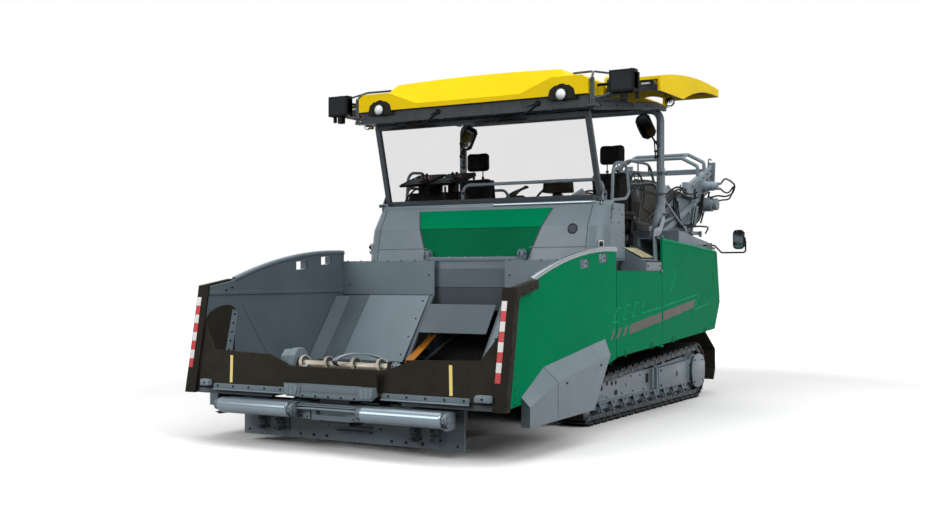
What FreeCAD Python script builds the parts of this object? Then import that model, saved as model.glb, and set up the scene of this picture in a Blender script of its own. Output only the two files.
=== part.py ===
# Material transfer vehicle: a tracked asphalt feeder with a folding front hopper, an operator's
# platform under a roof, and a conveyor that runs from the hopper to a discharge end at the rear.
# +Z is up, the hopper faces -Y, +X is the machine's left side.  Lengths along the machine are
# "stations", measured back from the front plane of the hopper's edge guards.
import FreeCAD, Part
import math
import os
import Sketcher
from FreeCAD import Placement, Rotation, Vector

doc = FreeCAD.newDocument("TransferVehicle")
sheet = doc.addObject("Spreadsheet::Sheet", "Dims")

dimensions = [
    # name, millimetres or degrees, what it sizes
    ("origin_back", 4066, "station of the middle of the overall length"),
    ("slack", 0.3, "gap between curved faces that move or lie on each other"),
    ("plate", 20, "structural plate"),
    ("sheet_metal", 8, "covers and panels"),
    # hopper
    ("wall_outer", 1565, "half width over the hopper walls and body panels"),
    ("wall_plate", 30, "hopper side wall"),
    ("wall_rear", 2240, "station of the hopper's rear edge"),
    ("wall_low_front", 420, "bottom of the wall at the front"),
    ("wall_low_rear", 690, "bottom of the wall at the rear"),
    ("wall_nose_top", 1350, "top of the wall at its front edge"),
    ("shoulder_station", 500, "station where the crown of the wall begins"),
    ("shoulder_top", 1404, "height of the wall there"),
    ("wall_rear_top", 1694, "height of the wall at its rear edge"),
    ("crown_radius", 5060, "crown of the wall's top edge"),
    ("rail_radius", 26, "round rail on the wall's top edge"),
    ("slope_foot", 1700, "station of the foot of the rear slope"),
    ("floor_low", 500, "hopper floor at the conveyor"),
    ("floor_high", 610, "hopper floor at the walls"),
    ("slope_top", 1260, "top of the rear slope"),
    ("ledge_top", 1605, "top of the rear wall"),
    ("tub_inner", 405, "inner edge of the rear slope"),
    ("band_inner", 405, "inner edge of the upper rear wall"),
    ("strip_outer", 525, "outer edge of the slope's inner strip"),
    ("strip_low", 640, "bottom of the slope's inner strip"),
    ("gusset_width", 110, "corner gusset along the rear slope"),
    ("fold_x", 620, "fold axis of a hopper half, sideways"),
    ("fold_z", 440, "fold axis of a hopper half, height"),
    ("fold_pin", 20, "fold pin radius"),
    ("fold_barrel", 34, "fold barrel radius"),
    ("fold_front", 260, "front end of the fold pin"),
    ("fold_rear", 1660, "rear end of the fold pin"),
    ("guard_proud", 57, "how far the edge guard stands out of the wall"),
    ("guard_wide", 75, "width of the edge guard"),
    ("guard_back", 545, "rear end of the guard's upper leg"),
    ("guard_foot", -20, "front of the raked guard at its foot"),
    ("guard_head", 154, "front of the raked guard at its head"),
    ("guard_inside", 62, "how far the guard covers the wall's front edge inwards"),
    ("apron_thick", 16, "rubber apron"),
    ("apron_top", 800, "top of the apron near the walls"),
    ("apron_inner", 415, "inner edge of the apron, behind the centre flap"),
    ("skirt_proud", 85, "how far the skirts stand out of the wall"),
    # front centre and push beam
    ("box_half", 460, "half width of the front centre box"),
    ("box_top", 690, "top of the front centre box"),
    ("box_low", 480, "bottom of the front centre box"),
    ("auger_station", 190, "axis of the feed auger"),
    ("auger_height", 700, "axis of the feed auger"),
    ("auger_shaft", 28, "radius of the auger's shaft"),
    ("auger_flight", 92, "radius of the auger's flight"),
    ("auger_half", 440, "half length of the auger"),
    ("roller_station", -100, "axis of the push rollers"),
    ("roller_height", 345, "axis of the push rollers"),
    ("roller_radius", 65, "push roller"),
    ("roller_inner", 370, "inner end of a push roller"),
    ("roller_outer", 1125, "outer end of a push roller"),
    ("roller_pin", 22, "push roller shaft radius"),
    ("push_half", 1130, "half width of the push plate"),
    ("push_station", 210, "front face of the push plate"),
    ("push_low", 62, "bottom of the push plate"),
    ("push_high", 385, "top of the push plate"),
    ("beam_pivot", 70, "station of the push beam's pivot"),
    ("beam_low", 262, "bottom of the push beam"),
    ("beam_high", 398, "top of the push beam"),
    ("pivot_pin", 35, "push beam pivot radius"),
    # chassis, tracks
    ("keel_inner", 462, "inner face of the main frame's side plates"),
    ("keel_outer", 520, "outer face of the main frame's side plates"),
    ("keel_rear", 5750, "rear of the tall side plates"),
    ("keel_low", 300, "bottom of the side plates"),
    ("deck_top", 1460, "top of the platform deck"),
    ("track_outer", 1170, "half width over the tracks"),
    ("track_pad", 305, "track pad width"),
    ("idler_station", 2560, "axis of the front idler"),
    ("sprocket_station", 5610, "axis of the sprocket"),
    ("idler_radius", 236, "track over the front idler"),
    ("sprocket_radius", 331, "track over the sprocket"),
    ("track_thick", 62, "depth of chain and pad"),
    ("roller_wheel", 62, "road roller radius"),
    ("grouser", 22, "height of the track's ribs"),
    ("shoe_pitch", 171, "spacing of the track's ribs"),
    # body
    ("panel_sheet", 25, "green side panels"),
    ("bulkhead_front", 2290, "front face of the bulkhead behind the hopper"),
    ("bulkhead_plate", 25, "bulkhead"),
    ("bulkhead_half", 1476, "half width of the bulkhead"),
    ("bulkhead_top", 1600, "top of the bulkhead"),
    ("mouth_top", 1345, "top of the tunnel's mouth"),
    ("gate_half", 375, "half width of the tunnel's gate"),
    ("gate_front", 1905, "lower end of the gate"),
    ("gate_low", 892, "height of the gate's lower end"),
    ("gate_rear", 2110, "upper end of the gate"),
    ("gate_top", 1165, "height of the gate's upper end"),
    ("arm_low", 1040, "underside of the gate's arms at the bulkhead"),
    ("panel_front", 2252, "front edge of the side panel"),
    ("panel_low_front", 700, "bottom of the panel at the front"),
    ("panel_low_rear", 850, "bottom of the panel at the rear"),
    ("door_front", 3430, "seam between fixed panel and service door"),
    ("door_gap", 10, "gap round the service door"),
    ("step_low", 1500, "bottom of the access opening"),
    ("panel_rear_low", 5090, "rear lower corner of the door"),
    ("panel_rear", 5270, "rearmost corner of the door"),
    ("panel_rear_mid", 1150, "height of the rearmost corner"),
    ("panel_rear_top", 5160, "rear upper corner of the door"),
    ("hood_front_top", 1840, "top of the panel behind the platform"),
    ("hood_rear_top", 1740, "top of the panel at the rear"),
    ("hood_crown", 110, "how far the grey hood stands above the panels"),
    ("hood_half", 1380, "half width of the grey hood"),
    ("hood_front", 4420, "front of the grey hood"),
    ("hood_rear", 5420, "rear of the grey hood"),
    ("tunnel_half", 650, "half width of the conveyor's gap in the hood"),
    ("hood_low", 1300, "bottom of the hood"),
    # platform
    ("platform_half", 1300, "half width of the platform"),
    ("shell_half", 1350, "half width of the shell under the windscreen"),
    ("shell_front", 2360, "front of the shell under the windscreen"),
    ("shell_rear", 2960, "rear of the shell's side cheeks"),
    ("shell_low", 1600, "bottom of the shell"),
    ("shell_top", 2140, "top of the shell"),
    ("shell_lean", 190, "how far the shell leans back"),
    ("shell_corner", 160, "corner radius of the shell"),
    ("screen_half", 1250, "half width of the windscreen"),
    ("screen_foot", 2650, "station of the windscreen's foot"),
    ("screen_low", 2190, "height of the windscreen's foot"),
    ("screen_high", 872, "length of the windscreen up its slope"),
    ("screen_tilt", 17.2, "forward lean of the windscreen, degrees"),
    ("screen_bar", 50, "windscreen frame bar"),
    ("glass", 8, "windscreen glass"),
    ("seat_x", 830, "seat, sideways"),
    ("seat_station", 3595, "seat swivel axis"),
    ("seat_post", 285, "height of the seat's post"),
    # roof
    ("roof_half", 1300, "half width of the roof"),
    ("roof_front", 2180, "front edge of the roof"),
    ("roof_rear", 4330, "rear edge of the roof"),
    ("roof_beam_low", 3030, "underside of the roof's front beam"),
    ("roof_skin", 3150, "lower edge of the yellow shell"),
    ("roof_rear_low", 3285, "height of the roof shell's lower edge at the rear"),
    ("roof_fold", 3200, "fold in the shell's front, between the humps"),
    ("roof_shoulder", 3330, "top of the shell's outer parts"),
    ("roof_top", 3460, "top of the roof"),
    ("lamp_x", 1035, "work lamps, sideways"),
    ("crown_half", 940, "half width of the raised middle"),
    ("crown_rise", 25, "camber of the raised middle"),
    ("fold_half", 575, "half length of the fold between the humps"),
    ("hump_inner", 925, "inner end of a hump's top"),
    ("portal_x", 1240, "rear portal leg, sideways"),
    ("portal_station", 4230, "rear portal leg, station"),
    ("portal_top", 3257, "height of the portal's crossbar"),
    ("portal_tube", 42, "half side of the portal's tube"),
    ("flap_outer", 1850, "outer edge of the roof's side flaps"),
    ("flap_front", 2610, "front of the side flaps"),
    ("flap_rear", 4345, "rear of the side flaps"),
    # conveyor
    ("deck_cut", 600, "half width of the conveyor's gap in the deck"),
    ("belt_half", 420, "half width of the belt"),
    ("belt_thick", 14, "belt"),
    ("tail_station", 480, "tail drum axis"),
    ("tail_radius", 85, "tail drum"),
    ("belt_level", 500, "belt in the hopper"),
    ("knee_station", 1900, "where the belt begins to climb"),
    ("head_station", 7440, "head drum axis"),
    ("head_radius", 140, "head drum"),
    ("head_height", 2410, "head drum axis"),
    ("boom_inner", 545, "inner face of the conveyor's side plates"),
    ("boom_outer", 575, "outer face of the conveyor's side plates"),
    ("boom_front", 3900, "front end of the rear conveyor frame"),
    ("boom_rear", 7700, "rear end of the rear conveyor frame"),
    ("cover_front", 3960, "front end of the arched belt cover"),
    ("cover_rear", 6700, "rear end of the arched belt cover"),
    ("cover_rise", 360, "rise of the belt cover"),
    ("hoop_tube", 24, "tube radius of the discharge hoops"),
    ("hoop_top", 3040, "height of the discharge hoops"),
]


class Size:
    """A number together with the sheet expression that it comes from."""

    def __init__(self, value, text):
        self.value = float(value)
        self.text = text

    def __float__(self):
        return self.value

    def __neg__(self):
        return Size(-self.value, "(-1 * " + self.text + ")")

    def __add__(self, other):
        return join(self, "+", other)

    def __radd__(self, other):
        return join(other, "+", self)

    def __sub__(self, other):
        return join(self, "-", other)

    def __rsub__(self, other):
        return join(other, "-", self)

    def __mul__(self, other):
        return join(self, "*", other)

    def __rmul__(self, other):
        return join(other, "*", self)

    def __truediv__(self, other):
        return join(self, "/", other)

    def __lt__(self, other):
        return float(self) < float(other)


def as_size(item):
    return item if isinstance(item, Size) else Size(item, "(%s)" % repr(float(item)))


def join(left, sign, right):
    left = as_size(left)
    right = as_size(right)
    results = {
        "+": left.value + right.value,
        "-": left.value - right.value,
        "*": left.value * right.value,
    }
    value = left.value / right.value if sign == "/" else results[sign]
    return Size(value, "(%s %s %s)" % (left.text, sign, right.text))


class Sizes:
    """Every driving dimension by name."""


def fill_sheet():
    sizes = Sizes()
    for row, (name, value, note) in enumerate(dimensions, start=1):
        sheet.set("A%d" % row, note)
        sheet.set("B%d" % row, repr(value))
        sheet.setAlias("B%d" % row, name)
        setattr(sizes, name, Size(value, "Dims." + name))
    doc.recompute()
    return sizes


d = fill_sheet()
nodes = []


def at(station):
    """A station along the machine as a Y coordinate."""
    return station - d.origin_back


def bind(item, prop, size):
    if isinstance(size, Size):
        item.setExpression(prop, size.text)


def bind_base(item, x, y, z):
    for axis, size in (("x", x), ("y", y), ("z", z)):
        bind(item, "Placement.Base." + axis, size)


def node(item, label):
    """Names a finished sub-part and lists it for export."""
    item.Label = label
    nodes.append(item)
    return item


# ---- sketches and PartDesign bodies -------------------------------------------------------------

def draw(sketch, outline):
    """Adds a closed outline of (a, b) corners; a third number is the radius of an arc to the next
    corner, positive where the arc turns left."""
    first = sketch.GeometryCount
    count = len(outline)
    ends = []
    for index, corner in enumerate(outline):
        following = outline[(index + 1) % count]
        start = Vector(float(corner[0]), float(corner[1]), 0)
        end = Vector(float(following[0]), float(following[1]), 0)
        if len(corner) == 2:
            sketch.addGeometry(Part.LineSegment(start, end), False)
            ends.append((1, 2))
            continue
        radius = float(corner[2])
        chord = end - start
        side = Vector(-chord.y, chord.x, 0).normalize()
        rise = math.sqrt(max(radius * radius - chord.Length ** 2 / 4, 0))
        centre = (start + end) * 0.5 + side * math.copysign(rise, radius)
        low, high = (start, end) if radius > 0 else (end, start)
        turn_low = math.atan2(low.y - centre.y, low.x - centre.x)
        turn_high = math.atan2(high.y - centre.y, high.x - centre.x)
        circle = Part.Circle(centre, Vector(0, 0, 1), abs(radius))
        sketch.addGeometry(Part.ArcOfCircle(circle, turn_low, turn_high), False)
        ends.append((1, 2) if radius > 0 else (2, 1))
        limit = sketch.addConstraint(Sketcher.Constraint("Radius", first + index, abs(radius)))
        if isinstance(corner[2], Size):
            text = corner[2].text if radius > 0 else (-corner[2]).text
            sketch.setExpression("Constraints[%d]" % limit, text)
    for index in range(count):
        after = (index + 1) % count
        sketch.addConstraint(Sketcher.Constraint(
            "Coincident", first + index, ends[index][1], first + after, ends[after][0]))
    for index, corner in enumerate(outline):
        for kind, size in (("DistanceX", corner[0]), ("DistanceY", corner[1])):
            place = sketch.addConstraint(Sketcher.Constraint(
                kind, -1, 1, first + index, ends[index][0], float(size)))
            if isinstance(size, Size):
                sketch.setExpression("Constraints[%d]" % place, size.text)


def circle(sketch, a, b, radius):
    index = sketch.addGeometry(
        Part.Circle(Vector(float(a), float(b), 0), Vector(0, 0, 1), float(radius)), False)
    limit = sketch.addConstraint(Sketcher.Constraint("Radius", index, float(radius)))
    if isinstance(radius, Size):
        sketch.setExpression("Constraints[%d]" % limit, radius.text)
    for kind, size in (("DistanceX", a), ("DistanceY", b)):
        place = sketch.addConstraint(Sketcher.Constraint(kind, -1, 1, index, 3, float(size)))
        if isinstance(size, Size):
            sketch.setExpression("Constraints[%d]" % place, size.text)


def sketch_on(body, plane, offset, outlines, holes=()):
    """A sketch on an origin plane of its own body, shifted along the plane's axis."""
    sketch = body.newObject("Sketcher::SketchObject", "Sketch")
    support = [item for item in body.Origin.OriginFeatures if item.Role == plane][0]
    sketch.AttachmentSupport = [(support, "")]
    sketch.MapMode = "FlatFace"
    shift = -offset if plane == "XZ_Plane" else offset
    sketch.AttachmentOffset = Placement(Vector(0, 0, float(shift)), Rotation())
    bind(sketch, "AttachmentOffset.Base.z", shift)
    for outline in outlines:
        draw(sketch, outline)
    for a, b, radius in holes:
        circle(sketch, a, b, radius)
    return sketch


def spread(plane, outlines, holes, low, high):
    """Turns stations into Y coordinates, whichever way the sketch plane lies."""
    if plane == "YZ_Plane":
        outlines = [[(at(c[0]),) + tuple(c[1:]) for c in line] for line in outlines]
        holes = [(at(a), b, radius) for a, b, radius in holes]
    elif plane == "XY_Plane":
        outlines = [[(c[0], at(c[1])) + tuple(c[2:]) for c in line] for line in outlines]
        holes = [(a, at(b), radius) for a, b, radius in holes]
    else:
        low, high = at(low), at(high)
    return outlines, holes, low, high


def pad(body, plane, outlines, low, high, holes=(), local=False):
    """Adds material between two values of the plane's axis."""
    if not local:
        outlines, holes, low, high = spread(plane, outlines, holes, low, high)
    start = high if plane == "XZ_Plane" else low
    sketch = sketch_on(body, plane, start, outlines, holes)
    feature = body.newObject("PartDesign::Pad", "Pad")
    feature.Profile = sketch
    feature.Length = float(high) - float(low)
    if isinstance(high, Size) or isinstance(low, Size):
        bind(feature, "Length", as_size(high) - low)
    sketch.Visibility = False
    return feature


def pocket(body, plane, outlines, low, high, holes=(), local=False):
    """Cuts between two values of the plane's axis."""
    if not local:
        outlines, holes, low, high = spread(plane, outlines, holes, low, high)
    start = low if plane == "XZ_Plane" else high
    sketch = sketch_on(body, plane, start, outlines, holes)
    feature = body.newObject("PartDesign::Pocket", "Pocket")
    feature.Profile = sketch
    feature.Length = float(high) - float(low)
    if isinstance(high, Size) or isinstance(low, Size):
        bind(feature, "Length", as_size(high) - low)
    sketch.Visibility = False
    return feature


def new_body(name):
    return doc.addObject("PartDesign::Body", name)


def prism(name, plane, outline, low, high, holes=(), local=False):
    body = new_body(name)
    outlines = outline if isinstance(outline[0], list) else [outline]
    pad(body, plane, outlines, low, high, holes, local)
    return body


def dress(body, kind, radius, wanted):
    """Rounds or bevels the edges of the body's last feature that the test picks."""
    doc.recompute()
    feature = body.Tip
    names = []
    for index, edge in enumerate(feature.Shape.Edges, start=1):
        ends = [vertex.Point for vertex in edge.Vertexes]
        if len(ends) == 2 and wanted(ends[0], ends[1]):
            names.append("Edge%d" % index)
    item = body.newObject("PartDesign::" + kind, kind)
    item.Base = (feature, names)
    prop = "Radius" if kind == "Fillet" else "Size"
    setattr(item, prop, float(radius))
    bind(item, prop, radius)
    body.Tip = item
    return item


def turned(name, profile, x, station, z, along="X"):
    """A revolved body: the profile holds (along the axis, radius) corners."""
    body = new_body(name)
    plane = {"X": "XZ_Plane", "Y": "YZ_Plane", "Z": "XZ_Plane"}[along]
    outline = [(b, a) + tuple(c) for a, b, *c in profile] if along == "Z" else profile
    sketch = sketch_on(body, plane, 0, [outline])
    feature = body.newObject("PartDesign::Revolution", "Revolution")
    feature.Profile = sketch
    feature.ReferenceAxis = (sketch, ["V_Axis" if along == "Z" else "H_Axis"])
    feature.Angle = 360
    body.Placement = Placement(Vector(float(x), float(at(station)), float(z)), Rotation())
    bind_base(body, x, at(station), z)
    return body


# ---- Part primitives and booleans ---------------------------------------------------------------

def box(name, x, stations, z):
    item = doc.addObject("Part::Box", name)
    spans = (("Length", x), ("Width", stations), ("Height", z))
    corner = (x[0], at(stations[0]), z[0])
    item.Placement = Placement(Vector(*[float(size) for size in corner]), Rotation())
    bind_base(item, *corner)
    for prop, (low, high) in spans:
        length = as_size(high) - low
        setattr(item, prop, float(length))
        bind(item, prop, length)
    return item


def rod(name, along, x, station, z, radius, length):
    """A cylinder from the given end, along +X, +Y or +Z."""
    item = doc.addObject("Part::Cylinder", name)
    turns = {"X": Rotation(Vector(0, 1, 0), 90), "Y": Rotation(Vector(1, 0, 0), -90), "Z": Rotation()}
    item.Placement = Placement(Vector(float(x), float(at(station)), float(z)), turns[along])
    bind_base(item, x, at(station), z)
    item.Radius = float(radius)
    item.Height = float(length)
    bind(item, "Radius", radius)
    bind(item, "Height", length)
    return item


def fuse(name, parts):
    item = doc.addObject("Part::MultiFuse", name)
    item.Shapes = parts
    return item


def cut(name, base, tools):
    item = doc.addObject("Part::Cut", name)
    item.Base = base
    item.Tool = tools[0] if len(tools) == 1 else fuse(name + "Tools", tools)
    return item


def group(name, parts):
    """Like pieces of one sub-part that don't touch each other."""
    item = doc.addObject("Part::Compound", name)
    item.Links = parts
    return item


def mirrored(name, source):
    item = doc.addObject("Part::Mirroring", name)
    item.Source = source
    item.Normal = Vector(1, 0, 0)
    item.Base = Vector(0, 0, 0)
    return item


def both_sides(name, source):
    return group(name, [source, mirrored(name + "Right", source)])


def left_and_right(source, label):
    """The left sub-part and its mirror image, as two nodes."""
    node(source, "left_" + label)
    node(mirrored("Right" + label, source), "right_" + label)


def shape_node(name, shape):
    item = doc.addObject("Part::Feature", name)
    item.Shape = shape
    item.Placement = Placement()
    return item


def pipe(points, radius, bend, square=False):
    """A round or square tube along straight runs joined by tangent arcs."""
    corners = [Vector(float(x), float(at(y)), float(z)) for x, y, z in points]
    edges = []
    start = corners[0]
    for index in range(1, len(corners) - 1):
        corner = corners[index]
        into = (corners[index - 1] - corner).normalize()
        out = (corners[index + 1] - corner).normalize()
        half = math.acos(max(-1, min(1, into.dot(out)))) / 2
        reach = bend / math.tan(half)
        middle = corner + (into + out).normalize() * (bend / math.sin(half) - bend)
        first = corner + into * reach
        last = corner + out * reach
        edges.append(Part.LineSegment(start, first).toShape())
        edges.append(Part.Arc(first, middle, last).toShape())
        start = last
    edges.append(Part.LineSegment(start, corners[-1]).toShape())
    path = Part.Wire(edges)
    heading = (corners[1] - corners[0]).normalize()
    if square:
        across = Vector(0, 0, 1) if abs(heading.z) < 0.9 else Vector(1, 0, 0)
        side = heading.cross(across).normalize()
        rise = heading.cross(side).normalize()
        ring = [corners[0] + side * a * radius + rise * b * radius
                for a, b in ((1, 1), (-1, 1), (-1, -1), (1, -1), (1, 1))]
        profile = Part.makePolygon(ring)
    else:
        profile = Part.Wire(Part.makeCircle(radius, corners[0], heading))
    return path.makePipeShell([profile], True, False)


def slab(corners, thick):
    """A flat plate through three or more points, given its thickness towards its normal."""
    points = [Vector(float(x), float(at(y)), float(z)) for x, y, z in corners]
    normal = (points[1] - points[0]).cross(points[2] - points[1]).normalize()
    face = Part.Face(Part.makePolygon(points + points[:1]))
    return face.extrude(normal * float(thick))


def facet_loft(low_ring, high_ring, low, high):
    """A solid with flat facets between two outlines of (station, height) corners across X."""
    rings = []
    for x, ring in ((low, low_ring), (high, high_ring)):
        points = [Vector(x, float(at(y)), float(z)) for y, z in ring]
        rings.append(Part.makePolygon(points + points[:1]))
    return Part.makeLoft(rings, True, True)


def shrunk(ring, share):
    """An outline drawn in towards its middle."""
    middle_y = sum(y for y, z in ring) / len(ring)
    middle_z = sum(z for y, z in ring) / len(ring)
    return [(middle_y + (y - middle_y) * share, middle_z + (z - middle_z) * share) for y, z in ring]


def octagon(x, z, half_wide, half_tall, tilt):
    """A tall outline with cut corners, leaned sideways by an angle in degrees."""
    corner = min(half_wide, half_tall) * 0.45
    ring = []
    for a, b in ((-1, -1), (1, -1), (1, 1), (-1, 1)):
        near_side = (a * (half_wide - corner), b * half_tall)
        near_end = (a * half_wide, b * (half_tall - corner))
        ring += [near_side, near_end] if a * b < 0 else [near_end, near_side]
    turn = math.radians(tilt)
    return [(x + a * math.cos(turn) - b * math.sin(turn), z + a * math.sin(turn) + b * math.cos(turn))
            for a, b in ring]


def keel_front():
    """The tall side plates start at the back of the bulkhead."""
    return d.bulkhead_front + d.bulkhead_plate


def guard_line(height, back=0):
    """Station of the hopper walls' raked front plane at a height, or of a plane behind it."""
    rise = d.wall_nose_top + 15 - d.wall_low_front
    rake = (d.guard_head - d.guard_foot) / rise
    return d.guard_foot + back + (as_size(height) - d.wall_low_front) * rake


def wall_top(station):
    """Height of the crowned top edge of a hopper wall."""
    y1, z1 = float(d.shoulder_station), float(d.shoulder_top)
    y2, z2 = float(d.wall_rear), float(d.wall_rear_top)
    chord = Vector(y2 - y1, z2 - z1, 0)
    radius = float(d.crown_radius)
    drop = math.sqrt(radius ** 2 - chord.Length ** 2 / 4)
    side = Vector(chord.y, -chord.x, 0).normalize()
    centre = Vector((y1 + y2) / 2, (z1 + z2) / 2, 0) + side * drop
    return centre.y + math.sqrt(radius ** 2 - (station - centre.x) ** 2)


def belt_rise():
    """How much the belt climbs for each millimetre of station."""
    return (d.head_height + d.head_radius - d.belt_level) / (d.head_station - d.knee_station)


def belt_line(station):
    """Height of the belt's carrying side above a station of the climb."""
    return d.belt_level + (station - d.knee_station) * belt_rise()


# ---- hopper -------------------------------------------------------------------------------------

def hopper_wall():
    """Side wall with a crowned top edge, its rail, a crease and two square holes."""
    inner = d.wall_outer - d.wall_plate
    outline = [
        (guard_line(d.wall_low_front, d.plate), d.wall_low_front),
        (d.slope_foot + 100, d.floor_high - 10), (d.wall_rear, d.wall_low_rear),
        (d.wall_rear, d.wall_rear_top, d.crown_radius), (d.shoulder_station, d.shoulder_top),
        (guard_line(d.wall_nose_top, d.plate), d.wall_nose_top)]
    wall = prism("HopperWall", "YZ_Plane", outline, inner, d.wall_outer)
    slots = []
    for station, height in ((1533, 1560), (1937, 1612)):
        slots.append([(station - 90, height - 48), (station + 90, height - 34),
                      (station + 90, height + 46), (station - 90, height + 32)])
    pocket(wall, "YZ_Plane", slots, inner - 5, d.wall_outer + 5)
    middle = (float(d.shoulder_station) + float(d.wall_rear)) / 2
    x = float(d.wall_outer - d.wall_plate / 2)
    ends = [Vector(x, float(at(y)), wall_top(y)) for y in
            (float(d.guard_back) + 1, middle, float(d.wall_rear) - 1)]
    arc = Part.Arc(*ends).toShape()
    ring = Part.Wire(Part.makeCircle(float(d.rail_radius), ends[0], arc.tangentAt(0)))
    rail = shape_node("CrownRail", Part.Wire(arc).makePipeShell([ring], True, False))
    crease = box("WallCrease", (inner - 14, inner), (d.guard_head + 30, d.wall_rear - 30), (1282, 1310))
    return fuse("HopperWallWelded", [wall, rail, crease])


def hopper_tub():
    """Floor, rear slope, rear wall and corner gusset of one half, with its hinge barrels."""
    inner = d.wall_outer - d.wall_plate
    low = d.floor_low - d.plate
    floor = prism("HopperFloor", "XZ_Plane", [
        (d.fold_x, low), (inner, d.floor_high - d.plate), (inner, d.floor_high),
        (d.fold_x, d.floor_low)], 60, d.slope_foot + 60)
    lean = d.plate * 1.4
    slope_low = d.floor_high - 30
    slope = prism("RearSlope", "YZ_Plane", [
        (d.slope_foot, slope_low), (d.slope_foot + lean, slope_low),
        (d.wall_rear, d.slope_top - 10), (d.wall_rear, d.slope_top + 20),
        (d.wall_rear - lean, d.slope_top)], d.tub_inner, inner)
    pocket(slope, "XZ_Plane", [[
        (d.tub_inner - 10, slope_low - 10), (d.strip_outer, slope_low - 10),
        (d.strip_outer, d.strip_low), (d.tub_inner - 10, d.strip_low)]],
        d.slope_foot - 20, d.wall_rear)
    band = box("RearBand", (d.band_inner, inner), (d.wall_rear - 20, d.wall_rear),
               (d.slope_top - 15, d.ledge_top))
    ledge = box("RearLedge", (d.band_inner, inner), (d.wall_rear - 20, d.wall_rear + 28),
                (d.ledge_top - 12, d.ledge_top))
    back = d.plate + 4 + d.apron_thick
    sill_top = d.floor_low + 20
    sill = prism("FrontSill", "YZ_Plane", [
        (guard_line(d.wall_low_front, back), d.wall_low_front), (62, d.wall_low_front),
        (62, sill_top), (guard_line(sill_top, back), sill_top)], d.fold_x + 40, inner)
    reach = (d.wall_rear - lean - d.slope_foot) / (d.slope_top - slope_low)
    foot, head = d.floor_high - 14, d.slope_top - 20
    rows = [(z, d.slope_foot + 6 + (z - slope_low) * reach) for z in (foot, head)]
    (z1, y1), (z2, y2) = rows
    wide = d.gusset_width
    corner = shape_node("CornerGusset", slab([
        (inner - 8, y1 - wide, z1), (inner - 8 - wide, y1, z1),
        (inner - 8 - wide, y2, z2), (inner - 8, y2 - wide, z2)], 12))
    ribs = []
    for station in (420, 1050, 1600):
        ribs.append(prism("FloorRib", "XZ_Plane", [
            (d.fold_x + 60, low - 45), (inner, d.floor_high - 120),
            (inner, d.floor_high - 15), (d.fold_x + 60, low + 8)], station, station + 20))
    barrels = []
    for start, end in barrel_spans():
        barrels.append(rod("FoldBarrel", "Y", d.fold_x, start, d.fold_z, d.fold_barrel, end - start))
        barrels.append(box("BarrelWeb", (d.fold_x, d.fold_x + 40), (start, end),
                           (d.fold_z + 15, d.fold_z + 50)))
    bore = rod("FoldBore", "Y", d.fold_x, d.fold_front - 400, d.fold_z, d.fold_pin + d.slack / 5, 2600)
    body = fuse("HopperTubWelded", [floor, slope, band, ledge, sill, corner] + ribs + barrels)
    return cut("HopperTub", body, [bore])


def barrel_spans():
    """Stations of the hopper's hinge barrels; the frame's lugs stand between them."""
    first = d.fold_front + 60
    pitch = (d.fold_rear - d.fold_front - 120) / 3
    return [(first + pitch * k + 30, first + pitch * (k + 1) - 30) for k in range(3)]


def edge_guard():
    """Rubber guard along the raked front edge of the wall, with a leg back along its top."""
    outer = d.wall_outer + d.guard_proud
    low = d.wall_low_front
    top = d.wall_nose_top + 15
    inside = top - 80
    guard = prism("EdgeGuard", "YZ_Plane", [
        (guard_line(low), low), (guard_line(low, d.guard_wide), low),
        (guard_line(inside, d.guard_wide), inside), (d.guard_back, d.shoulder_top - 50),
        (d.guard_back - 12, d.shoulder_top + 22), (guard_line(top), top)], d.wall_outer, outer)
    pad(guard, "YZ_Plane", [[
        (guard_line(low), low), (guard_line(low, d.plate), low),
        (guard_line(top, d.plate), top), (guard_line(top), top)]],
        d.wall_outer - d.guard_inside, d.wall_outer)
    return guard


def apron():
    """Rubber sheet across the front of a hopper half, raked like the edge guard."""
    wall = d.wall_outer - d.guard_inside
    inner = d.apron_inner
    low = d.floor_low - 30
    top = d.apron_top + 210
    face = d.plate + 4
    back = face + d.apron_thick
    flap = prism("ApronFlap", "YZ_Plane", [
        (guard_line(low, face), low), (guard_line(low, back), low),
        (guard_line(top, back), top), (guard_line(top, face), top)], inner, wall)
    over = [(inner - 10, d.box_top), (d.box_half + 30, d.box_top), (d.box_half + 260, d.apron_top - 20),
            (wall - 150, d.apron_top), (wall + 5, top + 7), (inner - 10, top + 7)]
    under = [(inner - 15, low - 15), (inner + 136, low - 15), (inner - 15, low + 57)]
    pocket(flap, "XZ_Plane", [over, under], -30, 180)
    return flap


def wall_liner():
    """Rubber patch on the inside of the wall, behind the apron."""
    inner = d.wall_outer - d.wall_plate
    foot = d.floor_high + 30
    liner = prism("WallLiner", "YZ_Plane", [
        (guard_line(foot, 60), foot), (520, foot), (520, 900, 260), (300, 1140, 260),
        (guard_line(900, 60), 900)], inner - d.apron_thick, inner)
    return liner


def skirt():
    """Folded cover outside the wall: a wide upper facet, a front facet and a flat side."""
    foot = [(346, 268), (1600, 285), (1978, 885), (739, 716), (346, 504)]
    face = [(330, 268), (1552, 290), (1907, 745), (830, 591), (330, 433)]
    x = float(d.wall_outer)
    side = x + float(d.skirt_proud)
    outer = facet_loft(foot, face, x, side)
    inner = facet_loft(shrunk(foot, 0.95), shrunk(face, 0.95), x - 5, side - float(d.sheet_metal))
    return shape_node("Skirt", outer.cut(inner))


# ---- front centre, push beam, auger -------------------------------------------------------------

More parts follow.
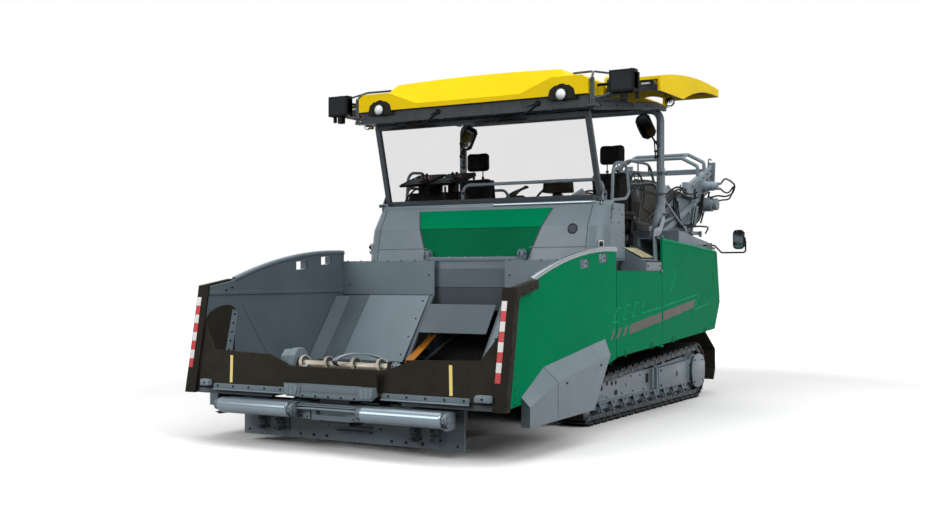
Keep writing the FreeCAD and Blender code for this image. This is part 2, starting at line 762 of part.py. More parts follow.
def front_box():
    """Rubber flap on a welded bracket, with the shelf and legs that carry it."""
    flap = prism("CentreFlap", "XZ_Plane", [
        (-d.box_half, d.box_low), (d.box_half, d.box_low), (d.box_half, d.box_top),
        (-d.box_half, d.box_top)], -40, -20)
    core = prism("BoxCore", "YZ_Plane", [
        (-20, d.box_low), (95, d.box_low), (95, d.box_top - 60), (40, d.box_top - 20),
        (-20, d.box_top - 20)], -330, 330)
    lip = prism("BoxLip", "YZ_Plane", [
        (-62, d.box_low - 35), (-40, d.box_low - 35), (-40, d.box_low + 60), (-62, d.box_low + 60)],
        -300, 300)
    parts = [flap, core, lip]
    for side in (-1, 1):
        parts.append(prism("BoxShoe", "XZ_Plane", [
            (side * 300, d.box_low - 30), (side * 430, d.box_low - 30), (side * 460, d.box_low),
            (side * 460, d.box_low + 80), (side * 320, d.box_low + 80), (side * 285, d.box_low + 50)],
            -70, -40))
        low, high = (300, 345) if side > 0 else (-345, -300)
        parts.append(box("BoxLeg", (low, high), (235, 325), (385, d.box_low - 14)))
        middle = side * (d.auger_half + 22)
        parts.append(prism("AugerBlock", "YZ_Plane", [
            (110, d.box_low), (290, d.box_low), (290, d.auger_height - 40),
            (d.auger_station + 45, d.auger_height + 55), (d.auger_station - 45, d.auger_height + 55),
            (110, d.auger_height - 40)], middle - 16, middle + 16,
            holes=[(d.auger_station, d.auger_height, d.auger_shaft + d.slack / 6)]))
    shelf = d.auger_half + 38
    parts.append(box("BoxShelf", (-shelf, shelf), (60, 330), (d.box_low - 15, d.box_low)))
    return fuse("FrontBox", parts)


def feed_auger():
    """Shaft with four collars and a ribbon of flight on each side."""
    radius = float(d.auger_shaft)
    half = float(d.auger_half)
    shaft = rod("AugerShaft", "X", -half - 36, d.auger_station, d.auger_height, radius, 2 * half + 72)
    collars = [rod("AugerCollar", "X", place - 14, d.auger_station, d.auger_height, 50, 28)
               for place in (-330, -120, 120, 330)]
    flights = [shape_node("AugerFlight", helical_blade(side)) for side in (-1, 1)]
    return fuse("FeedAuger", [shaft] + collars + flights)


def helical_blade(side):
    """A ribbon that winds half a turn outward from the shaft's middle, as a ruled solid."""
    inner = float(d.auger_shaft) - 3
    outer = float(d.auger_flight)
    rings = []
    steps = 6
    for k in range(steps + 1):
        turn = side * math.pi * (0.15 + 1.1 * k / steps)
        x = side * (135 + 180.0 * k / steps)
        ray = Vector(0, math.cos(turn), math.sin(turn))
        centre = Vector(x, float(at(d.auger_station)), float(d.auger_height))
        ring = []
        for reach, shift in ((inner, -5), (outer, -5), (outer, 5), (inner, 5), (inner, -5)):
            ring.append(centre + ray * reach + Vector(shift, 0, 0))
        rings.append(Part.makePolygon(ring))
    return Part.makeLoft(rings, True, True)


def push_plate():
    """Cross plate above the ground, forked round the push beam, with two pairs of tow hooks."""
    front, back = d.push_station, d.push_station + d.plate
    plate = prism("PushPlate", "XZ_Plane", [
        (-d.push_half, d.push_low), (d.push_half, d.push_low), (d.push_half, d.push_high),
        (-d.push_half, d.push_high)], front, back)
    fork = [(-160, d.beam_low - 50), (160, d.beam_low - 50), (160, d.push_high + 10),
            (-160, d.push_high + 10)]
    pocket(plate, "XZ_Plane", [fork], front - 5, back + 5)
    hooks = []
    for side in (-1, 1):
        for x in (690, 880):
            hooks.append(prism("TowHook", "YZ_Plane", [
                (front, 130), (front, 235), (front - 75, 235), (front - 95, 205), (front - 50, 195),
                (front - 45, 160), (front - 85, 150), (front - 70, 118)],
                side * x - 22, side * x + 22))
        hooks.append(box("HookBase", (side * 785 - 165, side * 785 + 165), (front - 14, front), (122, 250)))
    return fuse("PushPlateWelded", [plate] + hooks)


def push_beam():
    low, high = d.beam_low, d.beam_high
    beam = prism("PushBeam", "XY_Plane", [
        (-d.push_half, -10), (-260, -10), (-200, -30), (200, -30), (260, -10), (d.push_half, -10),
        (d.push_half, 70), (260, 70), (180, 130), (-180, 130), (-260, 70), (-d.push_half, 70)],
        low, high)
    clear = box("BeamHollow", (-150, 150), (-31, 0), (low + 45, high - 45))
    bore = rod("PivotBore", "Z", 0, d.beam_pivot, low - 10, d.pivot_pin + d.slack / 6, high - low + 20)
    arms = []
    for x in (d.roller_inner - 30, d.roller_outer + 6):
        for side in (-1, 1):
            low_x, high_x = (x, x + 24) if side > 0 else (-x - 24, -x)
            arm = prism("RollerArm", "YZ_Plane", [
                (-10, low), (-10, high), (d.roller_station, d.roller_height + 50),
                (d.roller_station - 45, d.roller_height + 20),
                (d.roller_station - 45, d.roller_height - 20), (d.roller_station, low + 30)],
                low_x, high_x, holes=[(d.roller_station, d.roller_height, d.roller_pin + d.slack / 6)])
            arms.append(arm)
    return cut("PushBeamBored", fuse("PushBeamWelded", [beam] + arms), [clear, bore])


def push_roller():
    length = d.roller_outer - d.roller_inner
    radius = d.roller_radius
    body = turned("PushRoller", [
        (d.roller_inner - 22, 0), (d.roller_outer + 22, 0), (d.roller_outer + 22, d.roller_pin),
        (d.roller_outer, d.roller_pin), (d.roller_outer, radius - 10), (d.roller_outer - 10, radius),
        (d.roller_inner + 10, radius), (d.roller_inner, radius - 10), (d.roller_inner, d.roller_pin),
        (d.roller_inner - 22, d.roller_pin)], 0, d.roller_station, d.roller_height)
    return body


# ---- chassis and tracks -------------------------------------------------------------------------

def main_frame():
    parts = []
    for side in (-1, 1):
        low, high = (d.keel_inner, d.keel_outer) if side > 0 else (-d.keel_outer, -d.keel_inner)
        parts.append(prism("KeelPlate", "YZ_Plane", [
            (keel_front(), d.keel_low), (d.keel_rear - 250, d.keel_low), (d.keel_rear, d.keel_low + 300),
            (d.keel_rear, 1500), (d.keel_rear - 900, d.deck_top - 20),
            (keel_front(), d.deck_top - 20)], low, high))
        low, high = (d.keel_inner, 560) if side > 0 else (-560, -d.keel_inner)
        parts.append(box("FrontRail", (low, high), (260, keel_front()), (262, 440)))
        for start, end in lug_spans():
            x = side * d.fold_x
            lug = prism("FoldLug", "XZ_Plane", [
                (side * 555, 280), (x + side * 30, 370), (x + side * 34, d.fold_z),
                (x + side * 18, d.fold_z + 30), (x - side * 18, d.fold_z + 30),
                (side * 555, 425)], start, end)
            parts.append(lug)
        parts.append(rod("FoldPin", "Y", side * d.fold_x, d.fold_front, d.fold_z, d.fold_pin,
                         d.fold_rear - d.fold_front))
    parts.append(box("FrontBeam", (-1090, 1090), (d.push_station + d.plate, 330), (240, 385)))
    for z_low, z_high in ((d.beam_low - 42, d.beam_low - 2), (d.beam_high + 2, d.beam_high + 42)):
        parts.append(box("PivotFork", (-150, 150), (20, d.push_station + d.plate + 60), (z_low, z_high)))
    parts.append(rod("PivotPin", "Z", 0, d.beam_pivot, d.beam_low - 42, d.pivot_pin,
                     d.beam_high - d.beam_low + 84))
    for station in (3150, 4950):
        parts.append(box("TrackBeam", (-d.track_outer + 235, d.track_outer - 235),
                         (station, station + 240), (230, 370)))
    parts.append(box("Belly", (-d.keel_inner, d.keel_inner), (2480, 5400), (d.keel_low, d.keel_low + 20)))
    parts.append(box("EngineTray", (-1340, -d.keel_outer), (3500, 4760), (718, 740)))
    for station in (4870, 5300):
        parts.append(box("HoodSeat", (-d.hood_half, -d.keel_outer), (station, station + 40),
                         (d.hood_low - 22, d.hood_low)))
        parts.append(box("HoodSeat", (d.keel_outer, d.hood_half), (station, station + 40),
                         (d.hood_low - 22, d.hood_low)))
    return fuse("MainFrame", parts)


def lug_spans():
    """Stations of the frame's lugs, in front of, between and behind the hopper's barrels."""
    spans = barrel_spans()
    edges = [spans[0][0] - 46] + [span[1] + 8 for span in spans]
    return [(edge, edge + 36) for edge in edges]


def track_line(inset):
    """Closed wire round idler and sprocket, at a distance inside the outer contact line."""
    front = Vector(0, float(at(d.idler_station)), float(d.idler_radius))
    rear = Vector(0, float(at(d.sprocket_station)), float(d.sprocket_radius))
    r1 = float(d.idler_radius) - inset
    r2 = float(d.sprocket_radius) - inset
    return tangent_loop(front, r1, rear, r2)


def tangent_loop(front, r1, rear, r2):
    """Outer tangents of two circles in the YZ plane, with the two arcs that join them."""
    gap = rear - front
    length = gap.Length
    lean = math.atan2(gap.z, gap.y)
    side = math.acos((r1 - r2) / length)
    marks = []
    for turn in (side, -side):
        ray = Vector(0, math.cos(lean + turn), math.sin(lean + turn))
        marks.append((front + ray * r1, rear + ray * r2))
    nose = front - (gap / length) * r1
    tail = rear + (gap / length) * r2
    (top1, top2), (low1, low2) = marks
    return Part.Wire([
        Part.LineSegment(low1, low2).toShape(), Part.Arc(low2, tail, top2).toShape(),
        Part.LineSegment(top2, top1).toShape(), Part.Arc(top1, nose, low1).toShape()])


def track():
    """One closed chain of pads: a band with a rib for every shoe."""
    outer_line = track_line(float(d.grouser))
    inner_line = track_line(float(d.track_thick))
    x = float(d.track_outer - d.track_pad)
    across = Vector(float(d.track_pad), 0, 0)
    band = Part.Face(outer_line).cut(Part.Face(inner_line)).Faces[0]
    band.translate(Vector(x, 0, 0))
    solid = band.extrude(across)
    reach = track_line(0)
    count = int(reach.Length / float(d.shoe_pitch))
    middle = Vector(0, (float(at(d.idler_station)) + float(at(d.sprocket_station))) / 2,
                    (float(d.idler_radius) + float(d.sprocket_radius)) / 2)
    ribs = []
    for point, heading in even_stops(reach, count):
        inward = Vector(0, -heading.z, heading.y)
        if inward.dot(middle - point) < 0:
            inward = inward * -1
        foot = point + inward * (float(d.grouser) + 6)
        half = heading * 11
        corners = [point - half * 0.7, point + half * 0.7, foot + half, foot - half]
        corners = [corner + Vector(x, 0, 0) for corner in corners]
        ribs.append(Part.Face(Part.makePolygon(corners + corners[:1])).extrude(across))
    return shape_node("Track", solid.fuse(ribs).removeSplitter())


def even_stops(wire, count):
    """Points and directions evenly spaced along a wire."""
    stops = []
    step = wire.Length / count
    edges = wire.OrderedEdges
    for k in range(count):
        left = k * step
        for edge in edges:
            if left <= edge.Length:
                break
            left -= edge.Length
        place = edge.getParameterByLength(left)
        stops.append((edge.valueAt(place), edge.tangentAt(place)))
    return stops


def track_frame():
    """Side frame with idler, sprocket and road rollers inside the chain."""
    gap = 2 * float(d.slack)
    r_idler = float(d.idler_radius - d.track_thick) - gap
    r_sprocket = float(d.sprocket_radius - d.track_thick) - gap
    x_out = d.track_outer - 12
    x_in = d.track_outer - d.track_pad + 12
    idler_z = d.idler_radius
    sprocket_z = d.sprocket_radius
    low = d.track_thick + 62
    beam = prism("TrackBeam", "YZ_Plane", [
        (d.idler_station - 60, idler_z - 60), (d.sprocket_station - 330, low),
        (d.sprocket_station - 200, sprocket_z - 120), (d.sprocket_station, sprocket_z - 120),
        (d.sprocket_station, sprocket_z + 120), (d.sprocket_station - 330, sprocket_z + 170),
        (d.idler_station + 400, idler_z + 120), (d.idler_station - 60, idler_z + 60)],
        d.track_outer - 235, d.track_outer - 70)
    lower = prism("LowerBeam", "YZ_Plane", [
        (d.idler_station + 230, low), (d.sprocket_station - 330, low),
        (d.sprocket_station - 360, low + 130), (d.idler_station + 200, low + 130)],
        d.track_outer - 235, d.track_outer - 70)
    cover = turned("SprocketCover", [
        (0, 0), (52, 0), (58, 90), (50, 150), (30, 185), (0, 190)],
        d.track_outer - 70, d.sprocket_station, sprocket_z)
    idler = rod("Idler", "X", x_in + 60, d.idler_station, idler_z, r_idler, x_out - x_in - 120)
    sprocket = rod("Sprocket", "X", x_in + 60, d.sprocket_station, sprocket_z, r_sprocket,
                   x_out - x_in - 120)
    rollers = []
    count = 9
    first = d.idler_station + 330
    pitch = (d.sprocket_station - d.idler_station - 690) / (count - 1)
    for k in range(count):
        rollers.append(rod("RoadRoller", "X", x_in + 30, first + pitch * k,
                           d.track_thick + d.roller_wheel + gap, d.roller_wheel, x_out - x_in - 60))
    carriers = []
    for share in (0.35, 0.7):
        station = d.idler_station + (d.sprocket_station - d.idler_station) * share
        height = d.idler_radius * 2 + (d.sprocket_radius - d.idler_radius) * 2 * share
        carriers.append(rod("CarrierRoller", "X", x_in + 60, station, height - d.track_thick - 52, 42,
                            x_out - x_in - 120))
    return fuse("TrackFrame", [beam, lower, cover, idler, sprocket] + rollers + carriers)


def mudguard():
    guard = prism("Mudguard", "YZ_Plane", [
        (5560, 1000), (5600, 1010), (5930, 765), (6285, 545), (6285, 300), (6225, 170), (6205, 176),
        (6262, 305), (6262, 532), (5920, 742)], 560, d.track_outer + 10)
    arm = box("GuardArm", (d.keel_outer, 600), (5500, 5600), (940, 1010))
    return both_sides("Mudguards", fuse("MudguardWelded", [guard, arm]))


def engine_block():
    return box("Engine", (-1340, -d.boom_outer - 25), (3480, 4780), (740, 1290))


# ---- body and platform --------------------------------------------------------------------------

def door_pivot():
    """Axis of a service door: inside its thickness, near its front edge."""
    return d.wall_outer - d.panel_sheet / 2, d.door_front + 12


def side_panel():
    inner = d.wall_outer - d.panel_sheet
    low_seam = d.panel_low_front + 60
    seam = d.door_front - d.door_gap
    x, y = door_pivot()
    panel = prism("SidePanel", "YZ_Plane", [
        (d.panel_front, d.panel_low_front), (seam, low_seam), (seam, d.step_low),
        (d.panel_front, d.step_low)], inner, d.wall_outer)
    flange = box("PanelFlange", (d.bulkhead_half, inner), (d.bulkhead_front, d.bulkhead_front + 12),
                 (d.panel_low_front + 10, d.step_low))
    foot = box("PanelFoot", (d.keel_outer, inner), (2900, 2960),
               (d.panel_low_front + 120, d.panel_low_front + 200))
    bracket = prism("PivotPlate", "XY_Plane", [
        (inner - 40, seam - 50), (d.wall_outer, seam - 50), (d.wall_outer, y + 22), (inner - 40, y + 22)],
        low_seam - 26, low_seam - 14, holes=[(x, y, 8 + d.slack / 6)])
    web = box("PivotWeb", (inner + 5, d.wall_outer - 5), (seam - 50, seam), (low_seam - 14, low_seam + 20))
    return fuse("SidePanelWelded", [panel, flange, foot, bracket, web])


def service_door():
    inner = d.wall_outer - d.panel_sheet
    top = d.hood_front_top
    door = prism("ServiceDoor", "YZ_Plane", [
        (d.door_front, d.panel_low_front + 60), (d.panel_rear_low, d.panel_low_rear),
        (d.panel_rear, d.panel_rear_mid), (d.panel_rear_top, d.hood_rear_top),
        (d.door_front, top)], inner, d.wall_outer)
    dress(door, "Chamfer", d.panel_sheet * 0.8, lambda a, b: (
        min(a.x, b.x) > float(d.wall_outer) - 1 and min(a.z, b.z) > float(d.hood_rear_top) - 5))
    x, y = door_pivot()
    pins = [rod("DoorPin", "Z", x, y, d.panel_low_front + 34, 8, 60),
            rod("DoorPin", "Z", x, y, d.hood_front_top - 40, 8, 56)]
    ribs = [box("DoorRib", (inner - 30, inner), (station, station + 30),
                (d.panel_rear_mid - 200, d.hood_rear_top - 120))
            for station in (d.door_front + 60, d.panel_rear_low - 120)]
    return fuse("ServiceDoorWelded", [door] + ribs + pins)


def front_bulkhead():
    """Wall behind the hopper with the tunnel's mouth, its sloping gate and the lifting lugs."""
    low = d.panel_low_front
    top = d.bulkhead_top
    front = d.bulkhead_front
    back = front + d.bulkhead_plate
    half = d.bulkhead_half
    mouth = d.mouth_top
    plate = prism("Bulkhead", "XZ_Plane", [
        (-half, low), (-d.keel_outer, low), (-d.keel_outer, mouth), (d.keel_outer, mouth),
        (d.keel_outer, low), (half, low), (half, top), (-half, top)], front, back)
    rise = (d.gate_top - d.gate_low) / (d.gate_rear - d.gate_front)
    gate = shape_node("TunnelGate", slab([
        (-d.gate_half, d.gate_front, d.gate_low), (d.gate_half, d.gate_front, d.gate_low),
        (d.gate_half, d.gate_rear, d.gate_top), (-d.gate_half, d.gate_rear, d.gate_top)], 12))
    parts = [plate, gate]
    near, far = d.gate_rear - 80, d.gate_rear - 35
    for x in (-105, 75):
        parts.append(prism("GateArm", "YZ_Plane", [
            (near, d.gate_top - 80 * rise + 4), (front + 1, d.arm_low), (front + 1, d.arm_low + 60),
            (far, d.gate_top - 35 * rise + 4)], x, x + 30))
    parts.append(box("GatePost", (-115, 115), (front, back), (d.arm_low, mouth + 5)))
    parts.append(box("RaisedFlange", (-d.shell_half, d.shell_half), (back, d.shell_front + 60),
                     (top - 12, top)))
    for side in (-1, 1):
        parts.append(prism("LiftingLug", "YZ_Plane", [
            (front, top - 10), (front + 70, top - 10), (front + 70, top + 90, 46), (front, top + 90)],
            side * 540 - 15, side * 540 + 15, holes=[(front + 35, top + 60, 18)]))
    return fuse("FrontBulkhead", parts)


def shell_ring(z, front, half, rear, radius):
    """Plan outline of the shell: open at the rear, with rounded front corners."""
    y_front = float(at(front))
    y_rear = float(at(rear))
    half = float(half)
    radius = float(radius)
    z = float(z)
    bend = radius * (1 - math.sqrt(0.5))
    a, b = Vector(-half, y_rear, z), Vector(-half, y_front + radius, z)
    c, e = Vector(-half + radius, y_front, z), Vector(half - radius, y_front, z)
    f, g = Vector(half, y_front + radius, z), Vector(half, y_rear, z)
    return Part.Wire([
        Part.LineSegment(a, b).toShape(),
        Part.Arc(b, Vector(-half + bend, y_front + bend, z), c).toShape(),
        Part.LineSegment(c, e).toShape(),
        Part.Arc(e, Vector(half - bend, y_front + bend, z), f).toShape(),
        Part.LineSegment(f, g).toShape(), Part.LineSegment(g, a).toShape()])


def front_shell():
    """Curved cowl under the windscreen, leaning back, with a recess for the green panel."""
    low = d.shell_low
    top = d.shell_top
    skin = float(d.panel_sheet)
    lean = d.shell_lean
    middle = low + (top - low) * 0.62
    rows = ((low, 0, 0), (middle, lean * 0.35, 0), (top, lean, 15))
    outer_rings = []
    inner_rings = []
    for (z, back, narrow), shift in zip(rows, (-1, 0, 1)):
        front = d.shell_front + back
        half = d.shell_half - narrow
        outer_rings.append(shell_ring(z, front, half, d.shell_rear, d.shell_corner))
        inner_rings.append(shell_ring(z + shift, front + skin, half - skin, d.shell_rear + 10,
                                      d.shell_corner - skin))
    outer = Part.makeLoft(outer_rings, True, True)
    inner = Part.makeLoft(inner_rings, True, True)
    cowl = shape_node("Cowl", outer.cut(inner))
    window = prism("PanelWindow", "XZ_Plane", panel_outline(), d.shell_front - 50, d.shell_front + 330)
    lid = Part.Face(shell_ring(top, d.shell_front + lean, d.shell_half - 15, d.screen_foot + 75,
                               d.shell_corner))
    sill = shape_node("CowlSill", lid.extrude(Vector(0, 0, float(d.screen_low - 7 - top))))
    return fuse("FrontShell", [cut("CowlOpen", cowl, [window]), sill]), outer, inner


def panel_outline():
    """The green panel's outline, wider at the top."""
    head = d.shell_top - 20
    return [(-560, 1590), (560, 1590), (770, head), (-770, head)]


def front_panel(outer, inner):
    """Green trapezoid panel that fills the cowl's opening."""
    window = prism("PanelPlug", "XZ_Plane", panel_outline(), d.shell_front - 50, d.shell_front + 330)
    item = doc.addObject("Part::Common", "FrontPanel")
    item.Base = shape_node("PanelSkin", outer.cut(inner))
    item.Tool = window
    return item


def deck():
    """Platform floor, notched for the conveyor, with kick plates, steps and seat posts."""
    rear = d.hood_front - 30
    half = d.platform_half
    notch = d.cover_front - 40
    parts = [prism("DeckPlate", "XY_Plane", [
        (-half, d.shell_front + 40), (half, d.shell_front + 40), (half, rear), (d.deck_cut, rear),
        (d.deck_cut, notch), (-d.deck_cut, notch), (-d.deck_cut, rear), (-half, rear)],
        d.deck_top - 20, d.deck_top)]
    for side in (-1, 1):
        low, high = (half - 12, half) if side > 0 else (-half, -half + 12)
        parts.append(box("DeckKick", (low, high), (3450, rear), (d.deck_top, 1830)))
        low, high = (d.deck_cut, half) if side > 0 else (-half, -d.deck_cut)
        parts.append(box("RearKick", (low, high), (rear - 12, rear), (d.deck_top, 1900)))
        x = side * d.seat_x
        parts.append(rod("SeatPost", "Z", x, d.seat_station, d.deck_top, 90, d.seat_post))
        parts.append(box("SeatFoot", (x - 200, x + 200), (d.seat_station - 220, d.seat_station + 220),
                         (d.deck_top, d.deck_top + 24)))
        parts.append(prism("StepBox", "XZ_Plane", [
            (side * half, d.deck_top - 20), (side * (half + 60), d.deck_top - 20),
            (side * (half + 60), d.step_low), (side * d.wall_outer, d.step_low),
            (side * d.wall_outer, d.step_low + 90), (side * (d.wall_outer - 60), d.step_low + 120),
            (side * half, d.step_low + 240)], 2970, 3400))
    return fuse("Deck", parts)


def hood():
    """Grey rear hoods on both sides of the conveyor, their shoulders and the rear panels."""
    inner = d.tunnel_half
    half = d.hood_half
    skin = d.sheet_metal
    low = d.hood_low
    front_top = d.hood_front_top + d.hood_crown
    rear_top = d.hood_rear_top + d.hood_crown - 10
    shell = prism("HoodSkin", "YZ_Plane", [
        (d.hood_front, low), (d.hood_rear, low), (d.hood_rear, rear_top), (d.hood_front, front_top)],
        inner, half)
    hollow = prism("HoodHollow", "YZ_Plane", [
        (d.hood_front + skin, low - 10), (d.hood_rear - skin, low - 10),
        (d.hood_rear - skin, rear_top - skin), (d.hood_front + skin, front_top - skin)],
        inner + skin, half - skin)
    edge = d.wall_outer - d.panel_sheet - 34
    start = d.door_front + 30
    shoulder = prism("HoodShoulder", "YZ_Plane", [
        (start, d.hood_front_top - 12), (d.panel_rear_top, d.hood_rear_top - 12),
        (d.panel_rear_top, d.hood_rear_top), (start, d.hood_front_top)], d.platform_half, edge)
    x, y = door_pivot()
    top = d.hood_front_top + 6
    bracket = prism("PivotPlate", "XY_Plane", [
        (edge - 60, start - 35), (d.wall_outer, start - 35), (d.wall_outer, start + 15),
        (edge - 60, start + 15)], top, top + 10, holes=[(x, y, 8 + d.slack / 6)])
    riser = box("PivotRiser", (edge - 60, edge - 20), (start + 2, start + 15), (d.hood_front_top - 10, top))
    wide = d.keel_outer
    tail = prism("RearPanel", "YZ_Plane", [
        (d.panel_rear_low, d.panel_low_rear), (d.panel_rear_low + 20, d.panel_low_rear),
        (d.panel_rear + 20, d.panel_rear_mid), (d.panel_rear + 10, low - 23), (d.panel_rear - 10, low - 23),
        (d.panel_rear, d.panel_rear_mid)], wide, edge)
    ear = box("TailEar", (half - 60, edge), (d.panel_rear - 10, d.panel_rear + 10), (low - 40, low + 60))
    parts = [cut("HoodShell", shell, [hollow]), shoulder, bracket, riser, tail, ear]
    return both_sides("Hood", fuse("HoodWelded", parts))


def windscreen():
    """Frame and glass, drawn upright and leaned forward about the foot."""
    half = d.screen_half
    bar = d.screen_bar
    place = Placement(Vector(0, float(at(d.screen_foot)), float(d.screen_low)),
                      Rotation(Vector(1, 0, 0), float(d.screen_tilt)))
    rim = [(-half, 0), (half, 0), (half - 20, d.screen_high), (-half + 20, d.screen_high)]
    pane = [(-half + bar, bar), (half - bar, bar), (half - bar - 20, d.screen_high - bar),
            (-half + bar + 20, d.screen_high - bar)]
    frame = prism("ScreenFrame", "XZ_Plane", [rim, pane], -22, 22, local=True)
    glass = prism("ScreenGlass", "XZ_Plane", pane, -d.glass / 2, d.glass / 2, local=True)
    for item in (frame, glass):
        item.Placement = place
        bind_base(item, 0, at(d.screen_foot), d.screen_low)
        item.setExpression("Placement.Rotation.Angle", "Dims.screen_tilt * 1 deg")
    return frame, glass


def console():
    """Post with two sloping panels beside the platform's centre."""
    post = prism("ConsolePost", "YZ_Plane", [
        (2740, d.deck_top), (3150, d.deck_top), (3080, 1980), (3120, 2330), (2930, 2350), (2760, 1980)],
        -1150, -520)
    pieces = [post]
    for low, high in ((-1195, -850), (-820, -475)):
        middle = (low + high) / 2
        pieces.append(prism("ConsoleScreen", "YZ_Plane", [
            (2770, 2425), (2805, 2408), (3200, 2530), (3192, 2568)], low, high))
        pieces.append(box("ConsoleStalk", (middle - 40, middle + 40), (2960, 3060), (2320, 2480)))
    return fuse("Console", pieces)


def seat():
    """Frame, cushion, back and headrest of one seat, in one piece that turns on its post."""
    x = d.seat_x
    y = d.seat_station
    low = d.deck_top + d.seat_post + d.slack
    pan = prism("SeatPan", "YZ_Plane", [
        (y - 240, low), (y + 230, low), (y + 230, low + 60), (y - 240, low + 60)], x - 230, x + 230)
    cushion = prism("SeatCushion", "YZ_Plane", [
        (y - 260, low + 60), (y + 200, low + 60), (y + 190, low + 190), (y - 150, low + 205),
        (y - 270, low + 170)], x - 240, x + 240)
    dress(cushion, "Fillet", 35, lambda a, b: (
        abs(a.z - b.z) < 20 and abs(a.x - b.x) > 100 and a.z > float(low) + 100))
    back = prism("SeatBack", "YZ_Plane", [
        (y + 130, low + 150), (y + 250, low + 130), (y + 330, low + 820), (y + 230, low + 840)],
        x - 230, x + 230)
    dress(back, "Fillet", 60, lambda a, b: (
        abs(a.x - b.x) < 1 and abs(a.y - b.y) > 60 and min(a.z, b.z) > float(low) + 700))
    head = prism("SeatHead", "XZ_Plane", [
        (x - 140, low + 900), (x + 140, low + 900), (x + 120, low + 1110, 700), (x - 120, low + 1110)],
        y + 225, y + 325)
    pins = [rod("HeadPin", "Z", x + shift, y + 280, low + 780, 7, 140) for shift in (-60, 60)]
    arms = [prism("SeatArm", "YZ_Plane", [
        (y - 150, low + 330), (y + 200, low + 290), (y + 245, low + 290), (y + 245, low + 380),
        (y - 150, low + 380)],
        x + s * 265 - 25, x + s * 265 + 25) for s in (-1, 1)]
    hinge = rod("ArmHinge", "X", x - 265, y + 225, low + 320, 18, 530)
    return fuse("Seat", [pan, cushion, back, head, hinge] + pins + arms)


def handrails():
    """Tube rails round the platform: beside the console, behind the glass, behind the seats."""
    low = float(d.deck_top)
    rear = float(d.hood_front) - 90
    tube = 17
    routes = [
        [(-1230, 2990, low), (-1230, 2990, 2420), (-1230, 3360, 2420), (-1230, 3360, low)],
        [(-400, 2790, low), (-400, 2790, 2400), (1190, 2790, 2400), (1190, 2790, low)]]
    for side in (-1, 1):
        inner, outer = side * 690, side * 1170
        routes.append([(inner, rear, low), (inner, rear, low + 1000), (outer, rear, low + 1000),
                       (outer, rear, low)])
    return group("Handrails", [shape_node("Handrail", pipe(route, tube, 90)) for route in routes])


def fuse_touching(pieces):
    result = pieces[0]
    for piece in pieces[1:]:
        result = result.fuse(piece)
    return result.removeSplitter()


# ---- roof ---------------------------------------------------------------------------------------

def roof_frame():
    """Deep front beam, ribs inside the roof and the housings of the two work lamps."""
    low, high = d.roof_skin + 85, d.roof_shoulder - 40
    rest = d.portal_station - d.portal_tube
    nose = d.roof_front + 122
    parts = [box("FrontBeam", (-d.roof_half, d.roof_half), (d.roof_front + 40, d.roof_front + 240),
                 (d.roof_beam_low, d.roof_skin)),
             box("RearBeam", (-d.roof_half + 20, d.roof_half - 20), (rest - 150, rest - 30), (low, high))]
    for x in (-1200, -420, 340, 1120):
        parts.append(box("RoofRib", (x, x + 80), (nose, rest), (low, high)))
        parts.append(box("BeamPost", (x, x + 80), (nose, nose + 30), (d.roof_skin - 20, low + 10)))
    for side in (-1, 1):
        parts.append(turned("WorkLamp", [
            (0, 0), (0, 60), (14, 66), (40, 58), (85, 30), (85, 0)],
            side * d.lamp_x, d.roof_front + 15, d.roof_skin + 20, along="Y"))
    return fuse("RoofFrame", parts)


def roof_shell():
    """Yellow shell: raised middle with a sloping face, between two humps over the work lamps."""
    shoulder = d.roof_shoulder
    crest = d.roof_top - d.crown_rise
    bow = (d.crown_half * d.crown_half + d.crown_rise * d.crown_rise) / (d.crown_rise * 2)
    base = prism("RoofSkin", "XZ_Plane", [
        (-d.roof_half, d.roof_skin), (d.roof_half, d.roof_skin), (d.roof_half, shoulder - 40),
        (d.roof_half - 60, shoulder), (d.crown_half + 90, shoulder),
        (d.crown_half, crest, bow), (-d.crown_half, crest), (-d.crown_half - 90, shoulder),
        (-d.roof_half + 60, shoulder), (-d.roof_half, shoulder - 40)],
        d.roof_front, d.roof_rear)
    ahead = d.roof_front - 20
    wedge = prism("CrownFace", "YZ_Plane", [
        (ahead, d.roof_fold), (d.roof_front + 25, d.roof_fold), (d.roof_front + 215, d.roof_top + 2),
        (ahead, d.roof_top + 2)], -d.roof_half - 20, d.roof_half + 20)
    gap = prism("HumpGap", "XZ_Plane", [
        (-d.fold_half, d.roof_fold - 5), (d.fold_half, d.roof_fold - 5), (d.hump_inner, shoulder),
        (d.roof_half + 30, shoulder), (d.roof_half + 30, d.roof_top + 10),
        (-d.roof_half - 30, d.roof_top + 10), (-d.roof_half - 30, shoulder), (-d.hump_inner, shoulder)],
        ahead - 5, d.roof_front + 260)
    nose = doc.addObject("Part::Common", "NoseCut")
    nose.Base = wedge
    nose.Tool = gap
    rise = prism("RisingEdge", "YZ_Plane", [
        (d.roof_front + 240, d.roof_skin - 20), (d.roof_rear + 20, d.roof_skin - 20),
        (d.roof_rear + 20, d.roof_rear_low), (d.roof_front + 240, d.roof_skin + 15)],
        -d.roof_half - 10, d.roof_half + 10)
    arches = [rod("LampArch", "Y", side * d.lamp_x, ahead, d.roof_skin + 20, 90, 240) for side in (-1, 1)]
    hollow = box("RoofHollow", (-d.roof_half + 12, d.roof_half - 12),
                 (d.roof_front + 120, d.roof_rear - 30), (d.roof_skin - 10, shoulder - 30))
    return cut("RoofShell", base, [nose, hollow, rise] + arches)


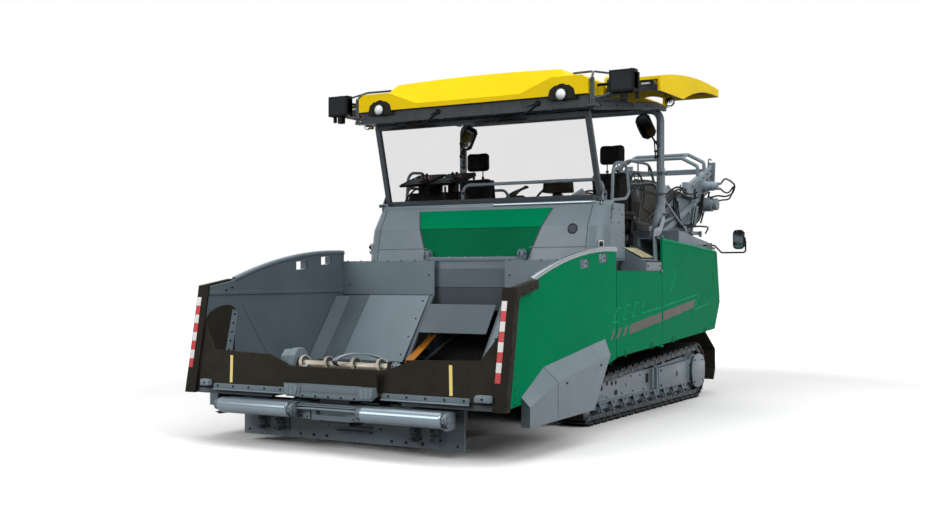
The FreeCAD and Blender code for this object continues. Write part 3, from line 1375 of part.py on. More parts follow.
def roof_flaps():
    """Side canopies beside the roof: curved, open below and in front, with an arched lower edge."""
    inner = d.roof_half
    front, rear = d.flap_front, d.flap_rear
    flap = prism("Flap", "YZ_Plane", [
        (front, 3190), (front + 640, 3190, -2600), (rear, 3355), (rear, 3435, 6500), (front, 3333)],
        inner, d.flap_outer)
    hollow = prism("FlapHollow", "YZ_Plane", [
        (front - 10, 3100), (rear - 25, 3100), (rear - 25, 3400), (front + 640, 3385), (front - 10, 3300)],
        inner + 30, d.flap_outer - 25)
    return both_sides("RoofFlaps", cut("FlapOpen", flap, [hollow]))


def roof_portal():
    """Bent tube frame that carries the rear of the roof, on foot plates on the deck."""
    x = float(d.portal_x)
    y = float(d.portal_station)
    tube = float(d.portal_tube)
    top = float(d.portal_top)
    lean = math.atan2(y - 3800, 2220 - 1500)
    foot = float(d.deck_top) + 15 + tube * math.sin(lean)
    path = [(-x, 3800, foot), (-x, y, 2220), (-x, y, top), (x, y, top), (x, y, 2220), (x, 3800, foot)]
    parts = [shape_node("PortalTube", pipe(path, tube, 130))]
    for side in (-1, 1):
        parts.append(box("PortalFoot", (side * x - 45, side * x + 45), (3740, 3860),
                         (d.deck_top, d.deck_top + 15)))
    return fuse("RoofPortal", parts)


def roof_mirrors():
    parts = []
    for side in (-1, 1):
        x = side * 1615
        case = box("MirrorCase", (x - 125, x + 125), (2240, 2330), (3145, 3355))
        parts.append(case)
        inner = side * d.roof_half
        parts.append(shape_node("MirrorArm", pipe([
            (inner, 2420, 3260), (inner + side * 90, 2420, 3260), (x, 2420, 3300), (x, 2330, 3300)], 14, 40)))
    return group("RoofMirrors", parts)


def rear_mirrors():
    """Wire-armed mirrors at the rear corners of the hood, and leaning ones on the portal."""
    parts = []
    for side in (-1, 1):
        x = side * 1860
        root = float(d.hood_half)
        low = 1712
        arm = pipe([(side * root, 5250, 1800), (side * (root + 130), 5250, 1800),
                    (side * (root + 280), 5040, low), (x + side * 75, 5040, low),
                    (x + side * 75, 5040, 1857), (x, 5040, 1857)], 9, 30)
        head = prism("HoodMirror", "XZ_Plane", octagon(x, 1857, 60, 105, 0), 5020, 5060)
        parts.append(fuse("HoodMirrorSet", [shape_node("MirrorWire", arm), head]))
        top = float(d.portal_x)
        y = float(d.portal_station - d.portal_tube)
        stem = pipe([(side * top, y, 2860), (side * top, y - 45, 2860),
                     (side * (top - 140), y - 45, 3070)], 10, 25)
        dish = prism("PortalMirror", "XZ_Plane", octagon(side * (top - 130), 3070, 80, 135, side * 25),
                     y - 80, y - 40)
        parts.append(fuse("PortalMirrorSet", [shape_node("MirrorStem", stem), dish]))
    return group("RearMirrors", parts)


def wipers():
    """Two wipers on bosses at the front of the roof beam, with their blades ahead of the glass."""
    parts = []
    face = float(d.roof_front) + 40
    for x, foot_x in ((-751, -355), (283, 767)):
        route = [(foot_x, face - 12, 3100), (foot_x - 120, face - 12, 3010), (x, face + 125, 2982)]
        parts.append(fuse("Wiper", [
            rod("WiperBoss", "Y", foot_x, face - 24, 3100, 16, 24),
            shape_node("WiperArm", pipe(route, 8, 30)),
            box("WiperBlade", (x - 290, x + 290), (face + 117, face + 133), (2968, 2984))]))
    return group("Wipers", parts)


# ---- conveyor -----------------------------------------------------------------------------------

def belt():
    """The whole belt loop: flat in the hopper, then climbing to the head drum."""
    thick = float(d.belt_thick)
    gap = float(d.slack)
    tail = Vector(0, float(at(d.tail_station)), float(d.belt_level) - thick - float(d.tail_radius) - gap)
    head = Vector(0, float(at(d.head_station)), float(d.head_height))
    knee = Vector(0, float(at(d.knee_station)), 0)
    lean = math.atan2(float(belt_line(d.head_station)) - float(d.belt_level),
                      float(d.head_station - d.knee_station))
    faces = []
    for out in (thick, 0):
        r_tail = float(d.tail_radius) + gap + out
        r_head = float(d.head_radius) + gap + out
        up = Vector(0, -math.sin(lean), math.cos(lean))
        ahead = Vector(0, math.cos(lean), math.sin(lean))
        top_tail = tail + Vector(0, 0, r_tail)
        top_head = head + up * r_head
        low_head = head - up * r_head
        low_tail = tail - Vector(0, 0, r_tail)
        share = (top_tail.z - top_head.z) / ahead.z
        knee_top = top_head + ahead * share
        share = (low_tail.z - low_head.z) / ahead.z
        knee_low = low_head + ahead * share
        loop = Part.Wire([
            Part.LineSegment(top_tail, knee_top).toShape(), Part.LineSegment(knee_top, top_head).toShape(),
            Part.Arc(top_head, head + ahead * r_head, low_head).toShape(),
            Part.LineSegment(low_head, knee_low).toShape(), Part.LineSegment(knee_low, low_tail).toShape(),
            Part.Arc(low_tail, tail - Vector(0, r_tail, 0), top_tail).toShape()])
        faces.append(Part.Face(loop))
    ring = faces[0].cut(faces[1]).Faces[0]
    ring.translate(Vector(-float(d.belt_half), 0, 0))
    return shape_node("Belt", ring.extrude(Vector(2 * float(d.belt_half), 0, 0)))


def trough():
    """Side plates and cross tubes that carry the belt from the hopper to the chassis' rear."""
    parts = []
    inner, outer = d.belt_half + 8, d.keel_inner
    tail_z = d.belt_level - d.belt_thick - d.tail_radius
    for side in (-1, 1):
        low, high = (inner, outer) if side > 0 else (-outer, -inner)
        parts.append(prism("TroughSide", "YZ_Plane", [
            (345, 345), (d.knee_station, 345), (d.boom_front + 300, belt_line(d.boom_front) - 60),
            (d.boom_front + 300, belt_line(d.boom_front + 300) + 60),
            (keel_front() + 60, belt_line(keel_front()) + 60),
            (d.knee_station + 40, d.belt_level + 45), (345, d.belt_level + 45)], low, high))
    parts.append(rod("TailDrum", "X", -inner - 5, d.tail_station, tail_z, d.tail_radius, 2 * inner + 10))
    for station in (2600, 3300, 4000):
        height = belt_line(station) - d.belt_thick - 50
        parts.append(rod("Idler", "X", -inner - 5, station, height, 44, 2 * inner + 10))
    return fuse("Trough", parts)


def conveyor_frame():
    """Side plates of the climbing conveyor with rails, legs, ties and the drum's drive."""
    parts = []
    front, rear = d.boom_front, d.boom_rear
    low_leg = d.hood_low - 22
    for side in (-1, 1):
        low, high = (d.boom_inner, d.boom_outer) if side > 0 else (-d.boom_outer, -d.boom_inner)
        parts.append(prism("BoomSide", "YZ_Plane", [
            (front, belt_line(front) - 200), (rear - 420, belt_line(rear - 420) - 380),
            (rear - 60, belt_line(rear) - 330), (rear, belt_line(rear) - 40), (rear, belt_line(rear) + 90),
            (front, belt_line(front) + 90)], low, high,
            holes=[(d.head_station, d.head_height, 35 + d.slack / 3)]))
        edge = d.boom_outer + 60
        low_rail, high_rail = (d.boom_outer, edge) if side > 0 else (-edge, -d.boom_outer)
        start = d.hood_rear + 30
        parts.append(prism("BoomRail", "YZ_Plane", [
            (start, belt_line(start) - 50), (rear - 60, belt_line(rear - 60) - 50),
            (rear - 60, belt_line(rear - 60) + 30), (start, belt_line(start) + 30)], low_rail, high_rail))
        parts.append(prism("BoomLeg", "YZ_Plane", [
            (5480, low_leg), (5640, low_leg), (5980, belt_line(5980) - 100), (5820, belt_line(5820) - 100)],
            low, high))
        low_foot, high_foot = (d.keel_outer, d.boom_inner) if side > 0 else (-d.boom_inner, -d.keel_outer)
        parts.append(box("BoomFoot", (low_foot, high_foot), (5500, 5620), (low_leg + 5, 1400)))
        parts.append(box("BoomSpacer", (low_foot, high_foot), (4000, 4120), (1150, 1260)))
    for station, drop in ((5050, 180), (6000, 190), (6900, 190)):
        parts.append(rod("BoomTie", "X", -d.boom_inner - 10, station, belt_line(station) - drop, 30,
                         2 * d.boom_inner + 20))
    parts.append(turned("DrumMotor", [
        (0, 0), (0, 120), (60, 120), (75, 95), (190, 95), (200, 80), (260, 80), (260, 0)],
        d.boom_outer, d.head_station, d.head_height))
    return fuse("ConveyorFrame", parts)


def belt_cover():
    """Arched hood over the climbing belt."""
    half = float(d.boom_outer)
    rise = float(d.cover_rise)
    skin = float(d.sheet_metal)
    rings = []
    for grow in (0, skin):
        wide = half - grow
        tall = rise - grow
        for station in (d.cover_front, d.cover_rear):
            base = float(belt_line(station)) + 90
            y = float(at(station))
            left, right = Vector(-wide, y, base), Vector(wide, y, base)
            shoulder_l, shoulder_r = Vector(-wide, y, base + tall * 0.35), Vector(wide, y, base + tall * 0.35)
            rings.append(Part.Wire([
                Part.LineSegment(left, shoulder_l).toShape(),
                Part.Arc(shoulder_l, Vector(0, y, base + tall), shoulder_r).toShape(),
                Part.LineSegment(shoulder_r, right).toShape(), Part.LineSegment(right, left).toShape()]))
    outer = Part.makeLoft(rings[0:2], True, True)
    inner = Part.makeLoft(rings[2:4], True, True)
    inner.translate(Vector(0, 0, -1))
    cover = outer.cut(inner)
    return shape_node("BeltCover", cover)


def hoops():
    """Two tube hoops over the discharge end, tied together."""
    pieces = []
    gap = 260
    for station, lift in ((7300, 0), (7300 + gap, 70)):
        top = float(d.hoop_top) + lift
        foot = float(belt_line(as_size(station))) + 30 + float(d.hoop_tube * belt_rise()) + 0.05
        x = float(d.boom_outer) + 30
        path = [(-x, station, foot), (-x, station, top - 120), (-380, station, top), (380, station, top),
                (x, station, top - 120), (x, station, foot)]
        pieces.append(pipe(path, float(d.hoop_tube), 60))
    ties = []
    for side in (-1, 1):
        x = side * 380
        top = float(d.hoop_top)
        ties.append(pipe([(x, 7300, top), (x, 7300 + gap, top + 70)], 16, 1))
    return shape_node("Hoops", fuse_touching(pieces + ties))


def head_drum():
    half = d.belt_half + 20
    return turned("HeadDrum", [
        (-d.boom_inner - 8, 0), (d.boom_inner + 8, 0), (d.boom_inner + 8, 35), (half, 35),
        (half, d.head_radius), (-half, d.head_radius), (-half, 35), (-d.boom_inner - 8, 35)],
        0, d.head_station, d.head_height)


def conveyor_hoses():
    """Hose loops from the drum motor back into it."""
    x = float(d.boom_outer) + 230
    y = float(d.head_station)
    z = float(d.head_height)
    parts = []
    for shift, reach, start in ((0, 904, 80), (60, 820, 95)):
        route = [(x - shift, y + start, z + 22), (x - shift, y + 190, z + 22),
                 (x - shift, y + reach - 60, z + 105 - shift), (x - shift, y + reach - 60, z - 100 - shift),
                 (x - shift, y + 190, z - 22), (x - shift, y + start, z - 22)]
        parts.append(shape_node("Hose", pipe(route, 15, 40)))
    return group("ConveyorHoses", parts)


def build():
    """Every sub-part, in the order of the assembly."""
    node(main_frame(), "main_frame")
    node(engine_block(), "engine_block")
    left_and_right(hopper_wall(), "hopper_wall")
    left_and_right(hopper_tub(), "hopper_tub")
    left_and_right(edge_guard(), "edge_guard")
    left_and_right(group("Apron", [apron(), wall_liner()]), "hopper_apron")
    left_and_right(skirt(), "skirt")
    node(front_box(), "front_box")
    node(feed_auger(), "feed_auger")
    node(push_plate(), "push_plate")
    node(push_beam(), "push_beam")
    left_and_right(push_roller(), "push_roller")
    left_and_right(track(), "track")
    left_and_right(track_frame(), "track_frame")
    node(mudguard(), "mudguards")
    left_and_right(side_panel(), "side_panel")
    left_and_right(service_door(), "service_door")
    node(front_bulkhead(), "front_bulkhead")
    cowl, outer, inner = front_shell()
    node(cowl, "front_shell")
    node(front_panel(outer, inner), "front_panel")
    node(deck(), "deck")
    node(hood(), "engine_hood")
    frame, glass = windscreen()
    node(frame, "windscreen_frame")
    node(glass, "windscreen_glass")
    node(wipers(), "windscreen_wipers")
    node(console(), "control_console")
    left_and_right(seat(), "seat")
    node(handrails(), "handrails")
    node(roof_frame(), "roof_frame")
    node(roof_shell(), "roof_shell")
    node(roof_flaps(), "roof_flaps")
    node(roof_portal(), "roof_portal")
    node(roof_mirrors(), "roof_mirrors")
    node(rear_mirrors(), "rear_mirrors")
    node(belt(), "conveyor_belt")
    node(trough(), "conveyor_trough")
    node(conveyor_frame(), "conveyor_frame")
    node(belt_cover(), "belt_cover")
    node(hoops(), "discharge_hoops")
    node(head_drum(), "head_drum")
    node(conveyor_hoses(), "conveyor_hoses")


def check_and_export():
    doc.recompute()
    for item in doc.Objects:
        if "Invalid" in item.State or "Error" in item.State:
            raise RuntimeError("%s (%s) failed: %s" % (item.Name, item.Label, item.State))
    os.makedirs("parts", exist_ok=True)
    whole = FreeCAD.BoundBox()
    for item in nodes:
        if item.Shape.isNull() or not item.Shape.isValid() or not item.Shape.Solids:
            raise RuntimeError("no valid solid in " + item.Label)
        whole.add(item.Shape.BoundBox)
        item.Shape.exportStep("parts/%s.step" % item.Label)
    print("%d sub-parts, box %s" % (len(nodes), whole))


build()
check_and_export()
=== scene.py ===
import bmesh
import bpy
import math
from mathutils import Matrix, Vector
from mathutils.bvhtree import BVHTree


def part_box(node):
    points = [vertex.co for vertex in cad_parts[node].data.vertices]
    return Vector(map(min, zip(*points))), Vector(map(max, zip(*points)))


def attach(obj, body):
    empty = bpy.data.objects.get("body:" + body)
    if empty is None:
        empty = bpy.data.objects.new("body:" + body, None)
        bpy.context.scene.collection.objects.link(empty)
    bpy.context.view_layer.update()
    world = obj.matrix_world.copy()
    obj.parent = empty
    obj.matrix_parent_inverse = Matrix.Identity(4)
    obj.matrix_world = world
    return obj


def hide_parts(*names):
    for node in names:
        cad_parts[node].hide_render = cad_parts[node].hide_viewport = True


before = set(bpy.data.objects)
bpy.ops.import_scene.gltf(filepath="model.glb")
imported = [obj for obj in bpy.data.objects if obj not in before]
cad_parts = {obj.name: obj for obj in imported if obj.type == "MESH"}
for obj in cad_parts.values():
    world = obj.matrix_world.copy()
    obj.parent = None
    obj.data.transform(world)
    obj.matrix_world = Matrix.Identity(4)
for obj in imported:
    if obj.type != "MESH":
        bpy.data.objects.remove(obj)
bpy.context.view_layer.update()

print("frame loaded, %d nodes" % len(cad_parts))


# colours are written as they look on screen, shaders want them linear
def tint(hexCode):
    shades = [int(hexCode[place:place + 2], 16) / 255 for place in (0, 2, 4)]
    return tuple((s / 12.92 if s <= 0.04045 else ((s + 0.055) / 1.055) ** 2.4) for s in shades) + (1.0,)


def setSocket(tree, socket, value):
    if isinstance(value, bpy.types.NodeSocket):
        tree.links.new(value, socket)
    else:
        socket.default_value = value


def addNode(tree, kind, values=None, **settings):
    node = tree.nodes.new("ShaderNode" + kind)
    for name, value in settings.items():
        setattr(node, name, value)
    for name, value in (values or {}).items():
        setSocket(tree, node.inputs[name], value)
    return node


def freshMaterial(name):
    material = bpy.data.materials.new(name)
    material.use_nodes = True
    tree = material.node_tree
    return material, tree, tree.nodes["Principled BSDF"]


def speckle(tree, place, scale, low, high, detail=4.0, rough=0.5):
    noise = addNode(tree, "TexNoise", {"Vector": place, "Scale": scale, "Detail": detail, "Roughness": rough})
    return addNode(tree, "MapRange", {"Value": noise.outputs["Fac"], "From Min": 0.35, "From Max": 0.65,
        "To Min": low, "To Max": high}).outputs["Result"]


def blendColours(tree, amount, first, second):
    mix = addNode(tree, "Mix", data_type="RGBA")
    for socket, value in zip((mix.inputs[0], mix.inputs[6], mix.inputs[7]), (amount, first, second)):
        setSocket(tree, socket, value)
    return mix.outputs[2]


def maths(tree, operation, first, second=0.0):
    node = addNode(tree, "Math", operation=operation)
    for socket, value in zip(node.inputs, (first, second)):
        setSocket(tree, socket, value)
    return node.outputs[0]


def finishRow(colour, fade, rough, grain, edge, **more):
    return dict(more, colour=colour, fade=fade, rough=rough, grain=grain, edge=edge)

# every finish is one row: colour, what it fades to, lowest and highest roughness, scale and depth of the grain,
# rounding of the edges, and what only some have
finishes = {
    "bodyGreen": finishRow("007D52", "007750", (0.34, 0.46), (380, 5e-05), 0.004, gloss=0.008),
    # darker copy of the body green: painted shade on the lower front panel, under the panel's step and in slots
    "shadeGreen": finishRow("006340", "005C3A", (0.34, 0.46), (380, 5e-05), 0.003, gloss=0.015),
    "barGreen": finishRow("0FA56D", "0E9965", (0.34, 0.46), (380, 5e-05), 0.002, gloss=0.015),
    "barBrown": finishRow("4F4A46", "47423E", (0.4, 0.5), (380, 5e-05), 0.002),
    "frameGrey": finishRow("6C7982", "647179", (0.36, 0.48), (320, 8e-05), 0.004, coat=0.1),
    # lighter copy of the frame grey: painted light on parts in shade, and a painted highlight on the shell's top
    "litGrey": finishRow("7E8C95", "75838C", (0.36, 0.48), (320, 8e-05), 0.004, coat=0.1),
    # darker copy of the grey: painted shade inside the hopper, with the painted edge highlight and wear
    "hopperShadeGrey": finishRow("57636A", "4E5A61", (0.42, 0.56), (90, 0.0003), 0.004, wear="7C868C", worn=0.3),
    "panelGrey": finishRow("3F474C", "383F44", (0.42, 0.54), (320, 8e-05), 0.003),
    "deepGrey": finishRow("23282B", "1C2022", (0.5, 0.62), (220, 0.0002), 0.003, gloss=0.08),
    "roofYellow": finishRow("E9C800", "DFBE00", (0.34, 0.46), (300, 6e-05), 0.008, gloss=0.04),
    "roofDark": finishRow("2E3438", "282D31", (0.45, 0.6), (220, 0.0002), 0.003),
    "wallRubber": finishRow("24221C", "2B2822", (0.6, 0.78), (160, 0.0005), 0.003, gloss=0.08),
    "beltRubber": finishRow("191918", "222120", (0.6, 0.78), (140, 0.0007), 0.003, gloss=0.08),
    "guardBlack": finishRow("17150F", "1E1C17", (0.5, 0.62), (260, 0.0002), 0.003, gloss=0.08),
    "trackSteel": finishRow("1D1F1F", "151616", (0.45, 0.62), (110, 0.0009), 0.003,
        metal=0.4, wear="5A5E60", worn=0.45),
    "rollerGrey": finishRow("7B8992", "727F88", (0.2, 0.27), (260, 8e-06), 0.004, metal=0.55, gloss=0.4),
    "augerSteel": finishRow("B8B0A2", "948C7E", (0.32, 0.5), (70, 0.0004), 0.003, metal=0.35),
    "castMetal": finishRow("454C50", "363C40", (0.42, 0.58), (130, 0.0006), 0.004,
        metal=0.25, wear="7A8286", worn=0.3),
    "darkPlastic": finishRow("0E0E0F", "151516", (0.5, 0.62), (420, 0.0002), 0.003, gloss=0.08),
    "seatVinyl": finishRow("0C0C0D", "141415", (0.6, 0.72), (520, 0.0004), 0.003, gloss=0.08),
    "railChrome": finishRow("8F989E", "848E94", (0.18, 0.24), (300, 5e-06), 0.002, metal=0.7),
    "hoseRubber": finishRow("121414", "1A1D1E", (0.45, 0.58), (600, 0.0003), 0.002, gloss=0.08),
    "tapeWhite": finishRow("ECECEA", "E2E2DF", (0.35, 0.45), (700, 0.0001), 0.001),
    "tapeRed": finishRow("D2474A", "C63E41", (0.35, 0.45), (700, 0.0001), 0.001),
    "markYellow": finishRow("F0DC84", "E6D179", (0.4, 0.5), (500, 0.0001), 0.001),
    "stepCream": finishRow("E6E0B4", "DAD4A6", (0.4, 0.5), (500, 0.0001), 0.001),
    "latchOrange": finishRow("B06E1E", "9C6019", (0.4, 0.54), (240, 0.0002), 0.003,
        coat=0.1, wear="8A7A64", worn=0.3),
    "boltSteel": finishRow("5E676C", "4E565B", (0.34, 0.46), (300, 0.0001), 0.001, metal=0.5),
    "boltDark": finishRow("1D2123", "16191B", (0.42, 0.55), (300, 0.0001), 0.001, metal=0.3),
    "lampWhite": finishRow("E8EAEA", "D9DCDC", (0.12, 0.2), (90, 0.0002), 0.001, coat=0.6),
    "mirrorSilver": finishRow("B9C0C4", "AEB5B9", (0.03, 0.08), (60, 2e-05), 0.001, metal=1.0),
    "deckPlate": finishRow("2A2F32", "24282B", (0.45, 0.6), (60, 0.0012), 0.003, metal=0.2),
}
materials = {}


def makeFinish(name, look):
    material, tree, shader = freshMaterial(name)
    place = addNode(tree, "TexCoord").outputs["Object"]
    slow = speckle(tree, place, 1.7, 0.0, 1.0, detail=6.0)
    colour = blendColours(tree, slow, tint(look["colour"]), tint(look["fade"]))
    low, high = look["rough"]
    roughness = speckle(tree, place, 9.0, low, high, detail=8.0, rough=0.62)
    scale, depth = look["grain"]
    rounded = addNode(tree, "Bevel", {"Radius": look["edge"]}, samples=4)
    if "wear" in look:
        # a lighter colour where a broad bevel turns away from the true face, broken up by chips: painted highlight on
        # the edges together with worn bare metal
        broad = addNode(tree, "Bevel", {"Radius": look["edge"] * 2.5}, samples=4)
        face = addNode(tree, "NewGeometry").outputs["True Normal"]
        turn = addNode(tree, "VectorMath", {0: broad.outputs["Normal"], 1: face}, operation="DOT_PRODUCT")
        edge = addNode(tree, "MapRange", {"Value": turn.outputs["Value"], "From Min": 0.97, "From Max": 0.86})
        chips = speckle(tree, place, 34.0, 0.0, 1.0, detail=8.0, rough=0.7)
        worn = maths(tree, "MULTIPLY", maths(tree, "MULTIPLY", edge.outputs["Result"], chips), look["worn"])
        colour = blendColours(tree, worn, colour, tint(look["wear"]))
    tree.links.new(colour, shader.inputs["Base Color"])
    tree.links.new(roughness, shader.inputs["Roughness"])
    shader.inputs["Metallic"].default_value = look.get("metal", 0.0)
    shader.inputs["Coat Weight"].default_value = look.get("coat", 0.0)
    shader.inputs["Coat Roughness"].default_value = 0.12
    shader.inputs["Specular IOR Level"].default_value = look.get("gloss", 0.2)
    fine = addNode(tree, "TexNoise", {"Vector": place, "Scale": float(scale), "Detail": 3.0})
    bump = addNode(tree, "Bump", {"Height": fine.outputs["Fac"], "Distance": depth, "Strength": 0.8,
        "Normal": rounded.outputs["Normal"]})
    tree.links.new(bump.outputs["Normal"], shader.inputs["Normal"])
    materials[name] = material

for finishName, finishLook in finishes.items():
    makeFinish(finishName, finishLook)


# flat pane with a very light tint
def makeGlass(name, colour, roughness, bend):
    material, tree, shader = freshMaterial(name)
    place = addNode(tree, "TexCoord").outputs["Object"]
    cloud = speckle(tree, place, 2.0, 0.0, 1.0)
    tree.links.new(blendColours(tree, cloud, tint(colour[0]), tint(colour[1])), shader.inputs["Base Color"])
    shader.inputs["Transmission Weight"].default_value = 1.0
    shader.inputs["IOR"].default_value = bend
    tree.links.new(speckle(tree, place, 3.0, roughness, roughness + 0.02), shader.inputs["Roughness"])
    materials[name] = material

makeGlass("paneGlass", ("E4E3E3", "E2E1E1"), 0.0, 1.01)
print("finishes made: %d" % len(materials))


# a piece is one mesh that rides on one body; every solid in it keeps the finish painted last
class Piece:
    def __init__(self, name, body, slot):
        self.name, self.body, self.slot = name, body, slot
        self.mesh = bmesh.new()
        self.looks = []
        self.look = 0

    def paint(self, finish):
        if finish not in self.looks:
            self.looks.append(finish)
        self.look = self.looks.index(finish)
        return self

    # equal rings of points are joined into one closed skin
    def loft(self, rings, edge=0.0, loop=False, steps=1):
        rows = [[self.mesh.verts.new(point) for point in ring] for ring in rings]
        count = len(rows[0])
        pairs = list(zip(rows, rows[1:])) + ([(rows[-1], rows[0])] if loop else [])
        faces = [self.mesh.faces.new((low[i], low[(i + 1) % count], high[(i + 1) % count], high[i])) for low,
            high in pairs for i in range(count)]
        if not loop:
            faces += [self.mesh.faces.new(rows[0][::-1]), self.mesh.faces.new(rows[-1])]
        for face in faces:
            face.material_index = self.look
        if edge:
            bmesh.ops.recalc_face_normals(self.mesh, faces=faces)
            sharp = [line for line in {line for face in faces
                for line in face.edges} if line.calc_face_angle(0) > 0.5]
            bmesh.ops.bevel(self.mesh, geom=sharp, offset=edge, segments=steps, profile=0.5, affect="EDGES",
                clamp_overlap=True)
        return self

    def plate(self, outline, thick, edge=0.002, steps=1):
        outline = [Vector(point) for point in outline]
        return self.loft([outline, [point + Vector(thick) for point in outline]], edge, steps=steps)

    def block(self, low, high, edge=0.003, steps=1):
        (x1, y1, z1), (x2, y2, z2) = low, high
        ring = [(x1, y1, z1), (x2, y1, z1), (x2, y2, z1), (x1, y2, z1)]
        return self.plate(ring, (0, 0, z2 - z1), edge, steps)

    # square bar between two points
    def bar(self, first, second, wide, tall, up=(0, 0, 1), edge=0.002):
        first, second = Vector(first), Vector(second)
        run = (second - first).normalized()
        side = run.cross(Vector(up)).normalized()
        rise = side.cross(run)
        ring = [first + side * a * wide / 2 + rise * b * tall / 2 for a, b in ((-1, -1), (1, -1), (1, 1), (-1, 1))]
        return self.plate(ring, second - first, edge)

    # profile is (along, radius) pairs turned round a line
    def lathe(self, place, direction, profile, sides=16, spin=0.0):
        frameTurn = Vector(direction).to_track_quat("Z", "Y").to_matrix()
        rings = []
        for along, radius in profile:
            rings.append([Vector(place) + frameTurn @ Vector((radius * math.cos(2 * math.pi * k / sides + spin),
                radius * math.sin(2 * math.pi * k / sides + spin), along)) for k in range(sides)])
        return self.loft(rings)

    def rod(self, first, second, radius, sides=16, edge=0.002):
        run = Vector(second) - Vector(first)
        long = run.length
        return self.lathe(first, run, [(0, radius - edge), (edge, radius), (long - edge, radius),
            (long, radius - edge)], sides)

    # washer, hexagon and a domed end
    def bolt(self, place, direction, size=0.012):
        lift = 0.18 * size
        self.lathe(place, direction, [(-0.3 * size, size), (lift, size), (lift * 1.4, size * 0.9)], 12)
        self.lathe(place, direction, [(0, size * 0.78), (size * 0.75, size * 0.78), (size * 0.9, size * 0.62)], 6)
        return self

    def bolts(self, places, direction, size=0.012):
        for place in places:
            self.bolt(place, direction, size)
        return self

    # flat ring, standing proud of a face
    def ring(self, place, direction, inside, outside, thick, sides=24):
        frameTurn = Vector(direction).to_track_quat("Z", "Y").to_matrix()
        corner = min(thick, outside - inside) * 0.2
        section = [(inside, 0), (inside, thick - corner), (inside + corner, thick), (outside - corner, thick),
            (outside, thick - corner), (outside, 0)]
        rings = [[Vector(place) + frameTurn @ Vector((r * math.cos(t), r * math.sin(t), h)) for r, h in section]
            for t in (2 * math.pi * k / sides for k in range(sides))]
        return self.loft(rings, loop=True)

    def tube(self, points, radius, sides=10, bend=0.0, loop=False, steps=5):
        path = roundPath([Vector(point) for point in points], bend, steps, loop)
        rings, across = [], None
        for k, point in enumerate(path):
            ahead = path[(k + 1) % len(path)] if loop or k < len(path) - 1 else point
            behind = path[k - 1] if loop or k else point
            run = (ahead - behind).normalized()
            if across is None:
                across = run.orthogonal()
            across = (across - run * across.dot(run)).normalized()
            side = run.cross(across)
            rings.append([point + (across * math.cos(a) + side * math.sin(a)) * radius
                for a in (2 * math.pi * j / sides for j in range(sides))])
        return self.loft(rings, loop=loop)

    def done(self, replaces=()):
        bmesh.ops.recalc_face_normals(self.mesh, faces=self.mesh.faces)
        data = bpy.data.meshes.new(self.name)
        self.mesh.to_mesh(data)
        self.mesh.free()
        for look in self.looks:
            data.materials.append(materials[look])
        data.polygons.foreach_set("use_smooth", [True] * len(data.polygons))
        data.set_sharp_from_angle(angle=math.radians(35))
        thing = bpy.data.objects.new(self.name, data)
        bpy.context.scene.collection.objects.link(thing)
        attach(thing, self.body)
        if replaces:
            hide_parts(*replaces)
        return thing


# corners of a path are rounded with a few points each
def roundPath(points, bend, steps, loop):
    if not bend:
        return points
    path = []
    count = len(points)
    for k, point in enumerate(points):
        if not loop and k in (0, count - 1):
            path.append(point)
            continue
        before, after = points[k - 1] - point, points[(k + 1) % count] - point
        reach = min(bend, before.length * 0.48, after.length * 0.48)
        first, last = point + before.normalized() * reach, point + after.normalized() * reach
        for j in range(steps + 1):
            t = j / steps
            path.append(first.lerp(point, t).lerp(point.lerp(last, t), t))
    return path


originStation = 4.066


# a station is measured from the push rollers backwards, as on the drawings of the machine
def spot(x, station, height):
    return Vector((x, station - originStation, height))


# outlines in a plane across the machine, facing along it or level with the ground
def onSide(x, *corners, sign=1):
    return [spot(sign * x, station, height) for station, height in corners]


def onFront(station, *corners, sign=1):
    return [spot(sign * x, station, height) for x, height in corners]


def onLevel(height, *corners, sign=1):
    return [spot(sign * x, station, height) for x, station in corners]


def spots(*corners, sign=1):
    return [spot(sign * x, station, height) for x, station, height in corners]


def pane(plane, place, first, last, low, high, sign=1):
    return plane(place, (first, low), (last, low), (last, high), (first, high), sign=sign)


def spread(first, last, count):
    return [Vector(first).lerp(Vector(last), k / (count - 1)) for k in range(count)]


# paints the faces of a frame node: the first rule that fits a face's middle and direction wins
def paintNode(name, *rules):
    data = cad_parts[name].data
    data.materials.clear()
    for finish, fits in rules:
        data.materials.append(materials[finish])
    for face in data.polygons:
        middle, facing = face.center, face.normal
        for index, (finish, fits) in enumerate(rules):
            if fits is None or fits(middle, facing):
                face.material_index = index
                break

sides = (("left", 1), ("right", -1))

# which finish each plain node of the frame gets
nodeFinish = {
    "panelGrey": "main_frame",
    "castMetal": "engine_block",
    "guardBlack": "left_edge_guard right_edge_guard belt_cover",
    "frameGrey": ("left_skirt right_skirt push_plate push_beam left_track_frame right_track_frame "
                  "front_shell engine_hood windscreen_frame handrails roof_portal conveyor_trough "
                  "conveyor_frame discharge_hoops"),
    "augerSteel": "feed_auger",
    "rollerGrey": "left_push_roller right_push_roller",
    "trackSteel": "left_track right_track head_drum",
    "wallRubber": "mudguards",
    "bodyGreen": "left_service_door right_service_door front_panel",
    "paneGlass": "windscreen_glass",
    "darkPlastic": "windscreen_wipers control_console roof_mirrors rear_mirrors",
    "seatVinyl": "left_seat right_seat",
    "roofDark": "roof_frame",
    "roofYellow": "roof_shell",
    "beltRubber": "conveyor_belt",
    "hoseRubber": "conveyor_hoses",
}
for finishName, nodeNames in nodeFinish.items():
    for nodeName in nodeNames.split():
        paintNode(nodeName, (finishName, None))

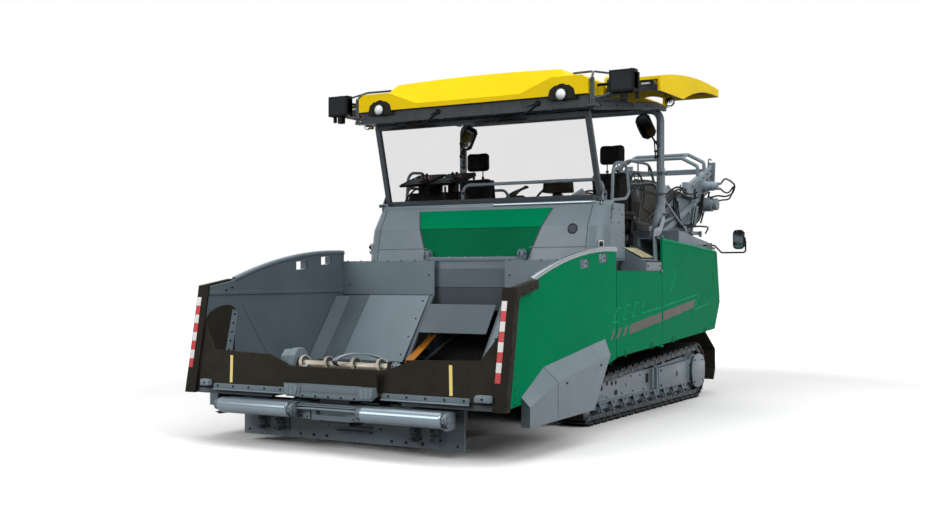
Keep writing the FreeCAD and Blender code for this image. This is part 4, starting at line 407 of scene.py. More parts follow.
for side, sign in sides:
    # the rail on the wall is chrome outside and its inner faces plain grey as painted shade; the wall is green
    # outside and the darker hopper grey inside as painted shade
    onRail = lambda c, n: (c.x * sign > 1.5655 or abs(n.x) < 0.97 and c.z > 1.41
        and (n.z > -0.3 or abs(n.y) > 0.9)) and c.y > 0.52 - originStation
    paintNode(side + "_hopper_wall", ("railChrome", lambda c, n: onRail(c, n) and c.x * sign > 1.552),
        ("frameGrey", lambda c, n: onRail(c, n)), ("bodyGreen", lambda c, n: n.x * sign > 0.5 or c.x * sign > 1.56),
        ("hopperShadeGrey", None))
    # the tub gets the darker hopper grey as painted shade
    paintNode(side + "_hopper_tub", ("panelGrey", lambda c, n: c.z < 0.46 or n.z < -0.5),
        ("frameGrey", lambda c, n: c.z > 1.28 and c.y > 2.2 - originStation), ("hopperShadeGrey", None))
    paintNode(side + "_hopper_apron", ("wallRubber", None))
    paintNode(side + "_side_panel", ("bodyGreen", lambda c, n: c.x * sign > 1.53), ("panelGrey", None))
# the bulkhead gets the darker hopper grey below its top as painted shade
paintNode("front_bulkhead", ("frameGrey", lambda c, n: c.z > 1.35), ("hopperShadeGrey", None))
paintNode("front_box", ("frameGrey", lambda c, n: c.y < -4.24 + 0.17 and c.z < 0.56 and n.y < 0.5),
    ("wallRubber", None))
paintNode("deck", ("deckPlate", lambda c, n: n.z > 0.9 and c.z < 1.48), ("frameGrey", lambda c, n: c.z > 1.5),
    ("panelGrey", None))
paintNode("roof_flaps", ("roofDark", lambda c, n: n.z < -0.3), ("roofYellow", None))
print("frame painted")

# hopper: tape, marks, bolted bars and strips on the two halves
tape = {"low": 0.638, "high": 1.262, "blocks": 8, "width": 0.047, "thick": 0.0016,
    "from": {"left": 1.508, "right": -1.617}}
guardFoot, guardHead = -0.02, 0.154
guardLow, guardHigh = 0.42, 1.365


# station of the raked front plane of the hopper at a height
def rakeLine(height, behind=0.0):
    return guardFoot + behind + (height - guardLow) * (guardHead - guardFoot) / (guardHigh - guardLow)

for side, sign in sides:
    piece = Piece(side + "_guard_tape", side + "_hopper_half", "rubber_black")
    start = tape["from"][side]
    step = (tape["high"] - tape["low"]) / tape["blocks"]
    for k in range(tape["blocks"]):
        piece.paint("tapeRed" if k % 2 == 0 else "tapeWhite")
        low = tape["low"] + k * step
        high = low + step - 0.0012
        outline = spots((start, rakeLine(low), low), (start + tape["width"], rakeLine(low), low),
            (start + tape["width"], rakeLine(high), high), (start, rakeLine(high), high))
        piece.plate(outline, (0, -tape["thick"], 0), 0.0004)
    piece.done()

guardBolts = {"size": 0.011, "heights": (0.5, 0.78, 1.06, 1.24)}

for side, sign in sides:
    piece = Piece(side + "_guard_bolts", side + "_hopper_half", "rubber_black").paint("boltDark")
    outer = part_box(side + "_edge_guard")[1 if sign > 0 else 0].x
    for height in guardBolts["heights"]:
        piece.bolt(spot(outer, rakeLine(height, 0.045), height), (sign, 0, 0), guardBolts["size"])
        piece.bolt(spot(sign * 1.503, rakeLine(height, 0.0115), height), (-sign, 0, 0), 0.006)
    for station, height in ((0.5, 1.375), (0.42, 1.352), (0.3, 1.318)):
        piece.bolt(spot(outer, station, height), (sign, 0, 0), guardBolts["size"])
        piece.bolt(spot(sign * 1.535, station, height - 0.03), (-sign, 0, 0), guardBolts["size"])
    # folded steel strip that clamps the guard's leg along the wall
    piece.paint("guardBlack")
    for height in (0.46, 0.86, 1.27):
        piece.plate(onSide(outer, (rakeLine(height, 0.012), height), (rakeLine(height, 0.062), height),
            (rakeLine(height + 0.05, 0.062), height + 0.05), (rakeLine(height + 0.05, 0.012), height + 0.05)),
            (sign * 0.004, 0, 0), 0.001)
    piece.done()

apronMarks = {"place": 1.12, "width": 0.03, "low": 0.523, "high": 0.757}
apronBar = {"inner": 0.48, "outer": 1.3, "low": 0.472, "high": 0.512, "thick": 0.018, "bolts": 5}
apronShoe = {"left": (1.357, 1.5), "right": (1.325, 1.425), "low": 0.488, "high": 0.545}
markLean = -0.03

for side, sign in sides:
    mark = Piece(side + "_apron_mark", side + "_hopper_half", "rubber_black").paint("markYellow")
    a, b = (sign * (apronMarks["place"] + shift * apronMarks["width"] / 2) for shift in (-1, 1))
    low, high = apronMarks["low"], apronMarks["high"]
    mark.plate(spots((a, rakeLine(low, 0.024), low), (b, rakeLine(low, 0.024), low),
        (b + markLean, rakeLine(high, 0.024), high), (a + markLean, rakeLine(high, 0.024), high)), (0, -0.002, 0),
        0.0005)
    mark.done()
    bar = Piece(side + "_apron_bar", side + "_hopper_half", "paint_grey").paint("frameGrey")
    inner, outer = sign * apronBar["inner"], sign * apronBar["outer"]
    low, high, thick = apronBar["low"], apronBar["high"], apronBar["thick"]
    face = rakeLine(low, 0.024)
    ring = onFront(face, (inner, low), (outer, low), (outer, high - 0.012), (outer - sign * 0.012, high),
        (inner + sign * 0.012, high), (inner, high - 0.012))
    bar.plate(ring, (0, -thick, 0), 0.002)
    # lower lip bends forward under the bar
    bar.plate(onSide(inner, (face - thick, low), (face - thick - 0.016, low - 0.012),
        (face - thick - 0.012, low - 0.018), (face - thick + 0.004, low - 0.006)), (outer - inner, 0, 0), 0.001)
    bar.paint("boltDark")
    middle = (low + high) / 2
    bar.bolts(spread(spot(inner + sign * 0.07, face - thick, middle),
        spot(outer - sign * 0.05, face - thick, middle), apronBar["bolts"]), (0, -1, 0), 0.01)
    # cast end shoe beside the guard, in the lighter grey as painted light
    inner, outer = (sign * edge for edge in apronShoe[side])
    low, high = apronShoe["low"], apronShoe["high"]
    bar.paint("litGrey")
    bar.plate(onFront(face - 0.004, (inner, low), (outer, low), (outer, high), (inner + sign * 0.015, high),
        (inner, high - 0.018)), (0, -0.05, 0), 0.006, steps=2)
    bar.paint("boltDark").bolt(spot((inner + outer) / 2, face - 0.054, (low + high) / 2), (0, -1, 0), 0.01)
    bar.done()

# rubber patch with an arched top inside the wall, and the bolted strip over its rear edge
patch = {"thick": 0.005, "outline": ((0.105, 0.7), (0.47, 0.7), (0.545, 1.1), (0.515, 1.16), (0.45, 1.186),
    (0.36, 1.184), (0.27, 1.162), (0.19, 1.122), (0.135, 1.06), (0.108, 0.96))}
linerStrip = {"outline": ((0.37, 0.735), (0.468, 0.735), (0.545, 1.12), (0.475, 1.15)), "bolts": 5, "thick": 0.008}

for side, sign in sides:
    piece = Piece(side + "_liner_strip", side + "_hopper_half", "rubber_black").paint("wallRubber")
    face = sign * 1.519
    piece.plate([spot(face, station, height) for station, height in patch["outline"]],
        (-sign * patch["thick"], 0, 0), 0.002)
    piece.paint("frameGrey")
    face -= sign * patch["thick"]
    piece.plate([spot(face, station, height) for station, height in linerStrip["outline"]],
        (-sign * linerStrip["thick"], 0, 0), 0.002)
    piece.paint("boltDark")
    inner = face - sign * linerStrip["thick"]
    piece.bolts(spread(spot(inner, 0.425, 0.775), spot(inner, 0.503, 1.1), linerStrip["bolts"]), (-sign, 0, 0), 0.01)
    # weld beads and a stiffening crease on the inside of the wall, in the darker hopper grey as painted shade
    piece.paint("hopperShadeGrey")
    piece.tube(onSide(sign * 1.533, (0.75, 1.283), (1.5, 1.283), (2.18, 1.283)), 0.005, 6)
    piece.plate(onSide(sign * 1.535, (0.62, 1.2), (0.64, 1.2), (1.05, 0.66), (1.03, 0.66)), (-sign * 0.003, 0, 0),
        0.001)
    piece.done()

tubSeams = {"bead": 0.006, "plate": 0.006}

for side, sign in sides:
    # weld beads in the darker hopper grey as painted shade inside the hopper
    piece = Piece(side + "_hopper_welds", side + "_hopper_half", "paint_grey").paint("hopperShadeGrey")
    foot, top = (1.69, 0.6), (2.208, 1.262)
    corner = 1.533
    bead = tubSeams["bead"]
    piece.tube([spot(sign * corner, *foot), spot(sign * corner, *top)], bead, 6)
    piece.tube(onFront(1.694, (0.55, 0.598), (1.05, 0.604), (corner, 0.612), sign=sign), bead, 6)
    piece.tube(onFront(2.206, (0.42, 1.262), (1.0, 1.262), (corner, 1.262), sign=sign), bead, 6)
    # wear plate welded to the rear slope, lighter than the rest
    along = Vector((0, top[0] - foot[0], top[1] - foot[1]))
    lift = Vector((0, -along.z, along.y)).normalized() * tubSeams["plate"]
    piece.paint("frameGrey")
    for inner, outer, low, high in ((0.44, 1.17, 0.02, 0.985),):
        a, b = Vector(spot(0, *foot)) + along * low, Vector(spot(0, *foot)) + along * high
        ring = [a + Vector((sign * inner, 0, 0)), a + Vector((sign * outer, 0, 0)),
                b + Vector((sign * outer, 0, 0)), b + Vector((sign * inner, 0, 0))]
        piece.plate(ring, lift, 0.002)
    piece.paint("boltDark")
    lower = Vector(spot(sign * 0.49, *foot)) + along * 0.12 + lift
    upper = Vector(spot(sign * 0.49, *foot)) + along * 0.9 + lift
    piece.bolts(spread(lower, upper, 4), lift, 0.009)
    # bolts along the ledge above the band
    piece.bolts(spread(spot(sign * 0.46, 2.22, 1.606), spot(sign * 1.47, 2.22, 1.606), 7), (0, 0, 1), 0.008)
    piece.bolt(spot(sign * 0.46, 2.219, 1.46), (0, -1, 0), 0.008)
    piece.bolt(spot(sign * 1.44, 2.219, 1.36), (0, -1, 0), 0.008)
    piece.done()

# orange strip along the edge of the right half's slope
scraper = {"x": (-0.322, -0.406), "ends": ((1.725, 0.628), (2.14, 0.852)), "thick": 0.012}

piece = Piece("slope_scraper", "right_hopper_half", "paint_grey").paint("latchOrange")
inner, outer = scraper["x"]
(y1, z1), (y2, z2) = scraper["ends"]
piece.plate(spots((inner, y1, z1), (outer, y1 - 0.02, z1), (outer, y2, z2), (inner, y2, z2)),
    (0, -0.004, scraper["thick"]), 0.002)
piece.plate(onSide(outer, (y1 - 0.02, z1 - 0.028), (y2, z2 - 0.06), (y2, z2), (y1 - 0.02, z1)), (-0.01, 0, 0), 0.002)
piece.paint("boltDark")
middle = (inner + outer) / 2
piece.bolts(spread(spot(middle, y1 + 0.03, z1 + 0.026), spot(middle, y2 - 0.03, z2), 3), (0, -0.45, 0.89), 0.009)
piece.done()

# slots on the green outside of the walls, drawn as dark plates as painted shade in the openings, and the skirt's bolt
# heads and seams
wallSlots = {"station": 0.245, "heights": (0.672, 0.572, 0.512, 0.456)}
skirtBolts = ((1.00, 0.569), (1.695, 0.67))

for side, sign in sides:
    piece = Piece(side + "_wall_slots", side + "_hopper_half", "paint_green").paint("shadeGreen")
    face = sign * 1.565
    for k, height in enumerate(wallSlots["heights"]):
        place = Vector(spot(face, wallSlots["station"], height))
        ring = [place + Vector((0, math.cos(t) * (0.016 if k else 0.024), math.sin(t) * (0.008 if k else 0.005)))
                for t in (2 * math.pi * j / 14 for j in range(14))]
        piece.paint("boltDark").plate(ring, (sign * 0.003, 0, 0), 0.0008)
    # hemmed lower edge and the crease below the rail
    piece.paint("bodyGreen")
    piece.tube(onSide(face, (0.1, 0.432), (1.0, 0.506), (1.78, 0.6)), 0.006, 6)
    piece.done()
    skirt = Piece(side + "_skirt_trim", side + "_hopper_half", "paint_grey").paint("boltDark")
    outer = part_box(side + "_skirt")[1 if sign > 0 else 0].x
    for station, height in skirtBolts:
        skirt.bolt(spot(outer, station, height), (sign, 0, 0), 0.011)
    # thin upright seam on the flat side and its run up over the sloping facet
    skirt.paint("panelGrey")
    skirt.bar(spot(outer, 0.83, 0.3), spot(outer, 0.83, 0.588), 0.004, 0.003, up=(1, 0, 0), edge=0.0005)
    skirt.bar(spot(outer - sign * 0.001, 0.829, 0.592), spot(face + sign * 0.002, 0.74, 0.712), 0.004, 0.004,
        up=(1, 0, 0), edge=0.0005)
    # stays that hold the skirt to the wall, seen from below
    skirt.paint("frameGrey")
    for station in (0.52, 1.05, 1.52):
        skirt.plate(onFront(station, (face, 0.36), (outer - sign * 0.01, 0.33), (outer - sign * 0.01, 0.4),
            (face, 0.55)), (0, 0.01, 0), 0.002)
    skirt.done()

print("hopper dressed")

# grey tab that half closes each square hole under the rail
wallWindow = {"places": ((1.533, 1.56), (1.937, 1.612)), "half": 0.084, "face": 1.556}

for side, sign in sides:
    piece = Piece(side + "_window_tabs", side + "_hopper_half", "paint_grey").paint("frameGrey")
    half, face = wallWindow["half"], sign * wallWindow["face"]
    for station, height in wallWindow["places"]:
        piece.plate(onSide(face, (station, height - 0.038), (station + half + 0.004, height - 0.034),
            (station + half + 0.004, height + 0.044), (station, height + 0.036)), (sign * -0.006, 0, 0), 0.001)
        piece.paint("boltDark").bolt(spot(face, station + 0.045, height), (sign, 0, 0), 0.008)
        piece.paint("frameGrey")
    piece.done()



# front centre: auger, bearing housings, flap, push plate and push rollers
auger = {"shaft": 0.033, "collars": (-0.425, -0.166, 0.111, 0.368), "collarSize": 0.066, "ribbonReach": 0.112,
    "ribbonWide": 0.052}

piece = Piece("auger_screw", "auger", "wear_steel").paint("augerSteel")
low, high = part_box("feed_auger")
middle = Vector((0, (low.y + high.y) / 2, 0.7))
half = high.x
shaft = auger["shaft"]
turned = [(0, shaft * 0.6), (0.004, shaft * 0.72), (0.03, shaft * 0.72), (0.03, shaft), (half * 2 - 0.03, shaft),
    (half * 2 - 0.03, shaft * 0.72), (half * 2 - 0.004, shaft * 0.72), (half * 2, shaft * 0.6)]
piece.lathe(middle + Vector((-half, 0, 0)), (1, 0, 0), turned, 24)
# each collar is a short turn of flight with a bright rim round a dark web
for k, x in enumerate(auger["collars"]):
    place = middle + Vector((x, 0, 0))
    lean = Vector((1, 0, 0.35 if k % 2 else 0.3)).normalized()
    piece.paint("augerSteel").ring(place - lean * 0.013, lean, auger["collarSize"], auger["collarSize"] + 0.013,
        0.026, 28)
    piece.paint("castMetal").ring(place - lean * 0.004, lean, shaft * 0.9, auger["collarSize"] + 0.003, 0.008, 28)
    piece.paint("augerSteel").lathe(place - lean * 0.03, (1, 0, 0),
        [(0, shaft * 1.05), (0.008, shaft * 1.35), (0.052, shaft * 1.35), (0.06, shaft * 1.05)], 20)
# the two broad ribbons wind half a turn each, one left and one right, in the lighter grey as painted light
piece.paint("litGrey")
reach, wide = auger["ribbonReach"], auger["ribbonWide"]
for start, run, phase in ((-0.07, 0.42, 0.0), (-0.09, -0.3, math.pi)):
    rings = []
    for k in range(25):
        share = k / 24
        turn = phase + math.pi * (0.02 + 1.0 * share)
        out = Vector((0, -math.cos(turn), math.sin(turn)))
        grow = reach if 0.12 < share < 0.88 else shaft + (reach - shaft) * min(share, 1 - share) / 0.12
        centre = middle + Vector((start + run * (0.5 - 0.5 * math.cos(math.pi * share)), 0, 0)) + out * (grow - 0.006)
        flat = Vector((1, 0, 0))
        rings.append([centre + flat * wide / 2 + out * 0.006, centre - flat * wide / 2 + out * 0.006,
            centre - flat * wide / 2 - out * 0.006, centre + flat * wide / 2 - out * 0.006])
    piece.loft(rings, 0.0015)
piece.paint("boltDark")
for x in auger["collars"]:
    piece.bolt(middle + Vector((x + 0.02, -shaft * 1.3, 0)), (0, -1, 0), 0.007)
piece.done(["feed_auger"])

housing = {"left": {"radius": 0.062, "thick": 0.03, "rise": 0.0},
    "right": {"radius": 0.108, "thick": 0.15, "rise": 0.036}}

piece = Piece("auger_housings", "chassis", "paint_grey")
for side, sign in sides:
    look = housing[side]
    centre = Vector(spot(0, 0.19, 0.7 + look["rise"]))
    face = centre + Vector((sign * 0.479, 0, 0))
    radius, thick = look["radius"], look["thick"]
    piece.paint("frameGrey")
    piece.lathe(face, (sign, 0, 0), [(0, radius * 0.92), (0.006, radius), (thick * 0.4, radius),
        (thick * 0.45, radius * 0.86), (thick, radius * 0.86), (thick + 0.008, radius * 0.78)], 8, spin=math.pi / 8)
    piece.lathe(face + Vector((sign * thick, 0, 0)), (sign, 0, 0),
        [(0, radius * 0.6), (0.02, radius * 0.6), (0.03, radius * 0.5), (0.034, radius * 0.3)], 24)
    piece.lathe(spot(sign * 0.4455, 0.19, 0.7), (-sign, 0, 0), [(0, 0.05), (0.004, 0.052), (0.006, 0.044)], 24)
    piece.paint("boltDark")
    for k in range(8):
        turn = 2 * math.pi * k / 8 + math.pi / 8
        place = face + Vector((sign * thick * 0.4, math.cos(turn) * radius * 0.93, math.sin(turn) * radius * 0.93))
        piece.bolt(place, (sign, 0, 0), 0.006)
    piece.paint("hoseRubber")
    for shift in (0.0, 0.035):
        piece.tube([face + Vector((sign * thick * 0.7, 0.03 + shift, -radius * 0.5)),
            face + Vector((sign * thick * 0.7, 0.07 + shift, -radius - 0.04)),
            face + Vector((0, 0.2, -radius - 0.09 - shift))], 0.009, 8, bend=0.04)
piece.done()

lipBolts = {"heights": 0.462, "count": 5, "size": 0.01}

piece = Piece("front_flap_trim", "chassis", "paint_grey").paint("frameGrey")
front = spot(0, -0.062, 0).y
# ribbed face plate over the lip, bolted along its foot
piece.plate([(-0.295, front, 0.452), (0.295, front, 0.452), (0.295, front, 0.476), (-0.295, front, 0.476)],
    (0, -0.006, 0), 0.0015)
piece.plate([(-0.285, front, 0.498), (0.285, front, 0.498), (0.285, front, 0.535), (-0.285, front, 0.535)],
    (0, -0.004, 0), 0.0015)
piece.paint("boltDark")
piece.bolts(spread((-0.262, front - 0.006, lipBolts["heights"]), (0.262, front - 0.006, lipBolts["heights"]),
    lipBolts["count"]), (0, -1, 0), lipBolts["size"])
# flap: folded top edge and clamp strip behind it
piece.paint("wallRubber")
piece.tube(onFront(-0.03, (-0.458, 0.69), (0.458, 0.69)), 0.011, 10)
# shoes: raised pads in the lighter grey as painted light, with two cross lines
for sign in (1, -1):
    shoe = spot(0, -0.07, 0).y
    piece.paint("litGrey")
    piece.plate([(sign * 0.33, shoe, 0.462), (sign * 0.42, shoe, 0.462), (sign * 0.448, shoe, 0.486),
        (sign * 0.448, shoe, 0.548), (sign * 0.335, shoe, 0.548), (sign * 0.31, shoe, 0.53)], (0, -0.007, 0), 0.003)
    piece.paint("panelGrey")
    for x in (0.36, 0.405):
        piece.bar((sign * x, shoe - 0.007, 0.466), (sign * x, shoe - 0.007, 0.545), 0.003, 0.003, up=(0, 1, 0),
            edge=0.0005)
piece.done()

piece = Piece("push_plate_fittings", "chassis", "paint_grey").paint("boltDark")
face = spot(0, 0.21, 0).y
size = 0.013
for group in ((-0.5, -0.36, -0.22), (0.58, 0.44, 0.74)):
    for x in group:
        piece.bolt((x, face, 0.098), (0, -1, 0), size)
for x, z in ((-1.07, 0.1), (1.07, 0.1), (-1.07, 0.34), (1.07, 0.34), (-0.2, 0.19), (0.33, 0.19), (-0.35, 0.335),
        (0.35, 0.335)):
    piece.bolt((x, face, z), (0, -1, 0), size * 0.85)
# bent-round handle bar in the middle
piece.paint("frameGrey")
piece.tube([(-0.1, face + 0.004, 0.155), (-0.1, face - 0.035, 0.155), (0.24, face - 0.035, 0.155),
    (0.24, face + 0.004, 0.155)], 0.009, 10, bend=0.03)
piece.tube([(-0.1, face + 0.004, 0.192), (-0.1, face - 0.035, 0.192), (0.24, face - 0.035, 0.192),
    (0.24, face + 0.004, 0.192)], 0.007, 10, bend=0.03)
# cross stiffener and folded foot behind the plate
back = spot(0, 0.23, 0).y
piece.plate([(-1.12, back, 0.064), (1.12, back, 0.064), (1.12, back + 0.06, 0.07), (-1.12, back + 0.06, 0.07)],
    (0, 0, 0.01), 0.002)
for x in (-1.0, -0.62, -0.3, 0.3, 0.62, 1.0):
    piece.plate([(x, back, 0.075), (x, back + 0.055, 0.08), (x, back + 0.012, 0.3), (x, back, 0.32)], (0.01, 0, 0),
        0.002)
# hook pins with split clips
for sign in (1, -1):
    for x in (0.69, 0.88):
        hook = sign * x
        piece.paint("castMetal")
        piece.rod((hook - 0.034, face - 0.052, 0.178), (hook + 0.034, face - 0.052, 0.178), 0.01, 12)
        piece.rod((hook - 0.024, face - 0.088, 0.137), (hook + 0.024, face - 0.088, 0.137), 0.012, 12)
        piece.plate([(hook - 0.022, face - 0.014, 0.245), (hook - 0.022, face - 0.06, 0.245),
            (hook - 0.022, face - 0.014, 0.285)], (0.044, 0, 0), 0.003)
        piece.paint("boltDark")
        piece.bolt((hook - 0.042, face - 0.014, 0.142), (0, -1, 0), 0.01)
        piece.bolt((hook + 0.042, face - 0.014, 0.142), (0, -1, 0), 0.01)
    for x in (0.64, 0.785, 0.93):
        piece.bolt((sign * x, face - 0.014, 0.232), (0, -1, 0), 0.009)
piece.done()



piece = Piece("push_beam_fittings", "rocker_beam", "paint_grey").paint("frameGrey")
front = spot(0, -0.03, 0).y
# link plates either side of the middle window, sloping down to the arms
for sign in (1, -1):
    piece.plate([(sign * 0.205, front, 0.268), (sign * 0.335, front + 0.018, 0.268),
        (sign * 0.335, front + 0.018, 0.325), (sign * 0.27, front + 0.012, 0.395), (sign * 0.205, front, 0.395)],
        (0, -0.014, 0), 0.003)
piece.plate([(-0.335, front + 0.004, 0.38), (0.335, front + 0.004, 0.38), (0.335, front - 0.03, 0.372),
    (-0.335, front - 0.03, 0.372)], (0, 0, 0.01), 0.002)
# bent tube in the lighter grey as painted light
piece.paint("litGrey")
piece.tube([(-0.36, front - 0.035, 0.352), (-0.2, front - 0.045, 0.358), (0.2, front - 0.045, 0.358),
    (0.36, front - 0.035, 0.352)], 0.01, 10, bend=0.05)
piece.paint("boltDark")
for x in (-0.3, -0.235, 0.235, 0.3):
    piece.bolt((x, front - 0.006, 0.288), (0, -1, 0), 0.009)
# end plates, grease nipples and pin keepers outside the roller arms
for sign in (1, -1):
    for x, out in ((0.34, -1), (1.155, 1)):
        place = spot(sign * x, -0.1, 0.345)
        piece.paint("frameGrey")
        piece.lathe(place, (sign * out, 0, 0), [(0, 0.044), (0.004, 0.046), (0.012, 0.046), (0.016, 0.041),
            (0.016, 0.026), (0.022, 0.024)], 20)
        piece.paint("boltDark")
        for k in range(4):
            turn = math.pi / 4 + k * math.pi / 2
            piece.bolt(place + Vector((sign * out * 0.014, math.cos(turn) * 0.034, math.sin(turn) * 0.034)),
                (sign * out, 0, 0), 0.006)
    piece.paint("frameGrey")
    piece.plate(onSide(sign * 1.131, (-0.145, 0.285), (-0.01, 0.285), (-0.01, 0.262), (-0.1, 0.262)),
        (sign * 0.024, 0, 0), 0.002)
piece.done()

for side, sign in sides:
    piece = Piece(side + "_roller_rims", side + "_roller", "roller_steel").paint("rollerGrey")
    for x, out in ((0.37, -1), (1.125, 1)):
        place = spot(sign * x, -0.1, 0.345)
        piece.ring(place, (sign * out, 0, 0), 0.04, 0.052, 0.003, 32)
        piece.paint("boltDark")
        for k in range(6):
            turn = k * math.pi / 3
            piece.bolt(place + Vector((0, math.cos(turn) * 0.046, math.sin(turn) * 0.046)), (sign * out, 0, 0),
                0.0035)
        piece.paint("rollerGrey")
    piece.done()

print("front dressed")

# body: tunnel panel, cowl seams, green panels' bars, latches, steps and the plates inside
tunnelPanel = {"half": 0.51, "low": 1.105, "high": 1.345,
    "bolts": ((-0.36, 1.14), (0.2, 1.14), (-0.46, 1.3), (0.46, 1.3))}
flange = {"half": 0.535, "low": 1.6, "high": 1.641, "front": 2.281, "back": 2.335}

# dark grey plate over the tunnel's mouth with bolts: it hides the gate post and the holes behind it, and its dark
# grey is partly painted shade of the recess
piece = Piece("tunnel_panel", "chassis", "paint_grey").paint("panelGrey")
half, low, high = tunnelPanel["half"], tunnelPanel["low"], tunnelPanel["high"]
piece.plate(pane(onFront, 2.29, -half, half, low, high), (0, -0.007, 0), 0.002)
piece.paint("boltDark")
for x, z in tunnelPanel["bolts"]:
    piece.bolt(spot(x, 2.283, z), (0, -1, 0), 0.009)
# fold below the upper plate, in the darker hopper grey as painted shade
piece.paint("hopperShadeGrey")
piece.plate(spots((-half, 2.283, high - 0.005), (half, 2.283, high - 0.005), (half, 2.286, high + 0.18),
    (-half, 2.286, high + 0.18)), (0, -0.004, 0), 0.001)
# closing plates beside the keel, over the tracks, in deep grey: a dark sheet as painted shade inside the hull
piece.paint("deepGrey")
for sign in (1, -1):
    piece.plate(onFront(2.345, (0.525, 0.32), (0.84, 0.32), (0.84, 0.49), (1.47, 0.62), (1.47, 1.4), (0.525, 1.4),
        sign=sign), (0, 0.01, 0), 0.002)
    piece.plate(spots((0.524, 2.36, 0.95), (0.524, 5.0, 0.95), (0.6, 5.0, 0.6), (0.6, 2.36, 0.6), sign=sign),
        (sign * 0.008, 0, 0), 0.002)
# stiffeners that cross the closing plates
piece.paint("panelGrey")
for sign in (1, -1):
    for z in (0.62, 0.9, 1.18):
        piece.bar(spot(sign * 0.53, 2.338, z), spot(sign * 1.46, 2.338, z + 0.02), 0.03, 0.014, up=(0, 1, 0))
piece.done()

top = Piece("bulkhead_flange", "chassis", "paint_grey").paint("frameGrey")
half, low, high, front, back = (flange[key] for key in ("half", "low", "high", "front", "back"))
top.plate(onSide(-half, (front, low), (front, high - 0.006), (front + 0.008, high), (back, high), (back, low)),
    (2 * half, 0, 0), 0.003, steps=2)
top.bolts(spread(spot(-half + 0.07, 2.305, high), spot(half - 0.07, 2.305, high), 6), (0, 0, 1), 0.009)
top.bolts(spread(spot(-half + 0.04, front, 1.62), spot(half - 0.04, front, 1.62), 3), (0, -1, 0), 0.006)
# round cheeks on both sides of each lifting lug
for sign in (1, -1):
    for face, out in ((0.555, 1), (0.525, -1)):
        place = spot(sign * face, 2.325, 1.66)
        top.ring(place, (sign * out, 0, 0), 0.0195, 0.056, 0.012, 28)
        top.ring(place + Vector((sign * out * 0.012, 0, 0)), (sign * out, 0, 0), 0.0195, 0.034, 0.005, 28)
    top.tube(onLevel(1.604, (0.518, 2.288), (0.518, 2.362), (0.562, 2.362), (0.562, 2.288), sign=sign), 0.006, 6,
        loop=True)
# ledge bolts on the outer thirds
for sign in (1, -1):
    top.paint("boltDark").bolts(spread(spot(sign * 0.62, 2.3, 1.602), spot(sign * 1.44, 2.3, 1.602), 6), (0, 0, 1),
        0.007)
top.done()

# cowl profile from its foot to the sill
cowlLine = ((2.36, 1.602), (2.4265, 1.935), (2.55, 2.138))
cowl = {"seam": 1.192, "seamWide": 0.005, "vent": (1.037, 1.905), "ventRadius": 0.052, "crease": 1.731}


def cowlStation(height):
    (y1, z1), (y2, z2), (y3, z3) = cowlLine
    if height < z2:
        return y1 + (y2 - y1) * (height - z1) / (z2 - z1)
    return y2 + (y3 - y2) * (height - z2) / (z3 - z2)

piece = Piece("cowl_trim", "chassis", "paint_grey")
wide = cowl["seamWide"]
for sign in (1, -1):
    x = cowl["seam"]
    piece.paint("deepGrey")
    for (y1, z1), (y2, z2) in zip(cowlLine, cowlLine[1:]):
        piece.bar(spot(sign * x, y1 - 0.0005, z1), spot(sign * x, y2 - 0.0005, z2), wide, 0.003, up=(0, -1, 0),
            edge=0.0005)
    # seam round the corner, and the cheek plate's front edge
    piece.bar(spot(sign * 1.3495, 2.53, 1.62), spot(sign * 1.3365, 2.66, 2.12), 0.003, wide, up=(0, 0, 1),
        edge=0.0005)
    # crease near the foot: a hemmed strip that runs from the panel to the corner
    piece.paint("frameGrey")
    crease = cowl["crease"]
    y = cowlStation(crease)
    arc = onLevel(crease, (0.585, y - 0.001), (1.19, y - 0.001), (1.272, y + 0.021), (1.33, y + 0.078),
        (1.349, y + 0.16), (1.35, 2.95), sign=sign)
    piece.tube(arc, 0.0045, 6)
    # edge strip beside the green panel
    piece.paint("panelGrey")
    edge = [(0.573, 1.602), (0.7, 1.935), (0.771, 2.118)]
    for (x1, z1), (x2, z2) in zip(edge, edge[1:]):
        piece.bar(spot(sign * x1, cowlStation(z1) - 0.001, z1), spot(sign * x2, cowlStation(z2) - 0.001, z2), 0.012,
            0.006, up=(0, -1, 0), edge=0.001)
# panel's step under its upper third, a bar in the darker green as painted shade under the step
piece.paint("shadeGreen")
piece.bar(spot(-0.695, 2.4255, 1.932), spot(0.695, 2.4255, 1.932), 0.006, 0.004, up=(0, -1, 0), edge=0.001)
piece.done()

vent = Piece("cowl_vent", "chassis", "black_plastic").paint("deepGrey")
x, z = cowl["vent"]
centre = spot(x, cowlStation(z), z)
out = Vector((0, -0.981, 0.195))
vent.ring(centre - out * 0.002, out, cowl["ventRadius"] - 0.008, cowl["ventRadius"], 0.008, 32)
vent.paint("boltDark").lathe(centre - out * 0.004, out,
    [(0, cowl["ventRadius"] - 0.009), (0.005, cowl["ventRadius"] - 0.009)], 32)
vent.paint("frameGrey")
along = Vector((0.35, 0.18, 0.92)).normalized()
across = out.cross(along).normalized()
along = across.cross(out).normalized()
for k in range(-4, 5):
    shift = k * 0.0095
    reach = math.sqrt(max(0.0001, (cowl["ventRadius"] - 0.01) ** 2 - shift ** 2))
    vent.bar(centre + across * shift - along * reach, centre + across * shift + along * reach, 0.004, 0.005, up=out,
        edge=0.001)
vent.done()

cheek = {"screws": ((2.68, 2.1), (2.62, 2.01), (2.63, 1.965), (2.8, 1.972), (2.82, 2.1), (2.64, 1.72), (2.9, 1.72),
    (2.9, 2.05), (2.92, 1.88)), "lamp": (2.475, 1.735)}

